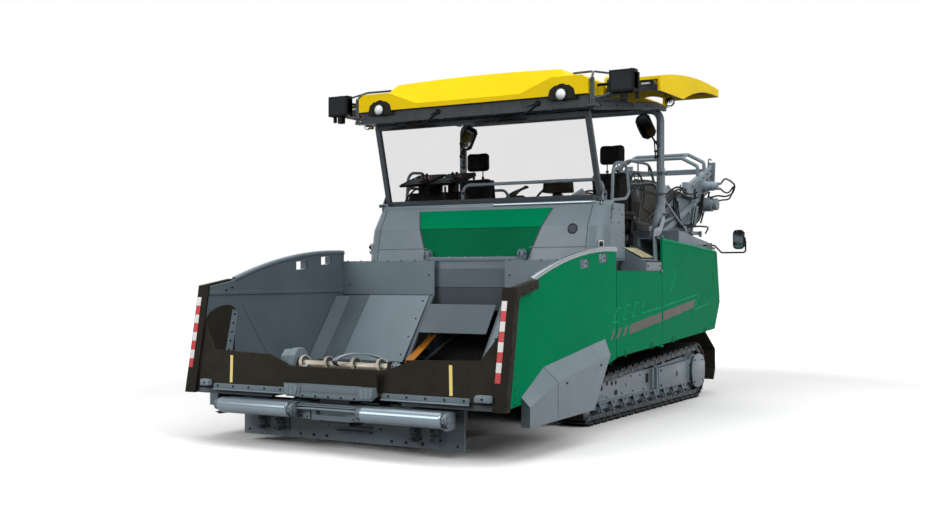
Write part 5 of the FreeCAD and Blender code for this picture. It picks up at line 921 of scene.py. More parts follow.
for side, sign in sides:
    piece = Piece(side + "_cheek", "chassis", "paint_grey").paint("frameGrey")
    piece.plate(spots((1.35, 2.56, 1.62), (1.35, 2.955, 1.62), (1.343, 2.955, 2.16), (1.34, 2.7, 2.16),
        (1.348, 2.58, 1.9), sign=sign), (sign * 0.006, 0, 0), 0.002)
    piece.paint("boltDark")
    for station, height in cheek["screws"]:
        piece.bolt(spot(sign * (1.3565 - (height - 1.62) * 0.012), station, height), (sign, 0, 0), 0.006)
    # white-framed box with a switch above and a small lamp below
    station, height = cheek["lamp"]
    out = Vector((sign * 0.62, -0.785, 0)).normalized()
    across = Vector((0, 0, 1)).cross(out)
    place = Vector(spot(sign * 1.318, station - 0.028, height))
    def corner(a, b, c=0.0):
        return place + across * a + Vector((0, 0, b)) + out * c
    piece.paint("tapeWhite")
    piece.plate([corner(-0.03, -0.058), corner(0.03, -0.058), corner(0.03, 0.058), corner(-0.03, 0.058)],
        out * 0.016, 0.006, steps=2)
    piece.paint("boltDark")
    piece.plate([corner(-0.02, -0.046, 0.015), corner(0.02, -0.046, 0.015), corner(0.02, 0.046, 0.015),
        corner(-0.02, 0.046, 0.015)], out * 0.004, 0.002)
    piece.lathe(corner(0, 0.022, 0.018), out, [(0, 0.018), (0.01, 0.018), (0.014, 0.014), (0.015, 0.006)], 16)
    piece.paint("mirrorSilver")
    piece.lathe(corner(0, -0.02, 0.018), out, [(0, 0.017), (0.006, 0.017), (0.012, 0.012), (0.015, 0.004)], 20)
    piece.done()

sill = {"front": 2.556, "height": 2.166, "half": 1.22, "railRadius": 0.019}

piece = Piece("sill_rail", "chassis", "paint_grey").paint("railChrome")
front, height, half, radius = (sill[key] for key in ("front", "height", "half", "railRadius"))
piece.tube(onLevel(height, (0.1, front), (half - 0.02, front), (half + 0.05, front + 0.05)), radius, 16, bend=0.05)
piece.paint("frameGrey")
piece.plate(spots((-half, front - 0.004, height - 0.014), (0.1, front - 0.004, height - 0.014),
    (0.1, front + 0.004, height + 0.016), (-half, front + 0.004, height + 0.016)), (0, -0.01, 0), 0.004, steps=2)
for x in (-1.15, -0.75, -0.35, 0.35, 0.75, 1.15):
    piece.paint("frameGrey").block(spot(x - 0.02, front, height - 0.022),
        spot(x + 0.02, front + 0.03, height - 0.004), 0.002)
    piece.paint("boltDark").bolt(spot(x - 0.13, 2.6, 2.184), (0, 0, 1), 0.01)
# hinge brackets at both ends of the windscreen's foot
for sign in (1, -1):
    piece.paint("panelGrey")
    piece.plate(onSide(sign * 1.262, (2.56, 2.14), (2.7, 2.14), (2.7, 2.27), (2.63, 2.3), (2.58, 2.22)),
        (sign * 0.014, 0, 0), 0.003)
    piece.block(spot(sign * 1.19, 2.545, 2.178), spot(sign * 1.3, 2.6, 2.215), 0.004)
    piece.paint("boltDark")
    piece.bolt(spot(sign * 1.276, 2.64, 2.24), (sign, 0, 0), 0.014)
    piece.bolt(spot(sign * 1.276, 2.61, 2.17), (sign, 0, 0), 0.01)
    piece.bolt(spot(sign * 1.24, 2.545, 2.197), (0, -1, 0), 0.011)
piece.done()

# decorative lines on the green sides: hollow slanted bars, a long thin line and a brown band
sideBars = {"hollow": ((2.167, 1.02), (2.389, 1.042), (2.62, 1.063)), "hollowLean": (0.092, 0.13),
    "hollowWide": 0.092, "line": ((2.858, 1.086), (3.386, 1.134)),
    "rearLine": ((3.45, 1.142), (4.53, 1.252), (4.402, 1.084), (4.901, 1.141)),
    "slant": ((3.66, 1.288), (3.868, 1.53)), "lineWide": 0.009,
    "brown": (((2.095, 0.862), (2.135, 0.866), (2.215, 0.962), (2.175, 0.958)),
    ((2.225, 0.872), (2.285, 0.877), (2.375, 0.972), (2.315, 0.966)),
    ((2.385, 0.886), (2.445, 0.891), (2.52, 0.983), (2.46, 0.977)),
    ((2.55, 0.9), (3.4, 0.991), (3.4, 1.085), (2.56, 0.988))),
    "rearBrown": ((3.447, 0.996), (4.36, 1.106), (4.427, 1.194), (3.447, 1.091)), }

for side, sign in sides:
    face = sign * 1.565
    wide = sideBars["lineWide"]
    front = Piece(side + "_panel_bars", "chassis", "paint_green")
    rear = Piece(side + "_door_bars", side + "_door", "paint_green")

    def stroke(piece, first, second):
        (y1, z1), (y2, z2) = first, second
        piece.bar(spot(face, y1, z1), spot(face, y2, z2), wide, 0.003, up=(1, 0, 0), edge=0.0006)

    front.paint("barGreen")
    lean, rise = sideBars["hollowLean"]
    for y, z in sideBars["hollow"]:
        corners = [(y + sideBars["hollowWide"], z + 0.006), (y, z), (y + lean, z + rise),
            (y + lean + sideBars["hollowWide"], z + rise + 0.006)]
        for first, second in zip(corners, corners[1:]):
            stroke(front, first, second)
    stroke(front, *sideBars["line"])
    stroke(front, (2.858, 1.086), (2.95, 1.216))
    front.paint("barBrown")
    for outline in sideBars["brown"]:
        front.plate(onSide(face, *outline), (sign * 0.0015, 0, 0), 0.0004)
    rear.paint("barGreen")
    for first, second in zip(sideBars["rearLine"], sideBars["rearLine"][1:]):
        stroke(rear, first, second)
    stroke(rear, *sideBars["slant"])
    rear.paint("barBrown")
    rear.plate([spot(face, y, z) for y, z in sideBars["rearBrown"]], (sign * 0.0015, 0, 0), 0.0004)
    # latches along the lower edge
    for piece, station, height in ((front, 3.128, 0.772), (front, 2.45, 0.735), (rear, 3.738, 0.806),
            (rear, 4.751, 0.862)):
        piece.paint("guardBlack")
        piece.plate(pane(onSide, face, station - 0.012, station + 0.012, height - 0.026, height + 0.026),
            (sign * 0.008, 0, 0), 0.003)
        piece.plate(pane(onSide, face, station - 0.017, station + 0.01, height - 0.043, height - 0.03),
            (sign * 0.01, 0, 0), 0.002)
    # upright vent slot near the door's rear edge, its bars in the darker green as painted shade in the slot, and a
    # pull handle
    rear.paint("shadeGreen")
    for k in range(3):
        rear.bar(spot(face, 5.02 + k * 0.022, 1.4), spot(face, 5.02 + k * 0.022, 1.52), 0.008, 0.003, up=(1, 0, 0),
            edge=0.001)
    rear.paint("bodyGreen")
    rear.tube(onSide(face - sign * 0.001, (3.46, 1.79), (4.2, 1.774), (5.14, 1.715)), 0.004, 6)
    front.paint("bodyGreen")
    front.tube(onSide(face - sign * 0.001, (2.27, 0.706), (3.4, 0.762)), 0.005, 6)
    # ribs folded on the inside, seen from below
    front.paint("panelGrey")
    for station in (2.6, 3.0, 3.35):
        front.block(spot(face - sign * 0.055, station, 0.8), spot(face - sign * 0.027, station + 0.03, 1.42), 0.002)
    front.done()
    rear.done()

stepPlate = {"stations": (2.985, 3.385), "stripes": 5, "stripeWide": 0.036, "lean": 0.07}

for side, sign in sides:
    piece = Piece(side + "_step_plate", "chassis", "paint_grey")
    low, high = Vector((sign * 1.505, 0, 1.621)), Vector((sign * 1.315, 0, 1.733))
    out = Vector((sign * (high.z - low.z), 0, abs(high.x - low.x))).normalized()
    y1, y2 = (spot(0, station, 0).y for station in stepPlate["stations"])

    def onSlope(y, share, lift=0.0):
        point = low.lerp(high, share) + out * lift
        return Vector((point.x, y, point.z))

    piece.paint("guardBlack")
    piece.plate([onSlope(y1, 0.0), onSlope(y2, 0.0), onSlope(y2, 1.0), onSlope(y1, 1.0)], out * 0.008, 0.001)
    piece.paint("stepCream")
    count, wide, lean = (stepPlate[key] for key in ("stripes", "stripeWide", "lean"))
    gap = (y2 - y1 - 0.02 - lean - wide) / (count - 1)
    for k in range(count):
        y = y1 + 0.01 + lean + k * gap
        piece.plate([onSlope(y, 0.06, 0.008), onSlope(y + wide, 0.06, 0.008), onSlope(y + wide - lean, 0.94, 0.008),
            onSlope(y - lean, 0.94, 0.008)], out * 0.0012, 0.0003)
    # lip along the lower edge in deep grey, dark as painted shade in the gap, then a bolted face plate
    piece.paint("deepGrey")
    piece.plate(spots((1.507, 2.975, 1.598), (1.507, 3.395, 1.598), (1.566, 3.395, 1.594), (1.566, 2.975, 1.594),
        sign=sign), (0, 0, 0.008), 0.002)
    piece.paint("frameGrey")
    piece.plate(pane(onSide, sign * 1.565, 2.98, 3.39, 1.508, 1.588), (sign * 0.004, 0, 0), 0.002)
    piece.paint("boltDark")
    for station in (3.02, 3.35):
        piece.bolt(spot(sign * 1.569, station, 1.55), (sign, 0, 0), 0.009)
    # seam between the step and the panel below it, and the hasp beside it
    piece.plate(pane(onSide, sign * 1.5655, 2.96, 3.42, 1.494, 1.5), (sign * 0.001, 0, 0), 0.0003)
    piece.paint("boltSteel")
    piece.block(spot(sign * 1.566, 3.375, 1.478) - Vector((0.008, 0, 0)),
        spot(sign * 1.566, 3.4, 1.52) + Vector((0.01, 0, 0)), 0.003)
    piece.rod(spot(sign * 1.57, 3.37, 1.5), spot(sign * 1.57, 3.408, 1.5), 0.007, 10)
    # ladder rungs folded under the step, seen from the side and below
    piece.paint("panelGrey")
    for station in (3.0, 3.36):
        piece.block(spot(sign * 1.31, station, 1.46), spot(sign * 1.33, station + 0.02, 1.5), 0.002)
    piece.done()

# the front panel's lower part gets the darker green as painted shade, the upper part the body green
paintNode("front_panel", ("bodyGreen", lambda c, n: c.z > 1.936), ("shadeGreen", None))
# the shell's top band gets the lighter grey as a painted highlight on its rounded top
paintNode("front_shell", ("litGrey", lambda c, n: c.z > 2.142), ("frameGrey", None))

print("body dressed")

# platform: padded seats, console, treads, rail feet and wiper parts
seatLook = {
    "place": (0.83, 3.595, 1.7453),
    # lowest and highest corners from the seat's place, voxel, how far the cover may swell, crown
    "cushion": ((-0.224, -0.244, 0.078), (0.224, 0.184, 0.182), 0.008, 0.022, 0.01),
    "back": ((-0.217, 0.15, 0.148), (0.217, 0.305, 0.826), 0.009, 0.022, 0.006),
    "head": ((-0.139, 0.23, 0.902), (0.139, 0.32, 1.108), 0.006, 0.006, 0.004),
    "channel": 0.006, "pressure": 4.0,
}


def swell(name, low, high, voxel, cap, crown, across):
    low, high = Vector(low), Vector(high)
    middle, half = (low + high) / 2, (high - low) / 2
    shape = bmesh.new()
    bmesh.ops.create_cube(shape, size=1.0)
    for vertex in shape.verts:
        vertex.co = middle + Vector((vertex.co.x * 2 * half.x, vertex.co.y * 2 * half.y, vertex.co.z * 2 * half.z))
    corner = min(half) * 0.9
    bmesh.ops.bevel(shape, geom=shape.edges[:], offset=corner, segments=5, profile=0.5, affect="EDGES",
        clamp_overlap=True)
    data = bpy.data.meshes.new(name)
    shape.to_mesh(data)
    shape.free()
    thing = bpy.data.objects.new(name, data)
    scene = bpy.context.scene
    scene.collection.objects.link(thing)
    remesh = thing.modifiers.new("remesh", "REMESH")
    remesh.mode, remesh.voxel_size = "VOXEL", voxel
    bake(thing)
    rest = [vertex.co.copy() for vertex in thing.data.vertices]
    cloth = thing.modifiers.new("cloth", "CLOTH")
    cloth.settings.quality = 4
    cloth.settings.mass = 0.3
    cloth.settings.tension_stiffness = cloth.settings.compression_stiffness = 25
    cloth.settings.use_pressure = True
    cloth.settings.uniform_pressure_force = seatLook["pressure"]
    cloth.settings.effector_weights.gravity = 0.0
    cloth.point_cache.frame_start, cloth.point_cache.frame_end = 1, 20
    for step in range(1, 21):
        scene.frame_set(step)
    swollen = [vertex.co.copy()
        for vertex in thing.evaluated_get(bpy.context.evaluated_depsgraph_get()).data.vertices]
    thing.modifiers.remove(cloth)
    scene.frame_set(1)
    for vertex, start, end in zip(thing.data.vertices, rest, swollen):
        move = end - start
        vertex.co = start + move * min(1.0, cap / max(move.length, 1e-6))
    finer = thing.modifiers.new("finer", "SUBSURF")
    finer.levels = 1
    bake(thing)
    # crown on the face that carries the operator, and stitched channels across it
    face, run = (2, 1) if across == "flat" else (1, 2)
    way = 1 if across == "flat" else -1
    for vertex in thing.data.vertices:
        part = vertex.co - middle
        a, b, c = part.x / half.x, part[run] / half[run], part[face] / half[face] * way
        if c < 0.2:
            continue
        lift = crown * max(0.0, 1 - a * a) * max(0.0, 1 - b * b)
        for line in (-0.52, 0.52):
            lift -= seatLook["channel"] * math.exp(-((a - line) * half.x / 0.007) ** 2)
        for line in ((-0.25, 0.4) if across == "flat" else (-0.45, 0.0, 0.45)):
            if abs(a) < 0.52:
                lift -= seatLook["channel"] * 0.8 * math.exp(-((b - line) * half[run] / 0.007) ** 2)
        vertex.co[face] += way * lift
    thing.data.materials.append(materials["seatVinyl"])
    thing.data.polygons.foreach_set("use_smooth", [True] * len(thing.data.polygons))
    return thing


def bake(thing):
    depsgraph = bpy.context.evaluated_depsgraph_get()
    baked = bpy.data.meshes.new_from_object(thing.evaluated_get(depsgraph))
    thing.modifiers.clear()
    thing.data = baked


# stitched welt round a pad, laid on its surface at one level
def addWelt(piece, pad, middle, axis, level, radius, shift):
    data = pad.data
    tree = BVHTree.FromPolygons([vertex.co for vertex in data.vertices], [face.vertices for face in data.polygons])
    points = []
    for k in range(56):
        t = 2 * math.pi * k / 56
        way = Vector((math.cos(t), math.sin(t), 0)) if axis == 2 else Vector((math.cos(t), 0, math.sin(t)))
        start = Vector(middle)
        start[axis] += level
        hit = tree.ray_cast(start + way * 2, -way)[0]
        if hit:
            points.append(hit - way * radius * 0.4 + shift)
    piece.tube(points, radius, 6, loop=True)

x, station, low = seatLook["place"]
centre = spot(0, station, low)
pads = {}
for part, across in (("cushion", "flat"), ("back", "upright"), ("head", "upright")):
    near, far, voxel, cap, crown = seatLook[part]
    pads[part] = swell("pad_" + part, centre + Vector(near), centre + Vector(far), voxel, cap, crown, across)
for side, sign in sides:
    body = side + "_operator_seat"
    shift = Vector((sign * x, 0, 0))
    shell = Piece(side + "_seat_frame", body, "black_plastic").paint("darkPlastic")
    here = centre + shift

    def at(a, b, c):
        return here + Vector((a, b, c))

    shell.block(at(-0.225, -0.235, 0.004), at(0.225, 0.225, 0.055), 0.012, 2)
    shell.block(at(-0.205, -0.215, 0.055), at(0.205, 0.195, 0.085), 0.01)
    # back shell with ribs, and its hinges
    shell.plate([at(-0.205, 0.3, 0.15), at(0.205, 0.3, 0.15), at(0.212, 0.3, 0.5), at(0.185, 0.3, 0.8),
        at(-0.185, 0.3, 0.8), at(-0.212, 0.3, 0.5)], (0, 0.022, 0), 0.01, 2)
    for z in (0.26, 0.38, 0.5, 0.62, 0.74):
        shell.bar(at(-0.15, 0.324, z), at(0.15, 0.324, z), 0.01, 0.012, up=(0, 1, 0), edge=0.002)
    for way in (1, -1):
        shell.plate([at(way * 0.215, 0.06, 0.03), at(way * 0.215, 0.3, 0.03), at(way * 0.215, 0.315, 0.3),
            at(way * 0.215, 0.25, 0.3), at(way * 0.215, 0.2, 0.1)], (way * 0.018, 0, 0), 0.004)
        shell.lathe(at(way * 0.233, 0.235, 0.16), (way, 0, 0), [(0, 0.042), (0.008, 0.042), (0.012, 0.036)], 20)
        # arm with its pad
        shell.block(at(way * 0.265 - 0.011, 0.1, 0.292), at(way * 0.265 + 0.011, 0.245, 0.36), 0.006)
        shell.block(at(way * 0.265 - 0.014, -0.13, 0.3), at(way * 0.265 + 0.014, 0.22, 0.332), 0.006)
        shell.paint("seatVinyl").block(at(way * 0.265 - 0.024, -0.15, 0.33), at(way * 0.265 + 0.024, 0.235, 0.38),
            0.017, 3)
        shell.paint("boltSteel").lathe(at(way * 0.279, 0.205, 0.32), (way, 0, 0),
            [(0, 0.02), (0.006, 0.02), (0.009, 0.014)], 16)
        shell.rod(at(way * 0.06, 0.278, 0.79), at(way * 0.06, 0.278, 0.93), 0.007, 10)
        shell.paint("darkPlastic").lathe(at(way * 0.06, 0.278, 0.815), (0, 0, 1),
            [(0, 0.016), (0.022, 0.016), (0.026, 0.012)], 14)
        shell.block(at(way * 0.15 - 0.012, -0.255, 0.02), at(way * 0.15 + 0.012, -0.225, 0.038), 0.005)
    shell.rod(at(0.225, -0.1, 0.035), at(0.262, -0.13, 0.035), 0.008, 10)
    shell.paint("tapeRed").block(at(-0.262, 0.1, 0.055), at(-0.243, 0.135, 0.095), 0.004)
    shell.paint("seatVinyl")
    for part, axis, level, radius in (("cushion", 2, 0.03, 0.0045), ("back", 1, -0.03, 0.0045),
            ("head", 1, -0.012, 0.0035)):
        near, far = seatLook[part][:2]
        middle = centre + (Vector(near) + Vector(far)) / 2
        addWelt(shell, pads[part], middle, axis, level, radius, shift)
    shell.done(replaces=(side + "_seat",))
    for part, thing in pads.items():
        pad = thing.copy()
        pad.data = thing.data.copy()
        pad.data.transform(Matrix.Translation(shift))
        pad.name = side + "_seat_" + part
        bpy.context.scene.collection.objects.link(pad)
        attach(pad, body)
for thing in pads.values():
    bpy.data.objects.remove(thing)


# height and slope of a frame node's upper side
def topOf(name, x, y, start=4.0):
    hit, place, facing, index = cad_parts[name].ray_cast(Vector((x, y, start)), Vector((0, 0, -1)))
    return (place, facing) if hit else (None, None)

piece = Piece("console_controls", "chassis", "black_plastic")
for left, right in ((-1.185, -0.86), (-0.81, -0.485)):
    y1, y2 = spot(0, 2.8, 0).y, spot(0, 3.17, 0).y
    first, facing = topOf("control_console", (left + right) / 2, y1)
    last, facing = topOf("control_console", (left + right) / 2, y2)
    if first is None or last is None:
        continue
    run = (last - first)
    up = facing.normalized()

    def onPanel(a, b, lift=0.0):
        return Vector((left + (right - left) * a, 0, 0)) + Vector((0, first.y, first.z)) + Vector((0, run.y,
            run.z)) * b + up * lift

    piece.paint("deepGrey").plate([onPanel(0.03, 0.03), onPanel(0.97, 0.03), onPanel(0.97, 0.97),
        onPanel(0.03, 0.97)], up * 0.004, 0.002)
    piece.paint("guardBlack").plate([onPanel(0.1, 0.08, 0.004), onPanel(0.62, 0.08, 0.004),
        onPanel(0.62, 0.52, 0.004), onPanel(0.1, 0.52, 0.004)], up * 0.006, 0.003)
    piece.paint("panelGrey").plate([onPanel(0.13, 0.12, 0.01), onPanel(0.59, 0.12, 0.01), onPanel(0.59, 0.48, 0.01),
        onPanel(0.13, 0.48, 0.01)], up * 0.001, 0.0003)
    for i in range(6):
        for j in range(3):
            finish = "tapeRed" if (i, j) == (5, 0) else "tapeWhite" if (i + j) % 4 == 0 else "boltSteel"
            place = onPanel(0.12 + 0.13 * i, 0.62 + 0.14 * j, 0.004)
            piece.paint(finish).lathe(place, up, [(0, 0.01), (0.006, 0.01), (0.008, 0.007)], 12)
    piece.paint("boltDark")
    for a in (0.72, 0.88):
        place = onPanel(a, 0.26, 0.004)
        piece.lathe(place, up, [(0, 0.022), (0.006, 0.022), (0.012, 0.012), (0.055, 0.008), (0.06, 0.015),
            (0.078, 0.016), (0.086, 0.009)], 16)
    # rounded lip round the panel and a sun shade hinge
    rim = [onPanel(a, b, -0.006) for a, b in ((-0.012, -0.02), (1.012, -0.02), (1.012, 1.02), (-0.012, 1.02))]
    piece.paint("darkPlastic").tube(rim, 0.012, 8, bend=0.03, loop=True)
    piece.paint("boltSteel").rod(onPanel(0.2, -0.03, 0.01), onPanel(0.8, -0.03, 0.01), 0.006, 8)
# bellows, pivot and cable between the column and the panels
for k in range(5):
    piece.paint("darkPlastic").lathe(spot(-0.84, 2.95, 2.32 + 0.022 * k), (0, 0, 1),
        [(0, 0.075), (0.01, 0.092), (0.02, 0.075)], 20)
piece.paint("hoseRubber")
piece.tube(spots((-0.6, 2.8, 1.6), (-0.56, 2.74, 1.95), (-0.6, 2.76, 2.25), (-0.66, 2.86, 2.4)), 0.012, 8, bend=0.12)
piece.tube(spots((-1.1, 2.8, 1.6), (-1.14, 2.73, 1.98), (-1.1, 2.76, 2.28), (-1.02, 2.86, 2.4)), 0.01, 8, bend=0.12)
piece.paint("deepGrey")
piece.plate(pane(onFront, 2.738, -1.1, -0.57, 1.66, 2.2), (0, -0.006, 0), 0.003)
piece.paint("boltDark").bolts([spot(x, 2.732, z) for x in (-1.06, -0.61) for z in (1.7, 2.16)], (0, -1, 0), 0.01)
piece.done()

treads = Piece("deck_treads", "chassis", "paint_grey").paint("deckPlate")
for i in range(22):
    for j in range(11):
        x, y = -0.4 + i * 0.075, 2.78 + j * 0.062
        place, facing = topOf("deck", x, spot(0, y, 0).y, 1.6)
        if place is None or abs(place.z - 1.46) > 0.004:
            continue
        lean = 0.013 if (i + j) % 2 else -0.013
        treads.bar(place + Vector((-0.015, -lean, 0.001)), place + Vector((0.015, lean, 0.001)), 0.007, 0.004, edge=0)
treads.done()

feet = Piece("rail_feet", "chassis", "paint_grey")
for x, y in ((-1.23, 2.99), (-1.23, 3.36), (-0.4, 2.79), (1.19, 2.79), (0.69, 4.33), (1.17, 4.33), (-0.69, 4.33),
        (-1.17, 4.33)):
    place, facing = topOf("deck", x, spot(0, y, 0).y, 2.2)
    if place is None:
        continue
    feet.paint("frameGrey").lathe(spot(x, y, place.z), (0, 0, 1),
        [(0, 0.045), (0.008, 0.045), (0.01, 0.043), (0.011, 0.026), (0.03, 0.021)], 20)
    feet.paint("boltDark").bolts([spot(x + 0.033 * math.cos(t), y + 0.033 * math.sin(t), place.z + 0.009)
        for t in (0.8, 2.9, 5.0)], (0, 0, 1), 0.007)
feet.paint("boltDark")
for x in (-0.39, 1.18):
    feet.lathe(spot(x, 2.79, 2.3), (0, 0, 1), [(0, 0.021), (0.03, 0.021)], 14)
feet.done()

wipers = Piece("wiper_parts", "chassis", "black_plastic")
for pivot, blade in ((-0.355, -0.751), (0.767, 0.283)):
    wipers.paint("darkPlastic").lathe(spot(pivot, 2.222, 3.1), (0, -1, 0),
        [(0, 0.028), (0.012, 0.028), (0.016, 0.022), (0.022, 0.01)], 18)
    wipers.tube(spots((pivot, 2.206, 3.1), (blade + 0.1, 2.27, 3.02), (blade + 0.02, 2.325, 2.985)), 0.007, 8)
    for reach in (0.12, 0.24):
        for way in (1, -1):
            wipers.tube(spots((blade, 2.325, 2.992), (blade + way * reach, 2.335, 2.982)), 0.004, 6)
    wipers.block(spot(blade - 0.02, 2.318, 2.972), spot(blade + 0.02, 2.345, 2.998), 0.004)
wipers.done()

# grab rails beside the entrances and a small box of controls between the seats
rails = Piece("entrance_rails", "chassis", "paint_grey").paint("frameGrey")
for side, sign in sides:
    x = sign * 1.215
    rails.tube(onSide(x, (2.96, 1.75), (2.96, 2.22), (2.985, 2.52), (3.06, 2.585), (3.29, 2.6), (3.345, 2.53),
        (3.4, 2.3), (3.3, 2.235), (2.965, 2.205)), 0.016, 12, bend=0.05)
    rails.rod(spot(x, 2.962, 1.6), spot(x, 2.962, 1.8), 0.016, 12)
rails.done()

box = Piece("middle_controls", "chassis", "black_plastic").paint("guardBlack")
box.plate(onSide(0.2, (3.44, 2.34), (3.47, 2.475), (3.6, 2.455), (3.62, 2.34)), (0.3, 0, 0), 0.012, 2)
box.block(spot(0.3, 3.48, 1.47), spot(0.38, 3.56, 2.345), 0.01)
box.plate(spots((0.22, 3.475, 2.474), (0.48, 3.475, 2.474), (0.48, 3.59, 2.458), (0.22, 3.59, 2.458)),
    (0, 0.001, 0.008), 0.003)
box.paint("deepGrey").block(spot(0.27, 3.44, 1.462), spot(0.41, 3.6, 1.475), 0.004)
for k in range(5):
    finish = "tapeWhite" if k % 2 else "tapeRed"
    box.paint(finish).lathe(spot(0.25 + 0.05 * k, 3.53, 2.47), (0, 0.12, 1),
        [(0, 0.012), (0.008, 0.012), (0.012, 0.008)], 12)
box.done()

print("seats padded")
print("platform dressed")

# roof: lamps in their arches, mirror boxes and brackets, side rails, flap edges, portal legs, mirrors
roofLamp = {"x": 1.035, "height": 3.16, "face": 2.192, "radius": 0.047}
mirrorBox = {"x": 1.615, "half": 0.125, "front": 2.238, "back": 2.332, "low": 3.145, "high": 3.355}
portalLeg = {"line": ((1.268, 4.236, 2.62), (1.268, 4.25, 2.08), (1.36, 3.9, 1.93), (1.468, 3.455, 1.885),
    (1.5, 3.395, 1.7), (1.506, 3.388, 1.515)), "wide": 0.088, "thick": 0.014}


def roundedBox(piece, centre, across, up, half, tall, corner, depth, edge=0.003):
    outline = []
    for a, b, start in ((1, 1, 0), (-1, 1, 90), (-1, -1, 180), (1, -1, 270)):
        for k in range(5):
            t = math.radians(start + k * 22.5)
            outline.append(centre + across * (a * (half - corner) + corner * math.cos(t))
                + up * (b * (tall - corner) + corner * math.sin(t)))
    return piece.plate(outline, depth, edge)

piece = Piece("roof_lamps", "chassis", "black_plastic")
for sign in (1, -1):
    x, z, face = sign * roofLamp["x"], roofLamp["height"], roofLamp["face"]
    arch = [(-0.15, -0.05), (0.15, -0.05), (0.125, 0.05), (0.075, 0.086), (-0.075, 0.086), (-0.125, 0.05)]
    piece.paint("guardBlack").plate([spot(x + a, face - 0.018, z + b) for a, b in arch], (0, 0.012, 0), 0.004)
    radius = roofLamp["radius"]
    piece.paint("darkPlastic").lathe(spot(x, face - 0.014, z), (0, -1, 0),
        [(0, radius + 0.012), (0.012, radius + 0.012), (0.018, radius + 0.004), (0.018, radius - 0.004)], 32)
    piece.paint("lampWhite").lathe(spot(x, face - 0.026, z), (0, -1, 0),
        [(0, radius), (0.008, radius), (0.02, radius * 0.88), (0.03, radius * 0.62), (0.036, radius * 0.3)], 32)
    piece.paint("boltSteel").ring(spot(x, face - 0.026, z), (0, -1, 0), radius - 0.002, radius + 0.006, 0.01, 32)
piece.done()

piece = Piece("roof_mirror_cases", "chassis", "black_plastic")
front, back, low, high = (mirrorBox[key] for key in ("front", "back", "low", "high"))
for sign in (1, -1):
    x, half = sign * mirrorBox["x"], mirrorBox["half"]
    centre = spot(x, front, (low + high) / 2)
    across, up = Vector((1, 0, 0)), Vector((0, 0, 1))
    piece.paint("darkPlastic")
    roundedBox(piece, centre, across, up, half, (high - low) / 2, 0.03, (0, back - front, 0), 0.008)
    roundedBox(piece, centre - Vector((0, 0.006, 0)), across, up, half - 0.006, (high - low) / 2 - 0.006, 0.026,
        (0, 0.01, 0), 0.003)
    piece.paint("deepGrey")
    roundedBox(piece, centre - Vector((0, 0.008, 0)), across, up, half - 0.022, (high - low) / 2 - 0.022, 0.02,
        (0, 0.004, 0), 0.001)
    piece.paint("mirrorSilver")
    roundedBox(piece, spot(x, back - 0.001, (low + high) / 2), across, up, half - 0.014, (high - low) / 2 - 0.014,
        0.02, (0, 0.003, 0), 0.001)
    # carrier plate behind, clamp and lower knuckle
    piece.paint("guardBlack")
    piece.block(spot(x + sign * (half - 0.03), back, low - 0.055),
        spot(x + sign * (half + 0.008), back + 0.028, high - 0.02), 0.006)
    piece.block(spot(x - 0.03, front + 0.03, low - 0.075), spot(x + 0.035, back, low + 0.004), 0.008)
    piece.paint("boltDark").bolts([spot(x + a, front + 0.03, low - 0.05) for a in (-0.01, 0.018)], (0, -1, 0), 0.008)
piece.done()

arms = Piece("roof_mirror_brackets", "chassis", "paint_grey").paint("panelGrey")
for sign in (1, -1):
    # strap over the roof's corner with a round shoulder, arms to the case, brace below
    arms.tube(spots((1.335, 2.215, 3.06), (1.335, 2.205, 3.3), (1.31, 2.3, 3.372), (1.05, 2.42, 3.392), sign=sign),
        0.012, 8, bend=0.05)
    arms.bar(spot(sign * 1.335, 2.21, 3.06), spot(sign * 1.335, 2.21, 3.3), 0.014, 0.045, up=(1, 0, 0), edge=0.003)
    arms.tube(spots((1.335, 2.215, 3.1), (1.43, 2.215, 3.115), (1.5, 2.25, 3.15), (1.53, 2.3, 3.17), sign=sign),
        0.01, 8, bend=0.03)
    arms.tube(spots((1.31, 2.32, 3.372), (1.5, 2.315, 3.335), (1.56, 2.33, 3.33), sign=sign), 0.01, 8, bend=0.03)
    arms.tube(spots((1.7, 2.345, 3.16), (1.715, 2.36, 3.34), (1.66, 2.35, 3.375), sign=sign), 0.009, 8, bend=0.03)
    arms.block(spot(sign * 1.29, 2.212, 3.035), spot(sign * 1.375, 2.3, 3.062), 0.004)
    arms.paint("boltDark").bolts([spot(sign * 1.335, 2.199, z) for z in (3.09, 3.27)], (0, -1, 0), 0.009)
    arms.paint("panelGrey")
arms.done()

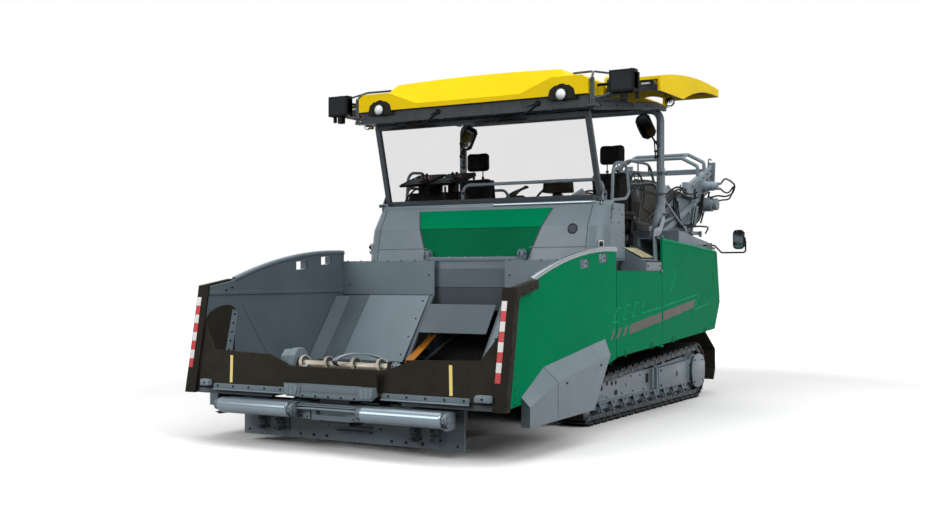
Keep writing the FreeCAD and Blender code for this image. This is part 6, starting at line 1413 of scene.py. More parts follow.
piece = Piece("roof_trim", "chassis", "paint_yellow")
for sign in (1, -1):
    # side rails under the shell and the flap's hinge line
    piece.paint("roofDark")
    piece.bar(spot(sign * 1.285, 2.3, 3.052), spot(sign * 1.285, 3.98, 3.262), 0.045, 0.075, edge=0.006)
    piece.bar(spot(sign * 1.285, 3.98, 3.262), spot(sign * 1.285, 4.24, 3.262), 0.045, 0.06, edge=0.006)
    for share in (0.1, 0.34, 0.58, 0.82):
        y, z = 2.3 + 1.68 * share, 3.052 + 0.21 * share
        piece.paint("boltDark").bolt(spot(sign * 1.3085, y, z), (sign, 0, 0), 0.01)
    # yellow rim that frames the opening beside the shell, and a dark plate in the opening as painted shade
    piece.paint("roofYellow")
    piece.tube(spots((1.345, 2.5, 3.235), (1.345, 2.5, 3.335), (1.345, 2.62, 3.345), (1.78, 2.64, 3.318),
        (1.8, 2.66, 3.262), sign=sign), 0.013, 8, bend=0.03)
    piece.paint("roofDark")
    piece.plate(spots((1.33, 2.54, 3.16), (1.76, 2.66, 3.215), (1.76, 2.66, 3.3), (1.33, 2.54, 3.325), sign=sign),
        (0, 0.008, 0), 0.002)
    piece.paint("lampWhite").block(spot(sign * 1.62, 2.63, 3.262), spot(sign * 1.74, 2.65, 3.285), 0.004)
    # round lamp on a yellow bracket under the flap
    piece.paint("roofYellow").block(spot(sign * 1.72, 3.02, 3.1), spot(sign * 1.752, 3.06, 3.235), 0.004)
    piece.paint("darkPlastic").lathe(spot(sign * 1.79, 3.05, 3.142), (0, -1, 0),
        [(-0.02, 0.03), (0, 0.044), (0.022, 0.046), (0.03, 0.042)], 24)
    piece.paint("mirrorSilver").lathe(spot(sign * 1.79, 3.022, 3.142), (0, -1, 0),
        [(0, 0.04), (0.006, 0.036), (0.012, 0.02)], 24)
# joints of the front fascia and its fixing clips
piece.paint("markYellow")
for x in (-0.33, 0.02):
    piece.bar(spot(x, 2.2195, 3.152), spot(x, 2.2195, 3.245), 0.004, 0.002, up=(0, 1, 0), edge=0.0004)
piece.paint("boltDark")
piece.bolts(spread(spot(-1.15, 2.2195, 3.142), spot(1.15, 2.2195, 3.142), 9), (0, -1, 0), 0.007)
piece.paint("roofDark")
for x in (-0.9, -0.3, 0.3, 0.9):
    piece.block(spot(x - 0.02, 2.206, 3.022), spot(x + 0.02, 2.25, 3.034), 0.002)
piece.done()

piece = Piece("portal_legs", "chassis", "paint_grey")
for sign in (1, -1):
    piece.paint("frameGrey")
    line = [spot(sign * x, y, z) for x, y, z in portalLeg["line"]]
    wide, thick = portalLeg["wide"], portalLeg["thick"]
    side = Vector((sign, 0, 0))
    path = roundPath(line, 0.07, 4, False)
    rings = []
    for k, point in enumerate(path):
        run = (path[min(k + 1, len(path) - 1)] - path[max(k - 1, 0)]).normalized()
        face = (side - run * side.dot(run)).normalized()
        edgeWay = run.cross(face).normalized()
        rings.append([point + face * a * thick / 2 + edgeWay * b * wide / 2 for a,
            b in ((-1, -1), (1, -1), (1, 1), (-1, 1))])
    piece.loft(rings, 0.003)
    # clamp at the tube and foot plate on the step
    for z in (2.56, 2.34, 2.12):
        piece.paint("panelGrey").block(spot(sign * 1.215, 4.176, z - 0.018), spot(sign * 1.29, 4.292, z + 0.018),
            0.006)
        piece.paint("boltDark").bolts(onSide(sign * 1.29, (4.196, z), (4.272, z)), (sign, 0, 0), 0.011)
    piece.paint("frameGrey").block(spot(sign * 1.478, 3.345, 1.504), spot(sign * 1.53, 3.425, 1.53), 0.004)
    piece.paint("boltDark").bolts(onSide(sign * 1.508, *((3.415, 1.54), (3.43, 1.58))), (sign, 0, 0), 0.009)
piece.done()

glass = Piece("mirror_glasses", "chassis", "black_plastic")
for sign in (1, -1):
    tilt = math.radians(-25) * sign
    across, up = Vector((math.cos(tilt), 0, -math.sin(tilt))), Vector((math.sin(tilt), 0, math.cos(tilt)))
    centre = spot(sign * 1.11, 4.106, 3.07)
    for grow, out, depth, finish in ((0.004, 0.0, 0.012, "darkPlastic"), (-0.014, -0.003, 0.006, "mirrorSilver")):
        outline = [centre + Vector((0, out, 0)) + across * (0.082 + grow) * math.copysign(abs(math.cos(t)) ** 0.7,
            math.cos(t)) + up * (0.137 + grow) * math.copysign(abs(math.sin(t)) ** 0.7, math.sin(t))
            for t in (2 * math.pi * k / 36 for k in range(36))]
        glass.paint(finish).plate(outline, (0, depth, 0), 0.002)
    glass.paint("boltDark")
    glass.tube(spots((1.16, 4.15, 2.98), (1.19, 4.175, 2.92), (1.205, 4.18, 2.72), sign=sign), 0.008, 8, bend=0.03)
    for z in (2.9, 2.8, 2.73):
        glass.lathe(spot(sign * 1.205, 4.18, z - 0.012), (0, 0, 1), [(0, 0.018), (0.024, 0.018)], 12)
    glass.block(spot(sign * 1.19, 4.175, 2.735), spot(sign * 1.245, 4.2, 2.755), 0.003)
    # low mirrors beside the hood
    centre = spot(sign * 1.86, 5.018, 1.857)
    across, up = Vector((1, 0, 0)), Vector((0, 0, 1))
    roundedBox(glass.paint("darkPlastic"), centre, across, up, 0.064, 0.109, 0.045, (0, 0.01, 0), 0.002)
    roundedBox(glass.paint("mirrorSilver"), centre - Vector((0, 0.003, 0)), across, up, 0.054, 0.098, 0.04,
        (0, 0.006, 0), 0.001)
    glass.paint("boltDark").block(spot(sign * 1.8, 5.055, 1.83), spot(sign * 1.93, 5.075, 1.88), 0.005)
glass.done()

paintNode("roof_shell", ("roofDark", lambda c, n: n.z < -0.35), ("roofYellow", None))
paintNode("windscreen_frame", ("roofDark", lambda c, n: c.z > 2.985), ("panelGrey", None))
print("roof dressed")

# tracks: shoes on a chain of links, side frame with its plates, roller hangers and sprocket cover
trackLook = {
    "shoes": 46, "inner": 0.865, "outer": 1.17, "idler": (2.56, 0.236), "sprocket": (5.61, 0.331),
    "shoeLong": 0.158, "rollers": 9, "rollerHeight": 0.127,
}
frameLook = {
    "face": 1.1, "plate": ((2.72, 0.205), (4.42, 0.205), (4.42, 0.432), (3.6, 0.432), (3.46, 0.412), (2.72, 0.402)),
    "box": ((4.44, 0.205), (5.5, 0.2), (5.5, 0.462), (4.44, 0.432)),
    "holes": ((3.071, 0.372, 0.022), (3.191, 0.364, 0.022), (3.297, 0.361, 0.02), (2.93, 0.34, 0.03)),
    "ovals": ((3.297, 0.262, 0.045, 0.03), (3.563, 0.322, 0.012, 0.022)), "window": (4.11, 4.2, 0.292, 0.395),
}


# place, running direction and outward direction at a length along the loop
def trackPlace(length):
    (y1, r1), (y2, r2) = trackLook["idler"], trackLook["sprocket"]
    tilt = 2 * math.atan2(r2 - r1, y2 - y1)
    flat = y2 - y1
    arcRear, arcFront = r2 * (math.pi + tilt), r1 * (math.pi - tilt)
    length %= 2 * flat + arcRear + arcFront
    if length < flat:
        turn, y, z = -math.pi / 2, y1 + length, 0.0
    elif length < flat + arcRear:
        turn = -math.pi / 2 + (length - flat) / r2
        y, z = y2 + r2 * math.cos(turn), r2 + r2 * math.sin(turn)
    elif length < 2 * flat + arcRear:
        turn = math.pi / 2 + tilt
        share = (length - flat - arcRear) / flat
        first = Vector((y2 + r2 * math.cos(turn), r2 + r2 * math.sin(turn)))
        last = Vector((y1 + r1 * math.cos(turn), r1 + r1 * math.sin(turn)))
        y, z = first.lerp(last, share)
    else:
        turn = math.pi / 2 + tilt + (length - 2 * flat - arcRear) / r1
        y, z = y1 + r1 * math.cos(turn), r1 + r1 * math.sin(turn)
    return spot(0, y, z), Vector((0, -math.sin(turn), math.cos(turn))), Vector((0, math.cos(turn), math.sin(turn)))


def trackLength():
    (y1, r1), (y2, r2) = trackLook["idler"], trackLook["sprocket"]
    tilt = 2 * math.atan2(r2 - r1, y2 - y1)
    return 2 * (y2 - y1) + r2 * (math.pi + tilt) + r1 * (math.pi - tilt)

for side, sign in sides:
    piece = Piece(side + "_track_chain", "chassis", "track_steel")
    inner, outer = sign * trackLook["inner"], sign * trackLook["outer"]
    pitch = trackLength() / trackLook["shoes"]
    half = trackLook["shoeLong"] / 2
    section = ((-half, -0.046), (half, -0.04), (half, -0.026), (0.046, -0.022), (0.04, -0.0025), (0.026, -0.0025),
        (0.02, -0.022), (-0.02, -0.022), (-0.026, -0.0025), (-0.04, -0.0025), (-0.046, -0.022), (-half, -0.032))
    for k in range(trackLook["shoes"]):
        place, run, out = trackPlace(k * pitch)
        piece.paint("trackSteel")
        piece.plate([place + run * a + out * b + Vector((inner, 0, 0)) for a, b in section], (outer - inner, 0, 0),
            0.002)
        for share in (0.3, 0.44, 0.56, 0.7):
            for a in (-0.06, 0.06):
                piece.lathe(place + run * a + out * -0.034 + Vector((inner + (outer - inner) * share, 0, 0)), out,
                    [(0, 0.011), (0.016, 0.011), (0.018, 0.008)], 6)
        # link plates with their pins
        piece.paint("castMetal")
        for x, wide in ((1.133, 0.02), (1.062, 0.018), (0.955, 0.018), (0.884, 0.018)):
            shape = ((-0.09, -0.052), (0.076, -0.046), (0.084, -0.06), (0.078, -0.094), (0.03, -0.104),
                (-0.03, -0.104), (-0.084, -0.096), (-0.098, -0.07))
            piece.plate([place + run * a + out * b + Vector((sign * x, 0, 0)) for a, b in shape],
                (sign * wide, 0, 0), 0.003)
        piece.paint("boltSteel")
        pin = place + run * 0.08 + out * -0.076 + Vector((sign * 1.15, 0, 0))
        piece.lathe(pin, (sign, 0, 0), [(0, 0.018), (0.007, 0.018), (0.01, 0.012)], 10)
    piece.done(replaces=(side + "_track",))

for side, sign in sides:
    # the side frame's plates are in the lighter grey, painted light where the frame sits in shade
    piece = Piece(side + "_track_plates", "chassis", "paint_grey").paint("litGrey")
    face = sign * frameLook["face"]
    piece.plate([spot(face, y, z) for y, z in frameLook["plate"]], (sign * 0.012, 0, 0), 0.003)
    piece.plate([spot(face, y, z) for y, z in frameLook["box"]], (sign * 0.042, 0, 0), 0.008, steps=2)
    # upright channel between them
    piece.block(spot(face, 4.235, 0.215), spot(face, 4.262, 0.436) + Vector((sign * 0.05, 0, 0)), 0.003)
    piece.block(spot(face, 4.36, 0.215), spot(face, 4.39, 0.44) + Vector((sign * 0.05, 0, 0)), 0.003)
    piece.paint("panelGrey").block(spot(face, 4.262, 0.225), spot(face, 4.36, 0.43) + Vector((sign * 0.02, 0, 0)),
        0.003)
    piece.block(spot(face, 4.3, 0.225), spot(face, 4.318, 0.43) + Vector((sign * 0.034, 0, 0)), 0.002)
    piece.paint("litGrey")
    piece.block(spot(face, 2.8, 0.19), spot(face, 5.48, 0.206) + Vector((sign * 0.034, 0, 0)), 0.003)
    piece.block(spot(face, 3.55, 0.43), spot(face, 4.4, 0.442) + Vector((sign * 0.022, 0, 0)), 0.003)
    # openings in the plate, drawn as black discs of painted shade behind a thin rim
    cut = face + sign * 0.0125
    for y, z, radius in frameLook["holes"]:
        piece.paint("guardBlack").lathe(spot(cut - sign * 0.003, y, z), (sign, 0, 0),
            [(0, radius), (0.0035, radius)], 20)
        piece.paint("panelGrey").ring(spot(cut - sign * 0.003, y, z), (sign, 0, 0), radius, radius + 0.004, 0.005, 20)
    piece.paint("guardBlack")
    for y, z, wide, tall in frameLook["ovals"]:
        outline = [spot(cut - sign * 0.003, y + wide * math.cos(t), z + tall * math.sin(t))
            for t in (2 * math.pi * k / 20 for k in range(20))]
        piece.plate(outline, (sign * 0.0038, 0, 0), 0.0005)
    y1, y2, z1, z2 = frameLook["window"]
    piece.block(spot(cut - sign * 0.003, y1, z1), spot(cut + sign * 0.001, y2, z2), 0.0005)
    piece.paint("boltDark")
    for y in (4.5, 5.44):
        for z in (0.235, 0.4):
            piece.bolt(spot(face + sign * 0.042, y, z), (sign, 0, 0), 0.013)
    piece.bolts(onSide(face + sign * 0.012, *((3.45, 0.24), (3.75, 0.24), (3.95, 0.39), (3.7, 0.4), (3.05, 0.235),
        (4.05, 0.235))), (sign, 0, 0), 0.01)
    # seam and fill cap on the box
    piece.plate(pane(onSide, face + sign * 0.0425, 5.36, 5.366, 0.21, 0.452), (sign * 0.0008, 0, 0), 0.0002)
    piece.paint("boltSteel").lathe(spot(face + sign * 0.042, 5.02, 0.33), (sign, 0, 0),
        [(0, 0.03), (0.008, 0.03), (0.012, 0.024)], 24)

    # hangers: a pair of legs and a bearing cap at each road roller
    first, last = trackLook["idler"][0] + 0.33, trackLook["sprocket"][0] - 0.36
    count, height = trackLook["rollers"], trackLook["rollerHeight"]
    for k in range(count):
        y = first + (last - first) * k / (count - 1)
        place = spot(sign * 1.128, y, height)
        piece.paint("frameGrey")
        for lean in (-1, 1):
            piece.plate([place + Vector((0, lean * 0.01, -0.02)), place + Vector((0, lean * 0.04, 0.01)),
                place + Vector((0, lean * 0.09, 0.078)), place + Vector((0, lean * 0.052, 0.078)),
                place + Vector((0, 0, 0.016))], (sign * 0.014, 0, 0), 0.003)
        piece.lathe(place, (sign, 0, 0), [(0, 0.036), (0.016, 0.036), (0.02, 0.031)], 20)
        piece.paint("boltDark").bolt(place + Vector((sign * 0.019, 0, 0)), (sign, 0, 0), 0.013)
    # carrier rollers' brackets on top
    for share in (0.3, 0.62):
        y = trackLook["idler"][0] + (trackLook["sprocket"][0] - trackLook["idler"][0]) * share
        z = 0.455 + 0.19 * share
        piece.paint("panelGrey").plate(onSide(sign * 1.085, (y - 0.07, 0.43), (y + 0.07, 0.43), (y + 0.03, z - 0.06),
            (y - 0.03, z - 0.06)), (sign * 0.014, 0, 0), 0.003)

    # sprocket cover: plain bolted plate in the lighter grey as painted light, with a dark gear rim behind it
    cy, cz = 5.655, 0.322
    outline = []
    for k in range(48):
        t = 2 * math.pi * k / 48
        c, s = math.cos(t), math.sin(t)
        outline.append((cy + math.copysign(abs(c) ** 0.8, c) * (0.25 if c > 0 else 0.205),
            cz + math.copysign(abs(s) ** 0.8, s) * 0.2))
    piece.paint("litGrey").plate(onSide(sign * 1.165, *outline), (sign * 0.012, 0, 0), 0.004, steps=2)
    piece.paint("panelGrey").lathe(spot(sign * 1.1, 5.61, 0.331), (sign, 0, 0), [(0, 0.17), (0.066, 0.17)], 32)
    piece.paint("boltDark")
    for a, b in ((-0.13, 0.13), (0.15, 0.12), (0.15, -0.12), (-0.13, -0.13)):
        piece.bolt(spot(sign * 1.177, cy + a, cz + b), (sign, 0, 0), 0.012)
    # teeth round the sprocket
    piece.paint("castMetal")
    for k in range(22):
        t = 2 * math.pi * k / 22
        radial = Vector((0, math.cos(t), math.sin(t)))
        centre = spot(sign * 1.005, 5.61, 0.331)
        piece.bar(centre + radial * 0.235, centre + radial * 0.272, 0.045, 0.03, up=(1, 0, 0), edge=0.006)
    # idler's yoke and tension rod
    piece.paint("frameGrey")
    piece.block(spot(sign * 1.1, 2.5, 0.205), spot(sign * 1.125, 2.98, 0.265), 0.006)
    piece.lathe(spot(sign * 1.1, 2.56, 0.236), (sign, 0, 0),
        [(0, 0.075), (0.026, 0.075), (0.034, 0.066), (0.036, 0.03)], 32)
    piece.paint("boltSteel").bolts([spot(sign * 1.132, 2.56 + 0.052 * math.cos(t), 0.236 + 0.052 * math.sin(t))
        for t in (0.8, 2.36, 3.93, 5.5)], (sign, 0, 0), 0.008)
    piece.done()

    # shield between the track and the hull
    shield = Piece(side + "_track_shield", "chassis", "rubber_black").paint("guardBlack")
    shield.plate(onSide(sign * 0.85, (2.42, 0.3), (5.88, 0.4), (5.88, 0.98), (2.42, 1.2)), (sign * -0.008, 0, 0),
        0.002)
    shield.paint("boltDark").bolts(spread(spot(sign * 0.85, 2.7, 0.92), spot(sign * 0.85, 5.7, 0.92), 8),
        (sign, 0, 0), 0.012)
    shield.done()

print("tracks dressed")

# rear: ribbed side panels, struts, guard rings, hose runs, discharge head with its motor and hose loops
rearPanel = {"outline": ((6.42, 2.3), (6.55, 2.46), (7.12, 2.585), (7.3, 2.44), (7.12, 2.16), (6.66, 2.08)),
    "face": 0.579, "ribs": 9}
dischargeHead = {"low": (6.9, 2.585), "high": (7.86, 2.915), "face": 0.6, "tall": 0.13}
motor = {"place": (7.42, 2.655), "from": 0.6, "to": 0.845, "radius": 0.075}

for side, sign in sides:
    # side panels in the lighter grey as painted light
    piece = Piece(side + "_conveyor_side", "chassis", "paint_grey").paint("litGrey")
    face = sign * rearPanel["face"]
    outline = rearPanel["outline"]
    piece.plate(onSide(face, *outline), (sign * 0.012, 0, 0), 0.005, steps=2)
    piece.paint("frameGrey").tube(onSide(face + sign * 0.012, *outline), 0.014, 8, bend=0.06, loop=True)
    # pressed ribs, slanted, each cut to the panel
    corners = [Vector((y, z)) for y, z in outline]
    middle = sum(corners, Vector((0, 0))) / len(corners)
    way, across = Vector((0.5, -0.866)), Vector((0.866, 0.5))
    for k in range(rearPanel["ribs"]):
        start = middle + across * ((k - (rearPanel["ribs"] - 1) / 2) * 0.068)
        reach = []
        for a, b in zip(corners, corners[1:] + corners[:1]):
            edge = b - a
            det = way.x * -edge.y + way.y * edge.x
            if abs(det) < 1e-9:
                continue
            gap = a - start
            t = (gap.x * -edge.y + gap.y * edge.x) / det
            u = (way.x * gap.y - way.y * gap.x) / det
            if 0 <= u <= 1:
                reach.append(t)
        if len(reach) < 2:
            continue
        low, high = min(reach) + 0.045, max(reach) - 0.045
        if high - low < 0.06:
            continue
        first, last = start + way * low, start + way * high
        piece.paint("frameGrey").bar(spot(face + sign * 0.014, first.x, first.y),
            spot(face + sign * 0.014, last.x, last.y), 0.024, 0.014, up=(1, 0, 0), edge=0.004)
    piece.paint("boltDark").bolts(onSide(face + sign * 0.026, *outline), (sign, 0, 0), 0.012)
    # bolted cheek plates before the panel and a box over the boom
    piece.paint("frameGrey")
    piece.plate(onSide(face, (5.86, 2.12), (6.32, 2.26), (6.4, 2.48), (6.2, 2.6), (5.9, 2.5), (5.8, 2.3)),
        (sign * 0.03, 0, 0), 0.01, steps=2)
    piece.plate(onSide(face + sign * 0.03, (5.92, 2.2), (6.2, 2.28), (6.26, 2.44), (5.96, 2.4)),
        (sign * 0.016, 0, 0), 0.006)
    piece.paint("boltDark").bolts(onSide(face + sign * 0.031,
        *((5.9, 2.16), (6.3, 2.32), (6.32, 2.5), (6.16, 2.56), (5.94, 2.47), (5.85, 2.3))), (sign, 0, 0), 0.012)
    piece.bolts(onSide(face + sign * 0.047, *((5.98, 2.24), (6.18, 2.3), (6.2, 2.41), (6.0, 2.37))), (sign, 0, 0),
        0.009)
    # braces from the hood up to the boom, with forked ends, in the lighter grey as painted light
    piece.paint("litGrey")
    for start, end, x1, x2 in (((5.7, 2.47), (6.62, 2.06), 0.66, 0.66), ((5.45, 2.02), (6.9, 2.3), 0.62, 0.62),
            ((6.95, 2.02), (7.12, 2.44), 0.64, 0.64)):
        first, last = spot(sign * x1, *start), spot(sign * x2, *end)
        piece.rod(first, last, 0.016, 12)
        for end in (first, last):
            piece.lathe(end - Vector((sign * 0.022, 0, 0)), (sign, 0, 0), [(0, 0.03), (0.044, 0.03)], 14)
    piece.paint("boltSteel").rod(spot(sign * 0.67, 6.98, 2.1), spot(sign * 0.67, 7.09, 2.37), 0.024, 14)
    # lower ledge with clips
    piece.paint("frameGrey").bar(spot(sign * 0.6, 5.5, 1.985), spot(sign * 0.6, 7.36, 2.02), 0.06, 0.05, edge=0.006)
    for y in (5.7, 6.1, 6.5, 6.9, 7.25):
        piece.paint("boltDark").bolt(spot(sign * 0.63, y, 1.99 + 0.019 * (y - 5.5)), (sign, 0, 0), 0.01)
        piece.paint("panelGrey").block(spot(sign * 0.635, y + 0.05, 1.97) - Vector((0.012, 0, 0)),
            spot(sign * 0.635, y + 0.1, 2.05) + Vector((0.012, 0, 0)), 0.004)
    piece.done()

# guard rings and ribs on the belt cover, hand rail over it
piece = Piece("belt_cover_parts", "chassis", "black_plastic")
x = 0.572
piece.paint("deepGrey")
for radius, thick in ((0.245, 0.012), (0.165, 0.009), (0.08, 0.008)):
    ring = [spot(x, 5.2 + radius * math.cos(t), 2.43 + radius * math.sin(t))
        for t in (2 * math.pi * k / 32 for k in range(32))]
    piece.tube(ring, thick, 8, loop=True)
for k in range(10):
    t = 2 * math.pi * k / 10
    piece.bar(spot(x, 5.2 + 0.08 * math.cos(t), 2.43 + 0.08 * math.sin(t)),
        spot(x, 5.2 + 0.245 * math.cos(t), 2.43 + 0.245 * math.sin(t)), 0.01, 0.008, up=(1, 0, 0), edge=0.002)
piece.paint("castMetal").lathe(spot(x, 5.2, 2.43), (1, 0, 0), [(-0.01, 0.055), (0.016, 0.05), (0.022, 0.03)],
    20)
piece.paint("deepGrey")
piece.bar(spot(x, 4.86, 2.4), spot(x, 5.66, 2.47), 0.05, 0.012, up=(1, 0, 0), edge=0.004)
# guard rail with rounded corners, and uprights
piece.paint("panelGrey")
piece.tube(onSide(0.6, (4.62, 2.02), (4.55, 2.6), (4.82, 2.79), (5.55, 2.8), (5.75, 2.52)), 0.016, 10,
    bend=0.12)
piece.tube(onSide(0.6, (4.57, 2.42), (4.8, 2.66), (5.6, 2.7)), 0.012, 10, bend=0.08)
piece.paint("deepGrey")
for y, z in ((4.82, 2.79), (5.18, 2.8), (5.52, 2.8)):
    piece.rod(spot(0.6, y, z - 0.012), spot(0.6, y, z - 0.13), 0.009, 8)
for sign in (1, -1):
    # intake box and pipes beside the seat
    piece.paint("guardBlack")
    piece.block(spot(sign * 0.6, 4.44, 1.9) - Vector((0.02, 0, 0)),
        spot(sign * 0.6, 4.86, 2.06) + Vector((sign * 0.28, 0, 0)), 0.03, 3)
    piece.plate(onSide(sign * 0.62, (4.5, 2.05), (4.8, 2.05), (4.84, 2.34), (4.6, 2.42), (4.46, 2.22)),
        (sign * 0.16, 0, 0), 0.02, 2)
    piece.paint("deepGrey")
    for k in range(6):
        piece.bar(spot(sign * 0.781, 4.52 + 0.045 * k, 2.12), spot(sign * 0.781, 4.55 + 0.045 * k, 2.3), 0.012, 0.01,
            up=(1, 0, 0), edge=0.002)
    piece.paint("hoseRubber")
    for k, (x1, y1, bulge) in enumerate(((0.7, 4.4, 0.1), (0.76, 4.42, 0.05), (0.83, 4.46, 0.12), (0.66, 4.9, 0.08))):
        piece.tube(spots((x1, y1, 1.9), (x1 + 0.02, y1 - bulge, 2.15), (x1 - 0.04, y1 + 0.04, 2.42),
            (0.62, y1 + 0.25, 2.52), sign=sign), 0.015, 8, bend=0.12)
    piece.paint("markYellow").block(spot(sign * 0.8, 4.425, 1.99), spot(sign * 0.83, 4.438, 2.06), 0.003)
# crosswise ribs over the arch
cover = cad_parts["belt_cover"]
piece.paint("deepGrey")
for y in (4.3, 4.8, 5.3, 5.8, 6.3):
    line = []
    for k in range(13):
        x = -0.54 + 0.09 * k
        hit, place, facing, index = cover.ray_cast(Vector((x, spot(0, y, 0).y, 4.0)), Vector((0, 0, -1)))
        if hit:
            line.append(place + Vector((0, 0, 0.004)))
    if len(line) > 2:
        piece.tube(line, 0.01, 6)
piece.done()

piece = Piece("hose_runs", "chassis", "belt_rubber")
for sign in (1, -1):
    for k, drop in enumerate((0.0, 0.035, 0.07, 0.105)):
        x = sign * (0.615 + 0.018 * (k % 2))
        sag = 0.02 * (k % 3)
        piece.paint("hoseRubber").tube(onSide(x, (5.3, 2.05 - drop * 0.4), (5.8, 2.28 - drop - sag),
            (6.2, 2.52 - drop), (6.5, 2.6 - drop * 0.8), (6.9, 2.56 - drop - sag), (7.2, 2.6 - drop)), 0.013, 8,
            bend=0.16)
    for k in range(3):
        x = sign * (0.625 + 0.02 * k)
        piece.tube(onSide(x, (6.35, 2.5 - 0.05 * k), (6.32 + 0.03 * k, 2.25), (6.55, 2.1 - 0.03 * k), (7.0, 2.12),
            (7.26, 2.3 - 0.04 * k), (7.36, 2.55)), 0.011, 8, bend=0.14)
    piece.tube(spots((0.66, 6.6, 2.06), (0.76, 6.9, 2.1), (0.76, 7.3, 2.1), (0.68, 7.4, 2.02), sign=sign), 0.011, 8,
        bend=0.12)
    piece.paint("boltSteel")
    for y, z in ((5.8, 2.22), (6.2, 2.46), (6.62, 2.555), (7.02, 2.53)):
        piece.bar(spot(sign * 0.604, y, z - 0.06), spot(sign * 0.604, y + 0.02, z + 0.075), 0.045, 0.006,
            up=(1, 0, 0), edge=0.002)
        piece.bolt(spot(sign * 0.64, y + 0.01, z), (sign, 0, 0), 0.01)
piece.done()

piece = Piece("discharge_head", "chassis", "paint_grey")
(y1, z1), (y2, z2) = dischargeHead["low"], dischargeHead["high"]
face, tall = dischargeHead["face"], dischargeHead["tall"]
for sign in (1, -1):
    # beams in the lighter grey as painted light
    piece.paint("litGrey")
    piece.bar(spot(sign * face, y1, z1), spot(sign * face, y2, z2), 0.055, tall, edge=0.01)
    piece.bar(spot(sign * (face + 0.035), y1 + 0.12, z1 + 0.05), spot(sign * (face + 0.035), y2 - 0.1, z2 + 0.03),
        0.02, 0.05, edge=0.005)
    piece.block(spot(sign * 0.56, y1 - 0.1, z1 - 0.1), spot(sign * 0.64, y1 + 0.1, z1 + 0.09), 0.012, 2)
    piece.paint("frameGrey")
    # stacked plates under the beam, standing on the boom
    for k in range(5):
        t = 0.1 + 0.17 * k
        y, z = y1 + (y2 - y1) * t, z1 + (z2 - z1) * t
        piece.block(spot(sign * 0.575, y, z - 0.2), spot(sign * 0.64, y + 0.045, z - 0.04), 0.005)
    piece.plate(onSide(sign * 0.585, (7.05, 2.42), (7.55, 2.48), (7.78, 2.86), (7.6, 2.86), (6.98, 2.58)),
        (sign * 0.02, 0, 0), 0.005)
    piece.paint("boltDark")
    for k in range(6):
        t = 0.06 + 0.175 * k
        piece.bolt(spot(sign * (face + 0.0275), y1 + (y2 - y1) * t, z1 + (z2 - z1) * t), (sign, 0, 0), 0.013)
    # end plate that closes the head, with a lamp and a handle
    piece.paint("frameGrey").plate(spots((0.56, 7.84, 2.7), (0.66, 7.84, 2.7), (0.66, 7.88, 3.02),
        (0.56, 7.88, 3.02), sign=sign), (0, 0.014, 0), 0.004)
    piece.paint("panelGrey").tube(onSide(sign * 0.61, (7.72, 2.94), (7.74, 3.06), (7.86, 3.05)), 0.009, 8, bend=0.04)
    piece.paint("tapeRed").lathe(spot(sign * 0.61, 7.855, 2.78), (0, 1, 0),
        [(0, 0.034), (0.02, 0.034), (0.03, 0.024)], 20)
    # slender rods down to the boom
    piece.paint("boltDark")
    piece.rod(spot(sign * 0.62, 7.62, 2.72), spot(sign * 0.62, 7.8, 2.44), 0.01, 8)
    piece.rod(spot(sign * 0.63, 7.72, 2.6), spot(sign * 0.63, 7.35, 2.16), 0.012, 8)
piece.paint("frameGrey")
piece.bar(spot(-face, y2 - 0.04, z2 - 0.02), spot(face, y2 - 0.04, z2 - 0.02), 0.09, 0.07, edge=0.008)
piece.done()

drive = Piece("discharge_motor", "chassis", "belt_rubber")
y, z = motor["place"]
radius = motor["radius"]
# motor body in the lighter grey as painted light
drive.paint("litGrey")
drive.lathe(spot(motor["from"], y, z), (1, 0, 0),
    [(0, radius * 1.25), (0.02, radius * 1.25), (0.024, radius), (0.1, radius), (0.104, radius * 0.84),
    (0.19, radius * 0.84), (0.2, radius * 0.74), (0.245, radius * 0.62)], 28)
drive.paint("boltDark")
for k in range(8):
    t = 2 * math.pi * k / 8
    drive.bolt(spot(motor["from"] + 0.02, y + radius * 1.12 * math.cos(t),
        z + radius * 1.12 * math.sin(t)), (1, 0, 0), 0.009)
end = motor["to"]
drive.paint("boltSteel")
for dz in (-0.035, 0.035):
    drive.rod(spot(end - 0.03, y + 0.03, z + dz), spot(end + 0.01, y + 0.09, z + dz), 0.017, 10)
# hoses leave backwards and come round to the lower port
drive.paint("hoseRubber")
drive.tube(spots((end + 0.01, y + 0.09, z + 0.035), (end + 0.03, y + 0.2, z + 0.115),
    (end + 0.03, y + 0.46, z + 0.1), (end + 0.03, 8.1, 2.705), (end + 0.03, 7.98, 2.585),
    (end + 0.02, 7.7, 2.525), (end - 0.02, 7.48, 2.53), (end - 0.08, 7.36, 2.5)), 0.012, 10, bend=0.1)
drive.tube(spots((end + 0.01, y + 0.09, z - 0.035), (end + 0.02, y + 0.22, z - 0.075),
    (end + 0.02, y + 0.42, z - 0.07), (end + 0.02, 8.04, 2.69), (end + 0.01, 8.085, 2.66),
    (end + 0.01, 7.9, 2.5), (end - 0.02, 7.6, 2.475), (end - 0.1, 7.36, 2.42)), 0.011, 10, bend=0.1)
drive.done(replaces=("conveyor_hoses",))

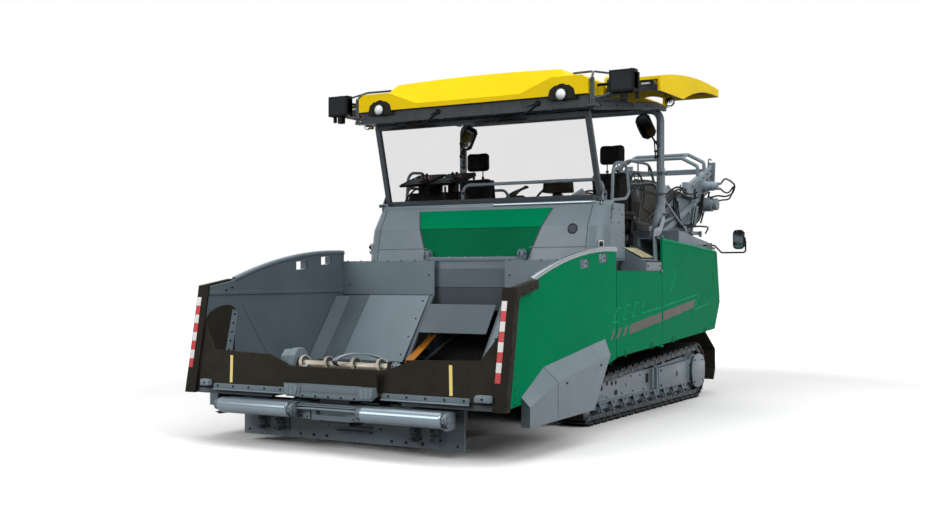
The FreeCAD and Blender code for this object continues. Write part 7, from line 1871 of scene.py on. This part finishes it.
piece = Piece("hood_parts", "chassis", "paint_grey")
for side, sign in sides:
    # lid seams, catches, grille bars and the mirror's bracket
    marks = []
    for x, y in ((0.72, 4.5), (1.3, 4.5), (1.3, 5.34), (0.72, 5.34)):
        hit, place, facing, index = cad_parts["engine_hood"].ray_cast(Vector((sign * x, spot(0, y, 0).y, 4.0)),
            Vector((0, 0, -1)))
        if hit:
            marks.append(place + facing * 0.001)
    if len(marks) == 4:
        piece.paint("deepGrey").tube(marks, 0.004, 6, loop=True)
        for k in range(9):
            a, b = marks[0].lerp(marks[3], 0.14 + 0.09 * k), marks[1].lerp(marks[2], 0.14 + 0.09 * k)
            piece.paint("panelGrey").bar(a.lerp(b, 0.12), a.lerp(b, 0.62), 0.022, 0.01, edge=0.003)
        for share in (0.2, 0.8):
            place = marks[1].lerp(marks[2], share)
            piece.paint("boltDark").block(place - Vector((0.03, 0.02, 0)), place + Vector((0.03, 0.02, 0.016)), 0.005)
        piece.paint("boltSteel").bolts([marks[0].lerp(marks[1], t) for t in (0.1, 0.9)] + [marks[3].lerp(marks[2], t)
            for t in (0.1, 0.9)], (0, 0, 1), 0.01)
    # mirror's bracket in the lighter grey as painted light
    piece.paint("litGrey")
    piece.block(spot(sign * 1.45, 5.12, 1.752), spot(sign * 1.53, 5.22, 1.778), 0.004)
    piece.plate(pane(onFront, 5.13, 1.46, 1.52, 1.775, 1.825, sign=sign), (0, 0.01, 0), 0.002)
    piece.paint("boltDark").bolts(onSide(sign * 1.49, (5.15, 1.778), (5.19, 1.778)), (0, 0, 1), 0.009)
piece.done()

# rear end of the hull: cross member, tow eyes, lamps, steps and drive covers
rear = Piece("rear_fittings", "chassis", "paint_grey")
low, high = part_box("main_frame")
back = high[1]
for side, sign in sides:
    rear.paint("frameGrey")
    rear.block(Vector((sign * 0.3 - 0.03, back - 0.002, 0.62)), Vector((sign * 0.3 + 0.03, back + 0.075, 0.74)),
        0.01, 2)
    rear.paint("boltDark").ring(Vector((sign * 0.3 + 0.031, back + 0.045, 0.68)), (1, 0, 0), 0.02, 0.034, 0.006, 20)
    rear.paint("frameGrey").block(Vector((sign * 0.46 - 0.07, back - 0.002, 0.84)),
        Vector((sign * 0.46 + 0.07, back + 0.02, 0.98)), 0.005)
    rear.paint("tapeRed").lathe(Vector((sign * 0.43, back + 0.02, 0.91)), (0, 1, 0),
        [(0, 0.036), (0.014, 0.036), (0.022, 0.026)], 22)
    rear.paint("latchOrange").lathe(Vector((sign * 0.5, back + 0.02, 0.91)), (0, 1, 0),
        [(0, 0.026), (0.012, 0.026), (0.018, 0.018)], 22)
    rear.paint("boltDark").bolts([Vector((sign * 0.46 + a, back + 0.02, b)) for a in (-0.058, 0.058)
        for b in (0.855, 0.965)], (0, 1, 0), 0.007)
rear.paint("panelGrey").bar(Vector((-0.5, back + 0.01, 0.55)), Vector((0.5, back + 0.01, 0.55)), 0.03, 0.08,
    edge=0.008)
rear.paint("boltDark").bolts(spread(Vector((-0.45, back + 0.025, 0.55)), Vector((0.45, back + 0.025, 0.55)), 7),
    (0, 1, 0), 0.013)
rear.done()

print("rear dressed")

# studio: pale floor, soft lamps and the camera
studio = {"floorHalf": 60.0, "floorColour": "FAFAFA", "floorHidden": "4A4C48", "worldLevel": 0.3,
    "floorGlow": (5.0, 9.5), "lensMillimetres": 44.365, "shift": 0.0123, "cameraPlace": (5.732, -11.706, 1.46),
    "cameraTurn": 30.2}


def cameraRays(tree):
    path = addNode(tree, "LightPath")
    seen = maths(tree, "MAXIMUM", path.outputs["Is Camera Ray"], path.outputs["Is Glossy Ray"])
    return maths(tree, "MAXIMUM", seen, path.outputs["Is Transmission Ray"])

half = studio["floorHalf"]
mesh = bpy.data.meshes.new("studioFloor")
mesh.from_pydata([(-half, -half, 0), (half, -half, 0), (half, half, 0), (-half, half, 0)], [], [(0, 1, 2, 3)])
floor = bpy.data.objects.new("studioFloor", mesh)
bpy.context.scene.collection.objects.link(floor)
material, tree, shader = freshMaterial("studioPaper")
colour = blendColours(tree, cameraRays(tree), tint(studio["floorHidden"]), tint(studio["floorColour"]))
tree.links.new(colour, shader.inputs["Base Color"])
shader.inputs["Roughness"].default_value = 1.0
shader.inputs["Specular IOR Level"].default_value = 0.0
# far from the machine the paper goes to plain white
away = addNode(tree, "VectorMath", {0: addNode(tree, "TexCoord").outputs["Object"]},
    operation="LENGTH").outputs["Value"]
near, far = studio["floorGlow"]
glow = addNode(tree, "MapRange", {"Value": away, "From Min": near, "From Max": far}, interpolation_type="SMOOTHSTEP")
shader.inputs["Emission Color"].default_value = (1, 1, 1, 1)
tree.links.new(maths(tree, "MULTIPLY", glow.outputs["Result"], cameraRays(tree)), shader.inputs["Emission Strength"])
mesh.materials.append(material)

world = bpy.data.worlds.new("studioWorld")
bpy.context.scene.world = world
world.use_nodes = True
tree = world.node_tree
background = tree.nodes["Background"]
background.inputs["Color"].default_value = (1, 1, 1, 1)
level = addNode(tree, "MapRange", {"Value": cameraRays(tree), "To Min": studio["worldLevel"], "To Max": 1.0})
tree.links.new(level.outputs["Result"], background.inputs["Strength"])


def makeLamp(name, place, target, size, power):
    light = bpy.data.lights.new(name, "AREA")
    light.shape = "RECTANGLE"
    light.size, light.size_y = size
    light.energy = power
    lamp = bpy.data.objects.new(name, light)
    lamp.location = place
    lamp.rotation_euler = (Vector(target) - Vector(place)).to_track_quat("-Z", "Y").to_euler()
    bpy.context.scene.collection.objects.link(lamp)

data = bpy.data.cameras.new("frontCorner")
data.sensor_width = 36.0
data.lens = studio["lensMillimetres"]
data.shift_y = studio["shift"]
data.clip_end = 200.0
camera = bpy.data.objects.new("frontCorner", data)
camera.location = studio["cameraPlace"]
camera.rotation_euler = (math.radians(90), 0, math.radians(studio["cameraTurn"]))
bpy.context.scene.collection.objects.link(camera)
bpy.context.scene.camera = camera

makeLamp("overheadSoftbox", (0.5, -0.5, 9.5), (0, -0.5, 0), (13.0, 15.0), 1150)
makeLamp("sideSoftbox", (9.5, -4.5, 5.0), (0, -0.5, 1.2), (7.0, 4.0), 540)
makeLamp("frontSoftbox", (-4.0, -11.5, 5.5), (0, -2.0, 1.2), (6.0, 4.0), 540)
bpy.context.scene.view_settings.view_transform = "Standard"
print("studio set up")

bpy.context.view_layer.update()
